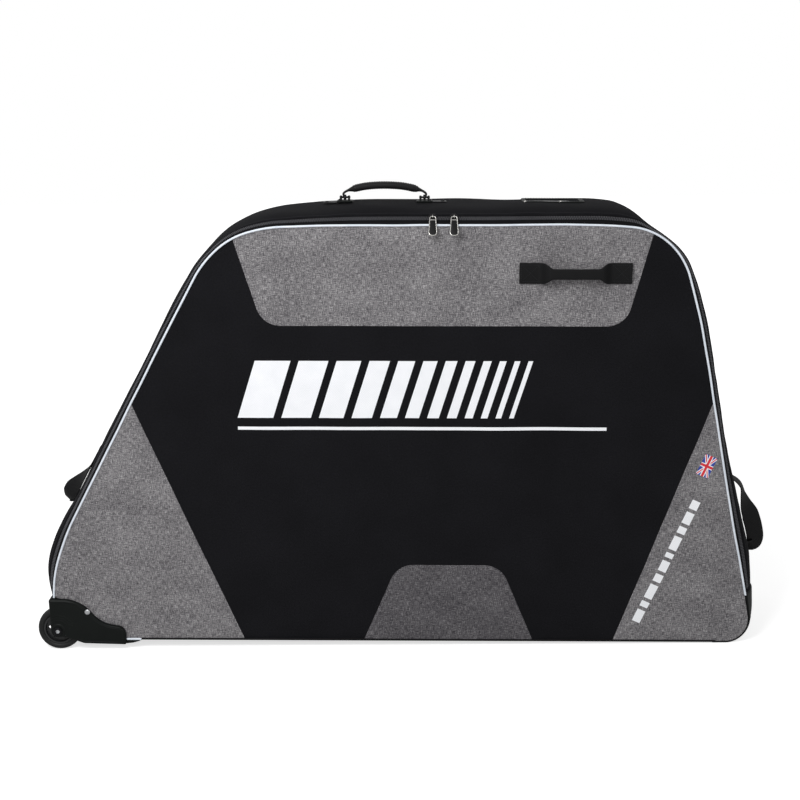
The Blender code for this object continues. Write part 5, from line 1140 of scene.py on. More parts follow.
# Relief of the wall: soft folds between two pairs of depths, and puckers that fade from each seam.
FOLD_RELIEF, FOLD_IN, FOLD_OUT = 1.1 * MM, mm(10, 60), mm(220, 270)
WALL_PUCKER, HEM_PUCKER_RUN, BACK_PUCKER_RUN = mm(0.5, 26, 22)
# Below the fold the cloth starts at the piping, and above it, over a run, behind the zip.
COIL_COVER, HEM_RUN, HEM_WANDER = mm(11.4, 34, 0.7)


def wall_relief(s, depth):
    """Creases of the padded side wall: long soft folds, with puckers that fade away from each seam."""
    field = eased(depth, *FOLD_IN) * (1 - eased(depth, *FOLD_OUT))
    near_hem = np.exp(-np.abs(depth - HEM_DEPTH) / HEM_PUCKER_RUN)
    near_back = np.exp(-(BODY_DEPTH - depth) / BACK_PUCKER_RUN)
    soft = FOLD_RELIEF * waves(s, depth, "wall_soft") * field
    return soft + WALL_PUCKER * waves(s, depth * 0.35, "wall_pucker") * (near_hem + near_back)


def wall_start(s):
    """Depth of the wall cloth's front edge: under the piping below the fold, behind the zip above it."""
    z = outline_at(s)[1]
    behind_coil = eased(z, FOLD_HEIGHT - 3.5 * MM, FOLD_HEIGHT - 0.5 * MM)
    behind_tape = eased(z, FOLD_HEIGHT, FOLD_HEIGHT + HEM_RUN)
    hem = HEM_DEPTH + HEM_WANDER * waves(s, 0.0 * s, "hem")
    return WALL_EDGE + COIL_COVER * behind_coil + (hem - WALL_EDGE - COIL_COVER) * behind_tape


def wall_rows(start, finish, step, marks=()):
    """Distances along the outline at a step, with finer ones round each mark."""
    rows = [np.arange(start, finish, step), [finish]]
    rows += [np.linspace(mark - 12 * MM, mark + 12 * MM, 25) for mark in marks]
    rows = np.unique(np.round(np.concatenate(rows), 5))
    return rows[(rows >= start - 1e-6) & (rows <= finish + 1e-6)]


def band(name, rows, start, end, cols, outer, inner, finish):
    """A closed strip along the outline between two depths, from laws for its outer and inner offsets."""
    starts, ends = (np.broadcast_to(depth, rows.shape)[:, None] for depth in (start, end))
    depth = starts + (ends - starts) * (1 - np.cos(np.linspace(0.0, math.pi, cols))) / 2
    s = np.broadcast_to(rows[:, None], depth.shape)
    sides = (wall_point(s, depth, law(s, depth)) for law in (outer, inner))
    uv = np.concatenate([columns(s, depth).reshape(-1, 2)] * 2)
    return piece(name, *shell_parts(*sides), finish, uv)


def sunk(depth):
    """A law for a face that lies a depth below the smooth wall."""
    return lambda s, at: wall_offset(s, at) - depth


ROW_STEP = 5 * MM
FOLD_LEFT, FOLD_RIGHT = (distance_at_height(FOLD_HEIGHT, side) for side in SIDES)
# The hem's raised lip above the zip, the dips at the wall's two edges, and the padding behind it.
LIP_HEIGHT, LIP_DEPTH = mm(0.9, 1.6)
FRONT_DIP, FRONT_DIP_RUN = mm(1.2, 0.9)
BACK_DIP, BACK_DIP_RUN = mm(1.6, 3)
CLOTH, PADDING, PADDING_RUN = mm(0.4, 6.5, 12)
HEM_SEAM = 4.2 * MM
BETWEEN_THICKNESS = 7 * MM
TAPE_HALF_GAP = 0.5 * MM
TAPE_TUCK = 6 * MM


def wall_outer(s, depth):
    """Outer offset of the side wall: the smooth wall, its creases, the hem's lip and a dip at each edge."""
    from_hem = depth - wall_start(s)
    above = eased(outline_at(s)[1], FOLD_HEIGHT + 10 * MM, FOLD_HEIGHT + 40 * MM)
    lip = LIP_HEIGHT * np.exp(-((from_hem - LIP_DEPTH) ** 2) / (2 * LIP_DEPTH**2)) * above
    edge = -FRONT_DIP * np.exp(-from_hem / FRONT_DIP_RUN)
    back = -BACK_DIP * np.exp(-(WALL_BACK - depth) / BACK_DIP_RUN)
    return wall_offset(s, depth) + wall_relief(s, depth) + lip + edge + back


def wall_inner(s, depth):
    """Inner offset of the side wall, which rounds off from its cloth to its full padding."""
    from_edge = np.minimum(depth - wall_start(s), WALL_BACK - depth)
    return wall_outer(s, depth) - CLOTH - rounded_lift(from_edge, PADDING, PADDING_RUN)


def make_side_wall():
    """Side wall cloth with the hem over the zip and its stitches, and the stretch between the wheels."""
    start = distance_at_height(HOUSING_TOP + 0.5 * MM, "left")
    rows = wall_rows(start, BASE_END, ROW_STEP, (FOLD_LEFT, FOLD_RIGHT))
    wall = band("side_wall", rows, wall_start(rows), WALL_BACK, 46, wall_outer, wall_inner, "polyester")
    on_body(wall, "bag", "gusset")
    ends = [distance_at_height(FOLD_HEIGHT + 30 * MM, side) for side in SIDES]
    seam = wall_rows(*ends, 4 * MM)
    depth = wall_start(seam) + HEM_SEAM
    path = wall_point(seam, depth, wall_outer(seam, depth) + 0.1 * MM)
    _, _, nx, nz = outline_at(seam)
    up = columns(nx, -0.4, nz)
    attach(stitches_on("hem_stitches", path, up, "thread"), "bag")

    def outer(s, depth):
        return wall_offset(s, depth) + 0.5 * wall_relief(s, depth)

    rows = wall_rows(OUTLINE[0, 0], distance_at_height(HOUSING_TOP - 0.5 * MM, "left"), ROW_STEP)
    edge = HOUSING_DEPTH_IN + 0.4 * MM
    between = band(
        "side_wall_between_wheels", rows, edge, BODY_DEPTH - edge, 24,
        outer, lambda s, depth: outer(s, depth) - BETWEEN_THICKNESS, "polyester",
    )
    on_body(between, "bag", "gusset_between_wheels")


def make_tapes():
    """The rim of the cover between piping and zip, and the bag's tape, which goes in under the hem."""
    rows = wall_rows(FOLD_LEFT + 2 * GAP, FOLD_RIGHT - 2 * GAP, ROW_STEP)

    def outer(s, depth):
        return wall_offset(s, depth) + 0.3 * MM * waves(s, depth, "tape")

    end = ZIP_DEPTH - TAPE_HALF_GAP
    rim = band("cover_zip_tape", rows, MM, end, 9, outer, sunk(1.4 * MM), "zip_tape")
    on_body(rim, "cover", "cover_rim")
    start, end = ZIP_DEPTH + TAPE_HALF_GAP, wall_start(rows) + TAPE_TUCK
    tape = band("bag_zip_tape", rows, start, end, 9, sunk(0.9 * MM), sunk(1.6 * MM), "zip_tape")
    on_body(tape, "bag")


TOOTH_PITCH, TOOTH_REACH, TOOTH_WIDTH, TOOTH_HEIGHT = mm(3.0, 3.9, 1.6, 1.7)
COIL_HALF = 1.75 * MM
# A tooth's section, as shares of its width and height, and its height along its reach, as shares of both.
TOOTH_SECTION_SHARES = np.array([[-0.5, 0.0], [-0.42, 0.75], [0.0, 1.0], [0.42, 0.75], [0.5, 0.0]])
TOOTH_REACH_SHARES = ((-0.5, 0.55), (-0.3, 0.95), (0.3, 1.0), (0.5, 0.6))


def make_zip():
    """Two rows of coil teeth that mesh at half a pitch, one on each tape."""
    wide, tall = TOOTH_SECTION_SHARES.T
    rings = [
        columns(wide * TOOTH_WIDTH, reach * TOOTH_REACH, tall * TOOTH_HEIGHT * high)
        for reach, high in TOOTH_REACH_SHARES
    ]
    template, faces = sweep_parts(rings)
    left, right = (distance_at_height(FOLD_HEIGHT + 5 * MM, side) for side in SIDES)
    for body, shift, depth in (
        ("cover", 0.0, ZIP_DEPTH - COIL_HALF),
        ("bag", TOOTH_PITCH / 2, ZIP_DEPTH + COIL_HALF),
    ):
        s = np.arange(left + shift, right, TOOTH_PITCH)
        here, ahead, behind = (
            wall_point(s, d, wall_offset(s, d)) for d in (depth, depth + MM, depth - MM)
        )
        _, _, nx, nz = outline_at(s)
        along = columns(nz, 0.0, -nx)
        normal = columns(nx, 0.0, nz)
        across = unit(ahead - behind)
        out = np.cross(across, along)
        out *= np.sign(np.sum(out * normal, axis=1))[:, None]
        axes = np.stack([along, across, out], axis=1)
        row = scattered("zip_coil_" + body, template, faces, here + 0.2 * MM * normal, axes, "zip_coil")
        on_body(row, body, "zip_row_" + body)


PIPING_RADIUS = 2 * MM
PIPING_WANDER = 0.25 * MM
PIPING_TOP = {"left": HOUSING_TOP + 2 * MM, "right": 93 * MM}
# The white piping shows past the housing's toe for a short way, and the rest of the base has a dark one.
BASE_WHITE_X = (HOUSING_TOE_X + MM, -497 * MM)
BASE_DARK_X = mm(-496.5, 606)
BASE_DARK_PLACE = (FRONT_Y + 0.4 * MM, 0.6 * MM)


def piping(name, path, finish):
    """Covered cord along a path, its cloth coordinates the distance along it and round it."""
    rings = carried(path, (0.0, 1.0, 0.0), round_section(PIPING_RADIUS, 12))
    round_it = TAU * PIPING_RADIUS * np.arange(12) / 12
    uv = columns(run_along(rings.mean(1))[:, None], round_it)
    return swept(name, rings, finish, uv)


def straight_along_x(ends, y, z, count):
    """Even points of a straight line along X."""
    return columns(np.linspace(*ends, count), y, z)


def make_piping():
    """White piping round the front, a short white start along its base, and dark piping for the rest."""
    start, end = (distance_at_height(height, side) for side, height in PIPING_TOP.items())
    s = np.arange(start, end, ROW_STEP)
    path = wall_point(s, 0.0 * s, PIPING_WANDER * waves(s, 0.0 * s, "piping_front"))
    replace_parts(over_fold(piping("piping_front", path, "piping")), "front_piping")
    white = straight_along_x(BASE_WHITE_X, FRONT_Y, 0.0, 8)
    on_body(piping("piping_base_start", white, "piping"), "bag")
    dark = straight_along_x(BASE_DARK_X, *BASE_DARK_PLACE, 220)
    on_body(piping("piping_base", dark, "dark_piping"), "bag", "front_base_piping")
    s = np.arange(start, BASE_END, ROW_STEP)
    path = wall_point(s, BODY_DEPTH, PIPING_WANDER * waves(s, 0.0 * s, "piping_rear"))
    x = np.arange(path[-1, 0] - ROW_STEP, HOUSING_TOE_X, -ROW_STEP)
    base = columns(x, REAR_Y, 0.0)
    on_body(piping("piping_rear", np.concatenate([path, base]), "dark_piping"), "bag", "rear_piping")


def merged(name, parts, finish, sharp=40.0):
    """One piece of several closed parts, each given as points and faces, with flat cloth coordinates."""
    parts = [(points, turned_out(points, as_quads(faces))) for points, faces in parts]
    return piece(name, *joined(parts), finish, None, sharp)


def fitted(name, parts, finish, body, *nodes):
    """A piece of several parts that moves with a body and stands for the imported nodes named, if any."""
    return on_body(merged(name, parts, finish), body, *nodes)


def rounded_edge(low, high, edge, steps=4):
    """Insets and heights of a plate's side: quarter rounds of a radius at its low and high edges."""
    angle = np.linspace(0.0, math.pi / 2, steps)
    inset = edge * (1 - np.sin(angle))
    drop = edge * (1 - np.cos(angle))
    rows = list(zip(inset, low + drop[0] + drop))
    return rows + list(zip(inset[::-1], high - drop[::-1]))


def slab(ring, side, origin, axes, closed=False):
    """Points and faces of a plate: its outline drawn in and raised along its side's insets and heights."""
    ring = np.asarray(ring, float)
    u, v, w = (np.asarray(axis, float) for axis in axes)
    rings = []
    for inset, height in side:
        flat = inward(ring, inset) if inset else ring
        rings.append(np.asarray(origin, float) + flat[:, :1] * u + flat[:, 1:] * v + height * w)
    return sweep_parts(rings, closed)


def plate(ring, low, high, edge, origin, axes):
    """Points and faces of a plate between two heights over its origin, its two edges rounded."""
    return slab(ring, rounded_edge(low, high, edge), origin, axes)


def round_rectangle(half_a, half_b, radius, step=0.6 * MM):
    """A rectangle's outline with round corners."""
    corners = ((-half_a, -half_b), (-half_a, half_b), (half_a, half_b), (half_a, -half_b))
    return flat_outline([(*corner, radius) for corner in corners], step)


def circle(radius, steps=40):
    """A circle's outline, clockwise."""
    angle = -TAU * np.arange(steps) / steps
    return columns(radius * np.cos(angle), radius * np.sin(angle))


def hoop(ring, section, origin, axes):
    """A closed rail round an outline: section holds its insets and heights, in order round it."""
    return slab(ring, section, origin, axes, closed=True)


def rail_section(width, height, low=0.0, count=12, power=3.0):
    """Insets and heights of a rounded rail that starts at an outline and goes inward."""
    return [(width / 2 + a, low + height / 2 + o) for a, o in flat_section(width, height, count, power)]


# Directions of a plate's outline and the way it is raised: lying level, standing across X, standing across Y.
X_AXIS, Y_AXIS, Z_AXIS = np.eye(3)
LEVEL = (X_AXIS, Y_AXIS, Z_AXIS)
ACROSS_X = (Y_AXIS, Z_AXIS, X_AXIS)
ACROSS_Y = (X_AXIS, Z_AXIS, Y_AXIS)
ORIGIN = (0.0, 0.0, 0.0)

# Where the sliders rest, how far they reach over each tape, how far they stand on the coil, and their parts.
SLIDER_X = {"left": 60 * MM, "right": 98.5 * MM}
SLIDER_REACH, SLIDER_LIFT = mm(4.2, 2.5)
SLIDER_LENGTH, SLIDER_WIDTH, SLIDER_WAIST_SHARE = 15 * MM, 11 * MM, 0.16
RIDGE_LENGTH, RIDGE_WIDTH, RIDGE_LOW, RIDGE_HIGH = mm(13, 3.2, 1.6, 2.9)
ARCH_PATH = np.array([(-3.2, 1.2), (-3.1, 4.6), (-1.6, 6.2), (1.6, 6.2), (3.1, 4.6), (3.2, 1.2)]) * MM
LINK_RADIUS, LINK_WIRE = mm(2.95, 0.72)
# A pull is 12 mm wide at its top and 17 at its foot. It lies against the piping's front.
PULL_LENGTH, PULL_RIM, PULL_EYE, PULL_TOP = mm(38, 1.9, 6.4, 1.2)
PULL_HALF, PULL_TAPER = mm(6, 2.6)
PULL_TOP_RADIUS, PULL_FOOT_RADIUS, PULL_INNER_RADIUS = mm(4.4, 7, 1.2)
PULL_REST_Y = FRONT_Y - 4.7 * MM


def zip_frame(x):
    """A slider's centre on the coil at a place in X, the way across the wall and the way out of it."""
    s = distance_at_top(x)
    rise = wall_offset(s, ZIP_DEPTH + SLIDER_REACH) - wall_offset(s, ZIP_DEPTH - SLIDER_REACH)
    across = unit(np.array([0.0, 2 * SLIDER_REACH, rise]))
    out = np.cross(X_AXIS, across)
    return wall_point(s, ZIP_DEPTH, wall_offset(s, ZIP_DEPTH) + SLIDER_LIFT) + out * 2 * GAP, across, out


def pull_ring(inset, top, foot):
    """A pull's outline between two heights, drawn in: round at its own top and foot, else nearly square."""
    half_top, half_foot = (PULL_HALF - z * PULL_TAPER / PULL_LENGTH - inset for z in (top, foot))
    low_radius = min(PULL_FOOT_RADIUS, half_foot * 0.86) if foot < -30 * MM else PULL_INNER_RADIUS
    high_radius = PULL_TOP_RADIUS - inset if top > 0 else PULL_INNER_RADIUS
    corners = (
        (-half_foot, foot, low_radius),
        (-half_top, top, high_radius),
        (half_top, top, high_radius),
        (half_foot, foot, low_radius),
    )
    return flat_outline(corners, 0.5 * MM)


def make_slider(side):
    """A slider: a waisted body with a ridge and an arch, and the link ring that holds its pull."""
    centre, across, out = zip_frame(SLIDER_X[side])
    axes = (X_AXIS, across, out)
    angle = -TAU * np.arange(48) / 48
    waist = 1 - SLIDER_WAIST_SHARE * np.exp(-((np.abs(np.cos(angle)) / 0.35) ** 2))
    plan = flat_section(SLIDER_LENGTH, SLIDER_WIDTH, 48, 3.2)[::-1] * waist[:, None]
    body = plate(plan, 0.0, 2 * MM, 0.8 * MM, centre, axes)
    ridge_plan = flat_section(RIDGE_LENGTH, RIDGE_WIDTH, 32, 2.6)[::-1]
    ridge = plate(ridge_plan, RIDGE_LOW, RIDGE_HIGH, 0.6 * MM, centre, axes)
    arch_path = smooth_path(centre + ARCH_PATH @ np.stack([X_AXIS, out]), 26)
    arch = sweep_parts(carried(arch_path, across, flat_section(3.8 * MM, 1.5 * MM, 14, 3.0)))
    parts = [body, ridge, arch]
    fitted(f"slider_{side}_body", parts, "blackened", "slider_" + side, "zip_slider_" + side)
    hinge = to_bag(JOINTS[f"zip_pull_{side}_swing"]["pos_m"])
    turn = TAU * np.arange(28) / 28
    spokes = columns(0.0, np.cos(turn), np.sin(turn))
    wire = round_section(LINK_WIRE, 10)
    ring = hinge + spokes[:, None] * (LINK_RADIUS + wire[None, :, :1]) + X_AXIS * wire[None, :, 1:]
    fitted(f"slider_{side}_link", [sweep_parts(ring, closed=True)], "nickel", "slider_" + side)
    make_pull(side, hinge)


def make_pull(side, hinge):
    """A zip pull that leans on the piping: a rounded frame with a bar under its eye, and a dark insert."""
    lean = math.atan2(hinge[1] - PULL_REST_Y, hinge[2] - BODY_HEIGHT)
    up = np.array([0.0, math.sin(lean), math.cos(lean)])
    axes = (X_AXIS, up, np.array([0.0, -math.cos(lean), math.sin(lean)]))
    section = rail_section(PULL_RIM, 2.4 * MM, -1.2 * MM)
    rim = hoop(pull_ring(0.0, PULL_TOP, -PULL_LENGTH), section, hinge, axes)
    bar_ring = pull_ring(0.6 * MM, -PULL_EYE + 0.9 * MM, -PULL_EYE - 0.9 * MM)
    bar = plate(bar_ring, -1.1 * MM, 1.1 * MM, 0.4 * MM, hinge, axes)
    body = "pull_" + side
    fitted(body + "_frame", [rim, bar], "nickel", body, "zip_pull_" + side)
    ring = pull_ring(0.8 * MM, -PULL_EYE - 0.4 * MM, 0.8 * MM - PULL_LENGTH)
    insert = plate(ring, -0.9 * MM, 0.75 * MM, 0.5 * MM, hinge, axes)
    fitted(body + "_insert", [insert], "insert", body)


HANDLE_X = -29 * MM
HANDLE_HALF = 75 * MM
# Top of the smooth wall at mid-depth, where the crown is highest.
DECK = BODY_HEIGHT + 29 * MM * (1 - math.exp(-BODY_DEPTH / 2 / CROWN_RISE)) ** 2
# The grip's path from an eye towards its middle, as x from the middle and height over the pins. Its width
# grows from its neck's by each of two widths, and its thickness from thin to thick.
GRIP_SIDE = np.array([(75, 0.0), (78, 6.2), (72.5, 11.2), (62, 15), (34, 20.9)]) * MM
GRIP_CREST = 22.8 * MM
GRIP_NECK, GRIP_WIDTHS = 9.7 * MM, mm(4.3, 12)
SWELL_SHARES, NECK_SHARES = (0.085, 0.20), (0.03, 0.10)
GRIP_THIN, GRIP_THICK = mm(4.2, 8.6)
GRIP_POINTS = 121
EYE_RADIUS, EYE_WIDTH = mm(5, 5)
DOT_RADIUS, DOT_HEIGHT = mm(1.25, 0.55)
# Feet: plate, lugs and pin, then the steel plate beside each foot with its rivets.
FOOT_HALF_X, FOOT_HALF_Y = mm(15, 17)
LUG_FOOT, LUG_CREST, LUG_WIDTH = mm(5, 3.7, 4)
LUG_STARTS = mm(-9.6, 5.6)
PIN_RADIUS, PIN_HALF = mm(2, 10.2)
STEEL_X, STEEL_HALF_X, STEEL_HALF_Y, STEEL_THICKNESS = mm(28.3, 13, 11, 1.2)
STEEL_SUNK = {"left": 1.8 * MM, "right": 0.0}
RIVET_RADIUS = 3.4 * MM
RIVET_SIDE = np.array([(0.0, 0.0), (0.0, 0.5), (0.5, 1.2), (1.4, 1.7), (2.6, 1.9)]) * MM


def shares_at(share, start, finish):
    """0 at both ends of a path and 1 along its middle, eased between two shares from either end."""
    return eased(0.5 - np.abs(share - 0.5), start, finish)


def bumps_on(rings, rows, cols, radius, height, sides=7):
    """Points and faces of low domes standing on a swept surface at some of its grid points."""
    along = np.gradient(rings, axis=0)
    round_it = np.roll(rings, -1, axis=1) - np.roll(rings, 1, axis=1)
    out = unit(np.cross(round_it, along))
    out *= np.sign(np.sum(out * (rings - rings.mean(1, keepdims=True)), axis=2))[:, :, None]
    along = unit(along)
    i, j = (v.ravel() for v in np.meshgrid(rows, cols, indexing="ij"))
    w, u = out[i, j], along[i, j]
    v = np.cross(w, u)
    angle = TAU * np.arange(sides) / sides
    dome = [
        columns(r * np.cos(angle), r * np.sin(angle), h)
        for r, h in ((radius, -0.3 * MM), (radius * 0.92, height * 0.45), (radius * 0.55, height))
    ]
    return copies(*sweep_parts(dome), rings[i, j], np.stack([u, v, w], axis=1))


def make_top_handle():
    """Moulded handle: thin ends that bow out of their eyes, a wide grip with dots, on two feet."""
    pin_z = to_bag(JOINTS["top_handle_swing"]["pos_m"])[2]
    side = [tuple(point) for point in GRIP_SIDE]
    points = [(-x, z) for x, z in side] + [(0.0, GRIP_CREST)] + side[::-1]
    path = smooth_path([(HANDLE_X + x, 0.0, pin_z + z) for x, z in points], GRIP_POINTS)
    share = np.linspace(0.0, 1.0, len(path))[:, None]
    swell = shares_at(share, *SWELL_SHARES)
    neck = shares_at(share, *NECK_SHARES)
    width = GRIP_NECK + GRIP_WIDTHS[0] * neck + GRIP_WIDTHS[1] * swell
    a, o = squared_circle(40, 0.62, 0.72)
    sections = columns(a * width / 2, o * (GRIP_THIN + GRIP_THICK * swell) / 2)
    rings = carried(path, Y_AXIS, sections)
    eyes = [
        plate(circle(EYE_RADIUS), 0.0, EYE_WIDTH, 0.8 * MM, (x - EYE_WIDTH / 2, 0.0, pin_z), ACROSS_X)
        for x in (HANDLE_X - HANDLE_HALF, HANDLE_X + HANDLE_HALF)
    ]
    fitted("handle_grip", [sweep_parts(rings), *eyes], "grip", "top_handle", "top_handle_grip")
    rows = np.arange(20, 102, 3)
    dots = [
        bumps_on(rings, rows + shift, np.arange(2 * shift, 40, 4), DOT_RADIUS, DOT_HEIGHT) for shift in (0, 1)
    ]
    on_body(merged("handle_dots", dots, "grip", 70.0), "top_handle")
    for sign, name in ((-1.0, "left"), (1.0, "right")):
        make_handle_foot(name, sign, HANDLE_X + sign * HANDLE_HALF, pin_z)


def make_handle_foot(side, sign, x, pin_z):
    """A foot of the top handle: a plate with two lugs, the pin through them, and the riveted steel plate."""
    low = DECK + GAP
    foot = [plate(round_rectangle(FOOT_HALF_X, FOOT_HALF_Y, 5 * MM), -MM, 2.5 * MM, MM, (x, 0.0, low), LEVEL)]
    ends = ((LUG_FOOT, MM, 0.0), (LUG_CREST, pin_z + 3.3 * MM - low, 3.5 * MM))
    lug = flat_outline([(-half, *rest) for half, *rest in ends] + [*ends[::-1]], 0.6 * MM)
    for start in LUG_STARTS:
        foot.append(plate(lug, 0.0, LUG_WIDTH, 0.7 * MM, (x + start, 0.0, low), ACROSS_X))
    fitted("handle_foot_" + side, foot, "polypropylene", "bag", "top_handle_foot_" + side)
    place = (x - PIN_HALF, 0.0, pin_z)
    pin = plate(circle(PIN_RADIUS, 24), 0.0, 2 * PIN_HALF, 0.6 * MM, place, ACROSS_X)
    fitted("handle_pin_" + side, [pin], "blackened", "bag", "top_handle_pin_" + side)
    drop = STEEL_SUNK[side]
    ring = round_rectangle(STEEL_HALF_X, STEEL_HALF_Y, 3 * MM)
    place = (x + sign * STEEL_X, 0.0, low - drop)
    parts = [plate(ring, 0.0, STEEL_THICKNESS, 0.4 * MM, place, LEVEL)]
    for shift, y, rise in (
        (34 * MM, 0.0, 1.1 * MM - drop),
        mm(9.4, -11.8, 2.4),
        mm(9.4, 11.8, 2.4),
    ):
        place = (x + sign * shift, y, low + rise)
        parts.append(slab(circle(RIVET_RADIUS, 24), RIVET_SIDE, place, LEVEL))
    fitted("handle_plate_" + side, parts, "blackened", "bag", "top_handle_plate_" + side)


LABEL_X = 287 * MM
LABEL_HALF_X, LABEL_HALF_Y, LABEL_RADIUS = mm(58, 36, 8)
LABEL_RAIL, LABEL_HEIGHT = mm(8, 3.6)
PANE_HALF_X, PANE_HALF_Y = mm(50.2, 28.2)
CARD_TOP, PANE_TOP = mm(0.35, 1.3)
STUD_RADIUS, STUD_Y, STUD_XS = 2.7 * MM, -32 * MM, mm(233, 299)
STUD_SIDE = np.array([(0.0, 3.2), (0.0, 3.8), (0.5, 4.5), (1.3, 5.0), (2.2, 5.2)]) * MM


def make_label_holder():
    """Address-card holder: a rounded frame sewn on the top, with a card under a clear window."""
    place = (LABEL_X, 0.0, DECK + GAP)
    ring = even_ring(round_rectangle(LABEL_HALF_X, LABEL_HALF_Y, LABEL_RADIUS), 4 * MM)
    rail = hoop(ring, rail_section(LABEL_RAIL, LABEL_HEIGHT, 0.0, 16, 3.4), place, LEVEL)
    fitted("label_rim", [rail], "polypropylene", "bag", "label_frame")
    inner = round_rectangle(PANE_HALF_X, PANE_HALF_Y, 2 * MM)
    pane = plate(inner, CARD_TOP, PANE_TOP, 0.3 * MM, place, LEVEL)
    fitted("label_pane", [pane], "window", "bag", "label_window")
    card = plate(inner, 0.0, CARD_TOP, 0.1 * MM, place, LEVEL)
    fitted("label_card", [card], "card", "bag")
    studs = [slab(circle(STUD_RADIUS, 24), STUD_SIDE, (x, STUD_Y, place[2]), LEVEL) for x in STUD_XS]
    fitted("label_studs", studs, "nickel", "bag")
    seam = inward(ring, LABEL_RAIL / 2)
    seam = np.concatenate([seam, seam[:1]])
    path = columns(LABEL_X + seam[:, 0], seam[:, 1], place[2] + LABEL_HEIGHT)
    on_body(stitches_on("label_stitches", path, Z_AXIS, "thread"), "bag")


BOX_PITCH = 3.6 * MM
BOX_STITCH = 2.7 * MM


def sew_box(name, body, centre, axes, half_a, half_b):
    """Box and cross of stitches on a sewn strap end, in its own two directions and its way out."""
    u, v, w = (np.asarray(axis, float) for axis in axes)
    box = np.array([(-1, -1), (-1, 1), (1, 1), (1, -1), (-1, -1)]) * [half_a, half_b]
    for k, run in enumerate((box, box[[0, 2]], box[[1, 3]])):
        path = np.asarray(centre, float) + run[:, :1] * u + run[:, 1:] * v
        on_body(stitches_on(f"{name}_{k}", path, w, "thread", BOX_PITCH, BOX_STITCH), body)


GRAB_X = 319 * MM
GRAB_Z = 711 * MM
GRAB_AXIS_Y = FRONT_Y - 4.55 * MM
GRAB_FREE = 62.5 * MM
# The strap's path from its sewn end to the handle's middle, as x and mm in front of its turning line.
GRAB_SEWN = ((102 * MM, -0.4), (82.5 * MM, -0.4))
GRAB_RISE_SHARES = ((1.04, 0.4), (0.86, 9.1), (0.76, 12.6), (0.7, 13.0), (0.35, 14.1))
GRAB_MIDDLE = (-0.2 * MM, 14.5)
GRAB_WIDTH, GRAB_FOLDED = mm(38, 19)
GRAB_THICKNESS, GRAB_PLUMP = mm(2.7, 3.4)
CREASE_DEPTH, CREASE_WIDTH = mm(0.9, 1.3)
GRAB_BOX = mm(16, 15)
# Shares of the free half passed to blended with each half of the strap.
GRAB_BLEND_SHARES = (0.86, 0.62)
GRAB_NODES = {"left": ("grab_handle_end_left", "grab_handle_grip"), "right": ("grab_handle_end_right",)}


def make_grab_handle():
    """Webbing handle: flat sewn ends whose strap rises and folds into a rounded grip, in two halves."""
    shape = [*GRAB_SEWN, *((GRAB_FREE * share, y) for share, y in GRAB_RISE_SHARES), GRAB_MIDDLE]
    for sign, side in ((-1.0, "left"), (1.0, "right")):
        path = smooth_path([(GRAB_X + sign * x, GRAB_AXIS_Y - y * MM, GRAB_Z) for x, y in shape], 90)
        if sign > 0:
            path = path[::-1]
        fold = eased(1 - np.abs(path[:, :1] - GRAB_X) / GRAB_FREE, 0.05, 0.36)
        a, o = squared_circle(44, 0.42, 0.5)
        a = a * (GRAB_WIDTH - GRAB_FOLDED * fold) / 2
        crease = CREASE_DEPTH * np.exp(-((a / CREASE_WIDTH) ** 2)) * fold * (o < 0)
        sections = columns(a, o * (GRAB_THICKNESS + GRAB_PLUMP * fold) / 2 + crease)
        rings = carried(path, Z_AXIS, sections)
        half = swept("grab_strap_" + side, rings, "webbing", strap_uv(path, sections))
        ends = [(GRAB_X + sign * GRAB_FREE * share, GRAB_AXIS_Y, GRAB_Z) for share in GRAB_BLEND_SHARES]
        blended(half, "cover", "grab_handle", *ends)
        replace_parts(half, *GRAB_NODES[side])
        place = (GRAB_X + sign * GRAB_SEWN[1][0], GRAB_AXIS_Y - MM, GRAB_Z)
        sew_box("grab_box_" + side, "cover", place, (X_AXIS, Z_AXIS, -Y_AXIS), *GRAB_BOX)


# Each loop: the heights of its two feet, its strap from the low foot to the high one as share of the way
# between them, mm out and degrees of turn, its bight, and where its two halves let go of the bag.
LOOPS = {
    "left": (
        mm(226, 328),
        (
            (0.16, 1.6, 0), (0.03, 3.0, 0), (-0.03, 8.0, 18), (0.01, 14.0, 38), (0.08, 16.8, 50),
            (0.17, 16.3, 50), (0.28, 13.0, 36), (0.42, 8.5, 20), (0.58, 4.5, 7), (0.76, 2.2, 0),
            (1.0, 1.2, 0), (1.1, 1.2, 0),
        ),
        (0.17, 16.3),
        {"low": ((-0.02, 3), (0.0, 13)), "high": ((0.6, 3), (0.25, 13))},
    ),
    "right": (
        mm(158, 292),
        (
            (0.16, 1.6, 0), (0.03, 4.0, 0), (-0.07, 12.0, -20), (-0.14, 25.0, -45), (-0.14, 35.0, -58),
            (-0.05, 40.0, -62), (0.12, 40.5, -62), (0.30, 38.0, -60), (0.45, 33.0, -42), (0.60, 30.5, -23),
            (0.78, 29.0, -10), (0.93, 13.0, 0), (1.0, 1.2, 0), (1.1, 1.2, 0),
        ),
        (0.12, 40.5),
        {"low": ((0.0, 5), (-0.03, 28)), "high": ((0.97, 4), (0.72, 28))},
    ),
}
LOOP_POINTS = 121
LOOP_WIDTH, LOOP_THICKNESS = mm(42, 3.2)
MID_DEPTH = BODY_DEPTH / 2
LOOP_LIFT = 2.1 * MM
PATCH_HALF, PATCH_PAST = mm(22, 16)
PATCH_THICKNESS, PATCH_HEM = mm(2, 2.4)
LOOP_BOX_PAST, LOOP_BOX_LIFT, LOOP_BOX = 7 * MM, 2.45 * MM, mm(16, 5)


def on_middle(z, side, lift):
    """The place on an end of the bag at a height, half way back and raised off the wall."""
    s = distance_at_height(z, side)
    return wall_point(s, MID_DEPTH, wall_offset(s, MID_DEPTH) + lift)


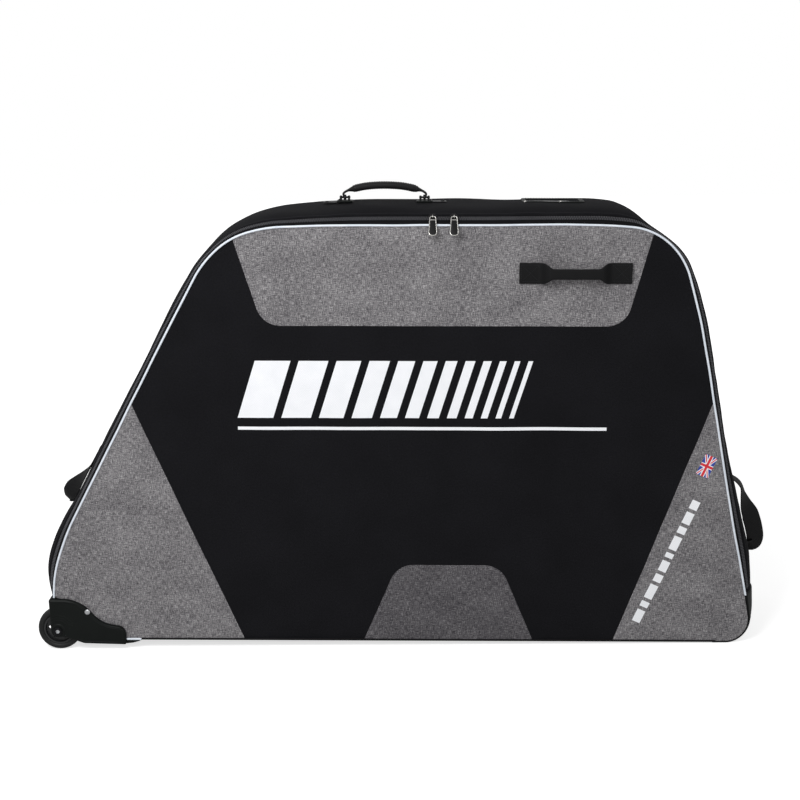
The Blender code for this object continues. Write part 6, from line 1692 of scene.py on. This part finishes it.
def make_end_loop(side):
    """Webbing loop: a twisted strap in two halves, split at its bight, on a sewn patch."""
    (low_z, high_z), shape, bight, runs = LOOPS[side]
    low, high = (on_middle(z, side, LOOP_LIFT) for z in (low_z, high_z))
    out = np.cross(Y_AXIS, unit(high - low))
    out = out if (out[0] < 0) == (side == "left") else -out

    def at(way, reach, *_):
        return low + (high - low) * way + out * reach * MM

    path = smooth_path([at(*point) for point in shape], LOOP_POINTS)
    split, *places = (int(np.argmin(np.linalg.norm(path - at(*point), axis=1))) for point in (bight, *shape))
    angle = np.radians(np.interp(np.arange(LOOP_POINTS), places, [point[2] for point in shape]))
    c, s = np.cos(angle)[:, None], np.sin(angle)[:, None]
    flat = flat_section(LOOP_WIDTH, LOOP_THICKNESS, 36, 4.0)
    section = columns(flat[:, 0] * c - flat[:, 1] * s, flat[:, 0] * s + flat[:, 1] * c)
    rings = carried(path, Y_AXIS, section)
    uv = strap_uv(path, flat)
    for key, part in (("low", slice(0, split + 1)), ("high", slice(split, None))):
        strap = swept(f"loop_{side}_{key}", rings[part], "webbing", uv[part])
        blended(strap, "bag", side + "_loop", *(at(*place) for place in runs[key]))
        if key == "low":
            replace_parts(strap, side + "_end_loop")
    make_loop_patch(side, low_z, high_z)


def make_loop_patch(side, low_z, high_z):
    """Patch of webbing under a loop, its edge rounded off, with a box of stitches at each foot."""
    ends = (distance_at_height(z, side) for z in (low_z - PATCH_PAST, high_z + PATCH_PAST))
    rows = wall_rows(*sorted(ends), 3 * MM)
    from_end = np.minimum(rows - rows[0], rows[-1] - rows)[:, None]

    def outer(s, depth):
        edge = np.minimum(from_end, PATCH_HALF - np.abs(depth - MID_DEPTH))
        return wall_offset(s, depth) + GAP + rounded_lift(edge, PATCH_THICKNESS, PATCH_HEM)

    start, end = MID_DEPTH - PATCH_HALF, MID_DEPTH + PATCH_HALF
    patch = band(f"loop_{side}_patch", rows, start, end, 21, outer, sunk(0.6 * MM), "webbing")
    on_body(patch, "bag", side + "_loop_patch")
    way = 1 if side == "left" else -1
    for k, z in enumerate((low_z - LOOP_BOX_PAST, high_z + LOOP_BOX_PAST)):
        _, _, nx, nz = outline_at(distance_at_height(z, side))
        axes = (Y_AXIS, np.array([-nz, 0.0, nx]) * way, np.array([nx, 0.0, nz]))
        sew_box(f"loop_{side}_box_{k}", "bag", on_middle(z, side, LOOP_BOX_LIFT), axes, *LOOP_BOX)


WHEEL_AXLE = np.array([WHEEL_X, WHEEL_Z])
HOUSING_RING = even_ring(HOUSING_TABLE[:, 1:3], 1.6 * MM)
# A cheek's points fan out from here, from where all of its outline can be seen.
HOUSING_STAR = mm(-640, 30)
# The cheek's raised arcs, the upper angles they cover, its line, its lip, the boss round the bolt, and the
# drop and the width of its rounded edge.
ARC_RADII = mm(21, 26, 31)
ARC_WIDTH, ARC_HEIGHT = mm(0.9, 0.7)
ARC_ANGLES = (np.radians((8, 26)), np.radians((150, 166)))
LINE_INSET, LINE_WIDTH, LINE_HEIGHT, LINE_X = 4.6 * MM, 0.6 * MM, 0.6 * MM, mm(-622, -608)
LIP_Z, LIP_X, LIP_RAISE = mm(74, 77), mm(-616, -606), 0.9 * MM
BOSS_HEIGHT, BOSS_EDGE = 1.3 * MM, mm(12.5, 14.5)
CHEEK_EDGE = mm(3.2, 3.6)
# A cheek's thickness, the bore of the arch between the cheeks, and the tongue as x and z, and its ends in Y.
CHEEK = 4 * MM
ARCH_RADIUS = 47 * MM
TONGUE = np.array([(-530, -0.3), (-494, -0.3), (-502, -4.2), (-513, -7.4), (-530, -9.2)]) * MM
TONGUE_Y = mm(-141, -108)


def cheek_relief(x, z, edge):
    """Relief of a cheek: arcs round the wheel, a line inside its edge, a lip along its top and a boss."""
    r = np.hypot(x - WHEEL_X, z - WHEEL_Z)
    theta = np.arctan2(z - WHEEL_Z, x - WHEEL_X)
    upper = eased(theta, *ARC_ANGLES[0]) * (1 - eased(theta, *ARC_ANGLES[1]))
    arcs = sum(np.exp(-(((r - radius) / ARC_WIDTH) ** 2)) for radius in ARC_RADII)
    line = np.exp(-(((edge - LINE_INSET) / LINE_WIDTH) ** 2)) * eased(x, *LINE_X)
    lip = eased(z, *LIP_Z) * (1 - eased(x, *LIP_X))
    raised = ARC_HEIGHT * arcs * upper + LINE_HEIGHT * line + LIP_RAISE * lip
    return raised * eased(edge, MM, 4 * MM) + BOSS_HEIGHT * (1 - eased(r, *BOSS_EDGE))


def cheek_face(x, z):
    """Y of a cheek's outer face, which rounds off to its edge."""
    edge = inside_distance(x, z, HOUSING_RING)
    return HOUSING_FRONT_Y + CHEEK_EDGE[0] - rounded_lift(edge, *CHEEK_EDGE) - cheek_relief(x, z, edge)


def flat_at(y):
    """A law for a flat face at a Y."""
    return lambda x, z: y + 0 * x


def housing_arch():
    """Points and faces of the arch over the wheel, between the cheeks' outline and the wheel's space."""
    ring = even_ring(HOUSING_TABLE[:, 1:3], MM) - WHEEL_AXLE
    theta = np.arctan2(ring[:, 1], ring[:, 0])
    order = np.argsort(theta)
    angle = np.linspace(-math.pi, math.pi, 721)
    reach = np.interp(angle, theta[order], np.linalg.norm(ring, axis=1)[order], period=TAU)
    solid = reach > ARCH_RADIUS + 0.5 * MM
    angle, reach = angle[solid], reach[solid]
    near, far = HOUSING_FRONT_Y + CHEEK - 0.1 * MM, HOUSING_INNER_Y - CHEEK + 0.1 * MM
    corners = [
        columns(WHEEL_X + r * np.cos(angle), y, WHEEL_Z + r * np.sin(angle))
        for r, y in ((ARCH_RADIUS, near), (reach, near), (reach, far), (ARCH_RADIUS, far))
    ]
    return sweep_parts(np.stack(corners, axis=1))


def make_housings():
    """Wheel housings: two cheeks joined by the arch over the wheel, and a tongue under the bag."""
    faces = (flat_at(y) for y in (HOUSING_FRONT_Y + CHEEK, HOUSING_INNER_Y - CHEEK, HOUSING_INNER_Y))
    outer = panel_parts(HOUSING_RING, 84, cheek_face, next(faces), HOUSING_STAR)
    inner = panel_parts(HOUSING_RING, 6, *faces, HOUSING_STAR)
    tongue = plate(even_ring(TONGUE, 4 * MM), *TONGUE_Y, 0.4 * MM, ORIGIN, ACROSS_Y)
    arch = housing_arch()
    for where, way in (("front", 1.0), ("rear", -1.0)):
        parts = [(points * [1.0, way, 1.0], faces) for points, faces in (outer, inner, arch, tongue)]
        obj = merged(where + "_housing", parts, "polypropylene", 35.0)
        on_body(obj, "bag", where + "_wheel_housing")
        make_wheel(where, way)


WHEEL_Y = -128 * MM
TREAD_INNER, TREAD_ROUND, TREAD_HALF = mm(34, 8, 12)
TYRE_BORE = np.array([(31.5, 10.8), (30.3, 9.5), (30.3, -9.5), (31.5, -10.8)]) * MM
# The bolt's head in radius and depth from its face, its socket, and the domed rivet of the housing.
HEAD_SIDE = ((7.4, 0.0), (8.0, -0.6), (8.0, -2.2), (7.4, -3.0), (4.2, -3.1), (3.9, -2.8), (3.6, -1.2))
SOCKET = np.array([(0.0, 1.4), (-0.9, 1.4), (-0.9, 2.95), (0.0, 2.95)]) * MM
RIVET_PLACE = mm(-597, 58)
RIVET_DOME = ((5.5, 0.3), (5.45, -0.6), (4.9, -1.6), (3.6, -2.3), (1.8, -2.6), (0.4, -2.7), (0.4, 0.3))


def make_wheel(where, way):
    """Tyre with a round tread, bolt with a six-sided socket, and the housing's domed rivet."""
    t = np.linspace(-math.pi / 2, math.pi / 2, 25)
    tread = columns(TREAD_INNER + TREAD_ROUND * np.cos(t) ** 0.7, TREAD_HALF * np.sin(t))
    profile = np.concatenate([tread, TYRE_BORE])
    tyre = turned(where + "_tread", profile, (WHEEL_X, WHEEL_Y * way, WHEEL_Z), "tyre", 96)
    on_body(tyre, where + "_wheel", where + "_tyre")
    face = (WHEEL_X, (HOUSING_FRONT_Y - 1.2 * MM) * way, WHEEL_Z)
    head = turned(where + "_bolt_head", np.array(HEAD_SIDE) * MM, face, "blackened", 48, way)
    on_body(head, "bag", where + "_axle_bolt")
    outward, inwards = ((X_AXIS, Z_AXIS, Y_AXIS * side) for side in (-way, way))
    core = [
        plate(circle(3.8 * MM, 24), 0.0, 1.5 * MM, 0.2 * MM, face, outward),
        plate(circle(4 * MM, 32), 0.0, 38 * MM, 0.4 * MM, face, inwards),
        hoop(circle(3.1 * MM, 6), SOCKET, face, outward),
    ]
    fitted(where + "_bolt_core", core, "zinc", "bag")
    place = (RIVET_PLACE[0], HOUSING_FRONT_Y * way, RIVET_PLACE[1])
    rivet = turned(where + "_rivet", np.array(RIVET_DOME) * MM, place, "zinc", 40, way)
    on_body(rivet, "bag", where + "_housing_rivet")


GUARD_INSET = 2.3 * MM
GUARD_LIFT, GUARD_HEM, GUARD_BASE = mm(2.1, 2.6, 0.8)
RIB_HEIGHT, RIB_PITCH, RIB_FADE = 0.3 * MM, 14 * MM, mm(6, 12)
# The sole's outline: it stops short of the piping, and steps in between the wheel housings.
SOLE_LEFT, SOLE_STEP, SOLE_RIGHT = mm(-631.7, -525.4, 600.4)
SOLE_HALF, SOLE_NOTCH = mm(137.7, 107.4)
BOARD_X, BOARD_Y = mm(-627, 596), mm(-125, 133.5)
BOARD_SIDE = np.array([(0.0, 3.3), (0.0, 6.6), (0.8, 7.3)]) * MM
SHEET_STEP = 8 * MM


def make_base():
    """Moulded scuff guard with ribs at the lower right, the sole cloth, and the board over it."""
    rows = wall_rows(distance_at_height(GUARD_TOP, "right"), BASE_END, 2 * MM)
    from_end = np.minimum(rows - rows[0], rows[-1] - rows)[:, None]
    start, end = GUARD_INSET, BODY_DEPTH - GUARD_INSET

    def outer(s, depth):
        side = np.minimum(np.minimum(depth - start, end - depth), from_end)
        rib = RIB_HEIGHT * np.cos(TAU * (depth - MID_DEPTH) / RIB_PITCH) * eased(side, *RIB_FADE)
        return wall_offset(s, depth) + GUARD_BASE + rounded_lift(side, GUARD_LIFT, GUARD_HEM) + rib

    guard = band("scuff_guard", rows, start, end, 141, outer, sunk(-0.2 * MM), "polypropylene")
    on_body(guard, "bag", "corner_guard")
    half = [(SOLE_LEFT, SOLE_NOTCH), (SOLE_STEP, SOLE_NOTCH), (SOLE_STEP, SOLE_HALF), (SOLE_RIGHT, SOLE_HALF)]
    corners = [(SOLE_LEFT, -SOLE_NOTCH), *half, *((x, -y) for x, y in half[:0:-1])]
    ring = even_ring(flat_outline([(*corner, 1.5 * MM) for corner in corners], MM), SHEET_STEP)
    sole = plate(ring, 0.0, 3 * MM, MM, ORIGIN, LEVEL)
    fitted("sole_cloth", [sole], "polyester", "bag", "bottom_panel")
    inner = columns(np.clip(ring[:, 0], *BOARD_X), np.clip(ring[:, 1], *BOARD_Y))
    apart = np.linalg.norm(inner - np.roll(inner, 1, axis=0), axis=1) > 1e-5
    board = slab(even_ring(inner[apart], SHEET_STEP), BOARD_SIDE, ORIGIN, LEVEL)
    fitted("board_cloth", [board], "lining", "bag", "base_board")


QUILT_PITCH, QUILT_DEPTH, LINING_STEP = mm(95, 2.2, 9)
LINING_FACE = FRONT_Y + 2.4 * MM
LINING_EDGE, LINING_LIFT, LINING_HEM = mm(1.2, 5, 12)


def quilt(x, z):
    """Sewn channels of a lining: a net of leaning lines that draw the padding in.

    2.2 (1 - e^(-m / 0.26)) mm, with m the lesser of |sin| of two families of lines, 95 mm apart.
    """
    turns = math.pi / QUILT_PITCH
    a = np.abs(np.sin((x + 0.62 * z) * turns))
    b = np.abs(np.sin((x - 0.62 * z) * turns))
    return QUILT_DEPTH * (1 - np.exp(-np.minimum(a, b) / 0.26))


def lining_law(ring):
    """A law for how far into the bag the face of a quilted lining over a ring stands."""

    def law(x, z):
        edge = inside_distance(x, z, ring)
        return LINING_EDGE + rounded_lift(edge, LINING_LIFT, LINING_HEM) + quilt(x, z)

    return law


def make_padding():
    """Cloth back with its padding, and the quilted lining inside the cover."""
    rear_ring = CLOTH_RING.copy()
    rear_ring[:, 0] -= lean_at(*CLOTH_RING.T)
    back = panel(
        "back_cloth", rear_ring, 44,
        lambda x, z: 0.3 * MM - front_rear(x, z), lambda x, z: -front_y(x, z), "polyester",
    )
    on_body(back, "bag", "back_panel")
    high = CLOTH_RING[CLOTH_RING[:, 1] > FOLD_HEIGHT + MM]
    start = int(np.argmax(np.linalg.norm(high - np.roll(high, 1, axis=0), axis=1)))
    high = inward(even_ring(np.roll(high, -start, axis=0), LINING_STEP), 3 * MM)
    raised = lining_law(high)
    lining = panel(
        "cover_lining", high, 110, flat_at(LINING_FACE), lambda x, z: LINING_FACE + raised(x, z), "lining"
    )
    on_body(lining, "cover", "front_padding")
    ring = even_ring(inward(rear_ring, LINING_STEP), LINING_STEP)
    deep = lining_law(ring)
    lining = panel(
        "back_lining", ring, 100, lambda x, z: -LINING_FACE - deep(x, z), flat_at(-LINING_FACE), "lining"
    )
    on_body(lining, "bag", "back_padding")


SLEEVE_RADIUS = 299 * MM
SLEEVE_HALF = 5.6 * MM
SLEEVE_SEAM, SEAM_WIDTH, SEAM_DEPTH = mm(245, 5, 1.2)
BINDING_INSET, BINDING_HALF_WIDTH, BINDING_HALF = mm(2, 2.8, 3.6)
# The foam block: its ends in X, its height over the base, its depth, and the round groove in its top.
BLOCK_X = mm(-40, 160)
BLOCK_Z = mm(7.6, 67.6)
BLOCK_HALF_Y = 55 * MM
GROOVE_X, GROOVE_RADIUS = mm(60, 32)
STRAP_X, STRAP_HALF, STRAP_WIDTH, STRAP_THICKNESS = mm(-180, 110, 38, 2.3)
STRAP_Z, STRAP_RIPPLE, STRAP_WAVE = mm(9.2, 0.5, 70)
BUCKLE_Z, BUCKLE_RAIL = mm(8.6, 4)


def make_sleeve(name, body, x, z, way):
    """A round padded sleeve for one wheel, with a sewn ring and a bound edge."""
    centre = (x, -(abs(FRONT_Y) - 17.1 * MM) * way, z)
    r = SLEEVE_RADIUS * np.sin(np.linspace(0.0, 1.0, 40) * math.pi / 2)
    seam = SEAM_DEPTH * np.exp(-(((r - SLEEVE_SEAM) / SEAM_WIDTH) ** 2))
    face = SLEEVE_HALF * (1 - (r / SLEEVE_RADIUS) ** 8) ** 0.5 - seam
    back = columns(r, -SLEEVE_HALF)[::-1]
    profile = np.concatenate([columns(r, face), back])
    profile[0, 0] = profile[-1, 0] = MM
    disc = turned(name + "_sleeve", profile, centre, "polyester", 120, way)
    on_body(disc, body, name + "_wheel_sleeve")
    edge = TAU * np.arange(12) / 12
    wide = SLEEVE_RADIUS - BINDING_INSET + BINDING_HALF_WIDTH * np.cos(edge)
    tube = columns(wide, BINDING_HALF * np.sin(edge))
    on_body(turned(name + "_sleeve_binding", tube, centre, "webbing", 120, way), body)


def make_frame_rest():
    """The foam block with a groove for the frame, and the webbing strap that ties the frame down."""
    theta = np.linspace(math.pi, TAU, 25)
    groove = [GROOVE_X, BLOCK_Z[1]] + GROOVE_RADIUS * columns(np.cos(theta), np.sin(theta))
    low, high = BLOCK_Z
    left, right = BLOCK_X
    corners = ((right, high, 6 * MM), (right, low, 5 * MM), (left, low, 5 * MM), (left, high, 6 * MM))
    ring = even_ring(np.concatenate([groove, flat_outline(corners, MM)]), 4 * MM)
    block = plate(ring, -BLOCK_HALF_Y, BLOCK_HALF_Y, 3 * MM, ORIGIN, ACROSS_Y)
    fitted("foam_cradle", [block], "foam", "bag", "frame_block")
    y = np.linspace(-STRAP_HALF, STRAP_HALF, 60)
    path = columns(STRAP_X, y, STRAP_Z + STRAP_RIPPLE * np.sin(TAU * y / STRAP_WAVE))
    section = flat_section(STRAP_WIDTH, STRAP_THICKNESS, 28, 4.0)
    strap = swept("tie_webbing", carried(path, X_AXIS, section), "webbing", strap_uv(path, section))
    on_body(strap, "bag", "frame_tie_strap")
    place = (STRAP_X, 0.0, BUCKLE_Z)
    rail = even_ring(round_rectangle(23 * MM, 13 * MM, 4 * MM), 2 * MM)
    rim = hoop(rail, rail_section(BUCKLE_RAIL, BUCKLE_RAIL), place, LEVEL)
    bar = plate(round_rectangle(20 * MM, 2 * MM, 1.8 * MM), 1.6 * MM, 4.6 * MM, 0.8 * MM, place, LEVEL)
    fitted("tie_buckle", [rim, bar], "polypropylene", "bag")


# The photograph's view: the camera's place in the bag's frame, its turn to the left and its dip, in degrees.
CAMERA_PLACE = (0.0284, -2.74, 1.08607)
CAMERA_TURN, CAMERA_DIP = 0.6, 13.24
CAMERA_LENS, CAMERA_SENSOR = 65.025, 36.0


def make_camera():
    """The photograph's view: 2.9 m away, 13 degrees down and a hair to the left, square to the bag."""
    turn, dip = math.radians(CAMERA_TURN), math.radians(CAMERA_DIP)
    ahead = np.array([-math.sin(turn) * math.cos(dip), math.cos(turn) * math.cos(dip), -math.sin(dip)])
    right = np.array([math.cos(turn), math.sin(turn), 0.0])
    local = np.eye(4)
    local[:3, :3] = np.stack([right, np.cross(right, ahead), -ahead], axis=1)
    local[:3, 3] = CAMERA_PLACE
    camera = bpy.data.objects.new("camera", bpy.data.cameras.new("camera"))
    camera.data.lens = CAMERA_LENS
    camera.data.sensor_width = CAMERA_SENSOR
    bpy.context.scene.collection.objects.link(camera)
    camera.matrix_world = Matrix((BAG @ local).tolist())
    bpy.context.scene.camera = camera


# Light: the world's level on the object and in gloss, and the floor's own glow near the bag and far off.
WORLD_LEVEL, GLOSS_LEVEL = 0.34, 0.5
GLOW_NEAR, GLOW_FAR = (0.8, 0.68), (2.6, 1.0)
FLOOR_HALF = 9
# Each lamp's place, target, size and power.
LAMPS = {
    "key": ((-0.9, -1.6, 1.95), (0.0, 0.0, 0.5), 1.2, 42.0),
    "fill": ((2.6, -2.6, 1.3), (0.1, 0.0, 0.35), 1.8, 24.0),
}


def make_lamp(name, place, target, size, power):
    """A square soft white light at a place, turned to a target."""
    lamp = bpy.data.lights.new(name, "AREA")
    lamp.shape = "SQUARE"
    lamp.size = size
    lamp.energy = power
    obj = bpy.data.objects.new(name, lamp)
    obj.location = place
    obj.rotation_euler = (Vector(target) - Vector(place)).to_track_quat("-Z", "Y").to_euler()
    bpy.context.scene.collection.objects.link(obj)


def make_world():
    """A world that looks white, a little dimmer in gloss, and lights the object at a plain level."""
    world = bpy.data.worlds.new("studio")
    bpy.context.scene.world = world
    world.use_nodes = True
    tree = world.node_tree
    back = tree.nodes["Background"]
    back.inputs["Color"].default_value = linear("#FFFFFF")
    rays = node(tree, "ShaderNodeLightPath").outputs
    shiny = node(tree, "ShaderNodeMath", {0: rays["Is Glossy Ray"], 1: GLOSS_LEVEL}, operation="MULTIPLY")
    seen = {0: rays["Is Camera Ray"], 1: shiny.outputs[0]}
    seen = node(tree, "ShaderNodeMath", seen, operation="MAXIMUM").outputs[0]
    level = node(tree, "ShaderNodeMapRange", {"Value": seen, "To Min": WORLD_LEVEL, "To Max": 1.0})
    tree.links.new(level.outputs[0], back.inputs["Strength"])


def make_floor():
    """A matt pale floor that glows to the camera, less near the bag, so that a faint shadow stays."""
    material, tree, shader = finish_of("white_sweep", "#E9E9E9", 0.9, Specular_IOR_Level=0.0)
    shader.inputs["Emission Color"].default_value = linear("#FFFFFF")
    seen = node(tree, "ShaderNodeLightPath").outputs["Is Camera Ray"]
    place = node(tree, "ShaderNodeTexCoord").outputs["Object"]
    away = node(tree, "ShaderNodeVectorMath", {0: place}, operation="LENGTH").outputs["Value"]
    limits = dict(zip(("From Min", "To Min", "From Max", "To Max"), (*GLOW_NEAR, *GLOW_FAR)))
    level = node(tree, "ShaderNodeMapRange", {"Value": away, **limits}).outputs[0]
    glow = node(tree, "ShaderNodeMath", {0: seen, 1: level}, operation="MULTIPLY")
    tree.links.new(glow.outputs[0], shader.inputs["Emission Strength"])
    mesh = bpy.data.meshes.new("floor")
    corners = [(x * FLOOR_HALF, y * FLOOR_HALF, 0) for x, y in ((-1, -1), (1, -1), (1, 1), (-1, 1))]
    mesh.from_pydata(corners, [], [(0, 1, 2, 3)])
    mesh.materials.append(material)
    floor = bpy.data.objects.new("floor", mesh)
    bpy.context.scene.collection.objects.link(floor)


CAD_FINISHES = {"front_bearing": "zinc", "rear_bearing": "zinc", "front_hub": "hub", "rear_hub": "hub"}


def finish_cad_nodes():
    """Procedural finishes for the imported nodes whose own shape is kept."""
    for name, finish in CAD_FINISHES.items():
        mesh = NODES[name].data
        mesh.materials.clear()
        mesh.materials.append(FINISH[finish])


make_front()
make_print()
make_side_wall()
make_tapes()
make_zip()
make_piping()
for end in SIDES:
    make_slider(end)
make_top_handle()
make_label_holder()
make_grab_handle()
for end in SIDES:
    make_end_loop(end)
make_housings()
make_base()
make_padding()
make_sleeve("cover", "cover", 130 * MM, 448 * MM, 1.0)
make_sleeve("back", "bag", -120 * MM, 368 * MM, -1.0)
make_frame_rest()
finish_cad_nodes()
make_camera()
for lamp_name, settings in LAMPS.items():
    make_lamp(lamp_name, *settings)
make_world()
make_floor()
bpy.context.scene.view_settings.view_transform = "Standard"
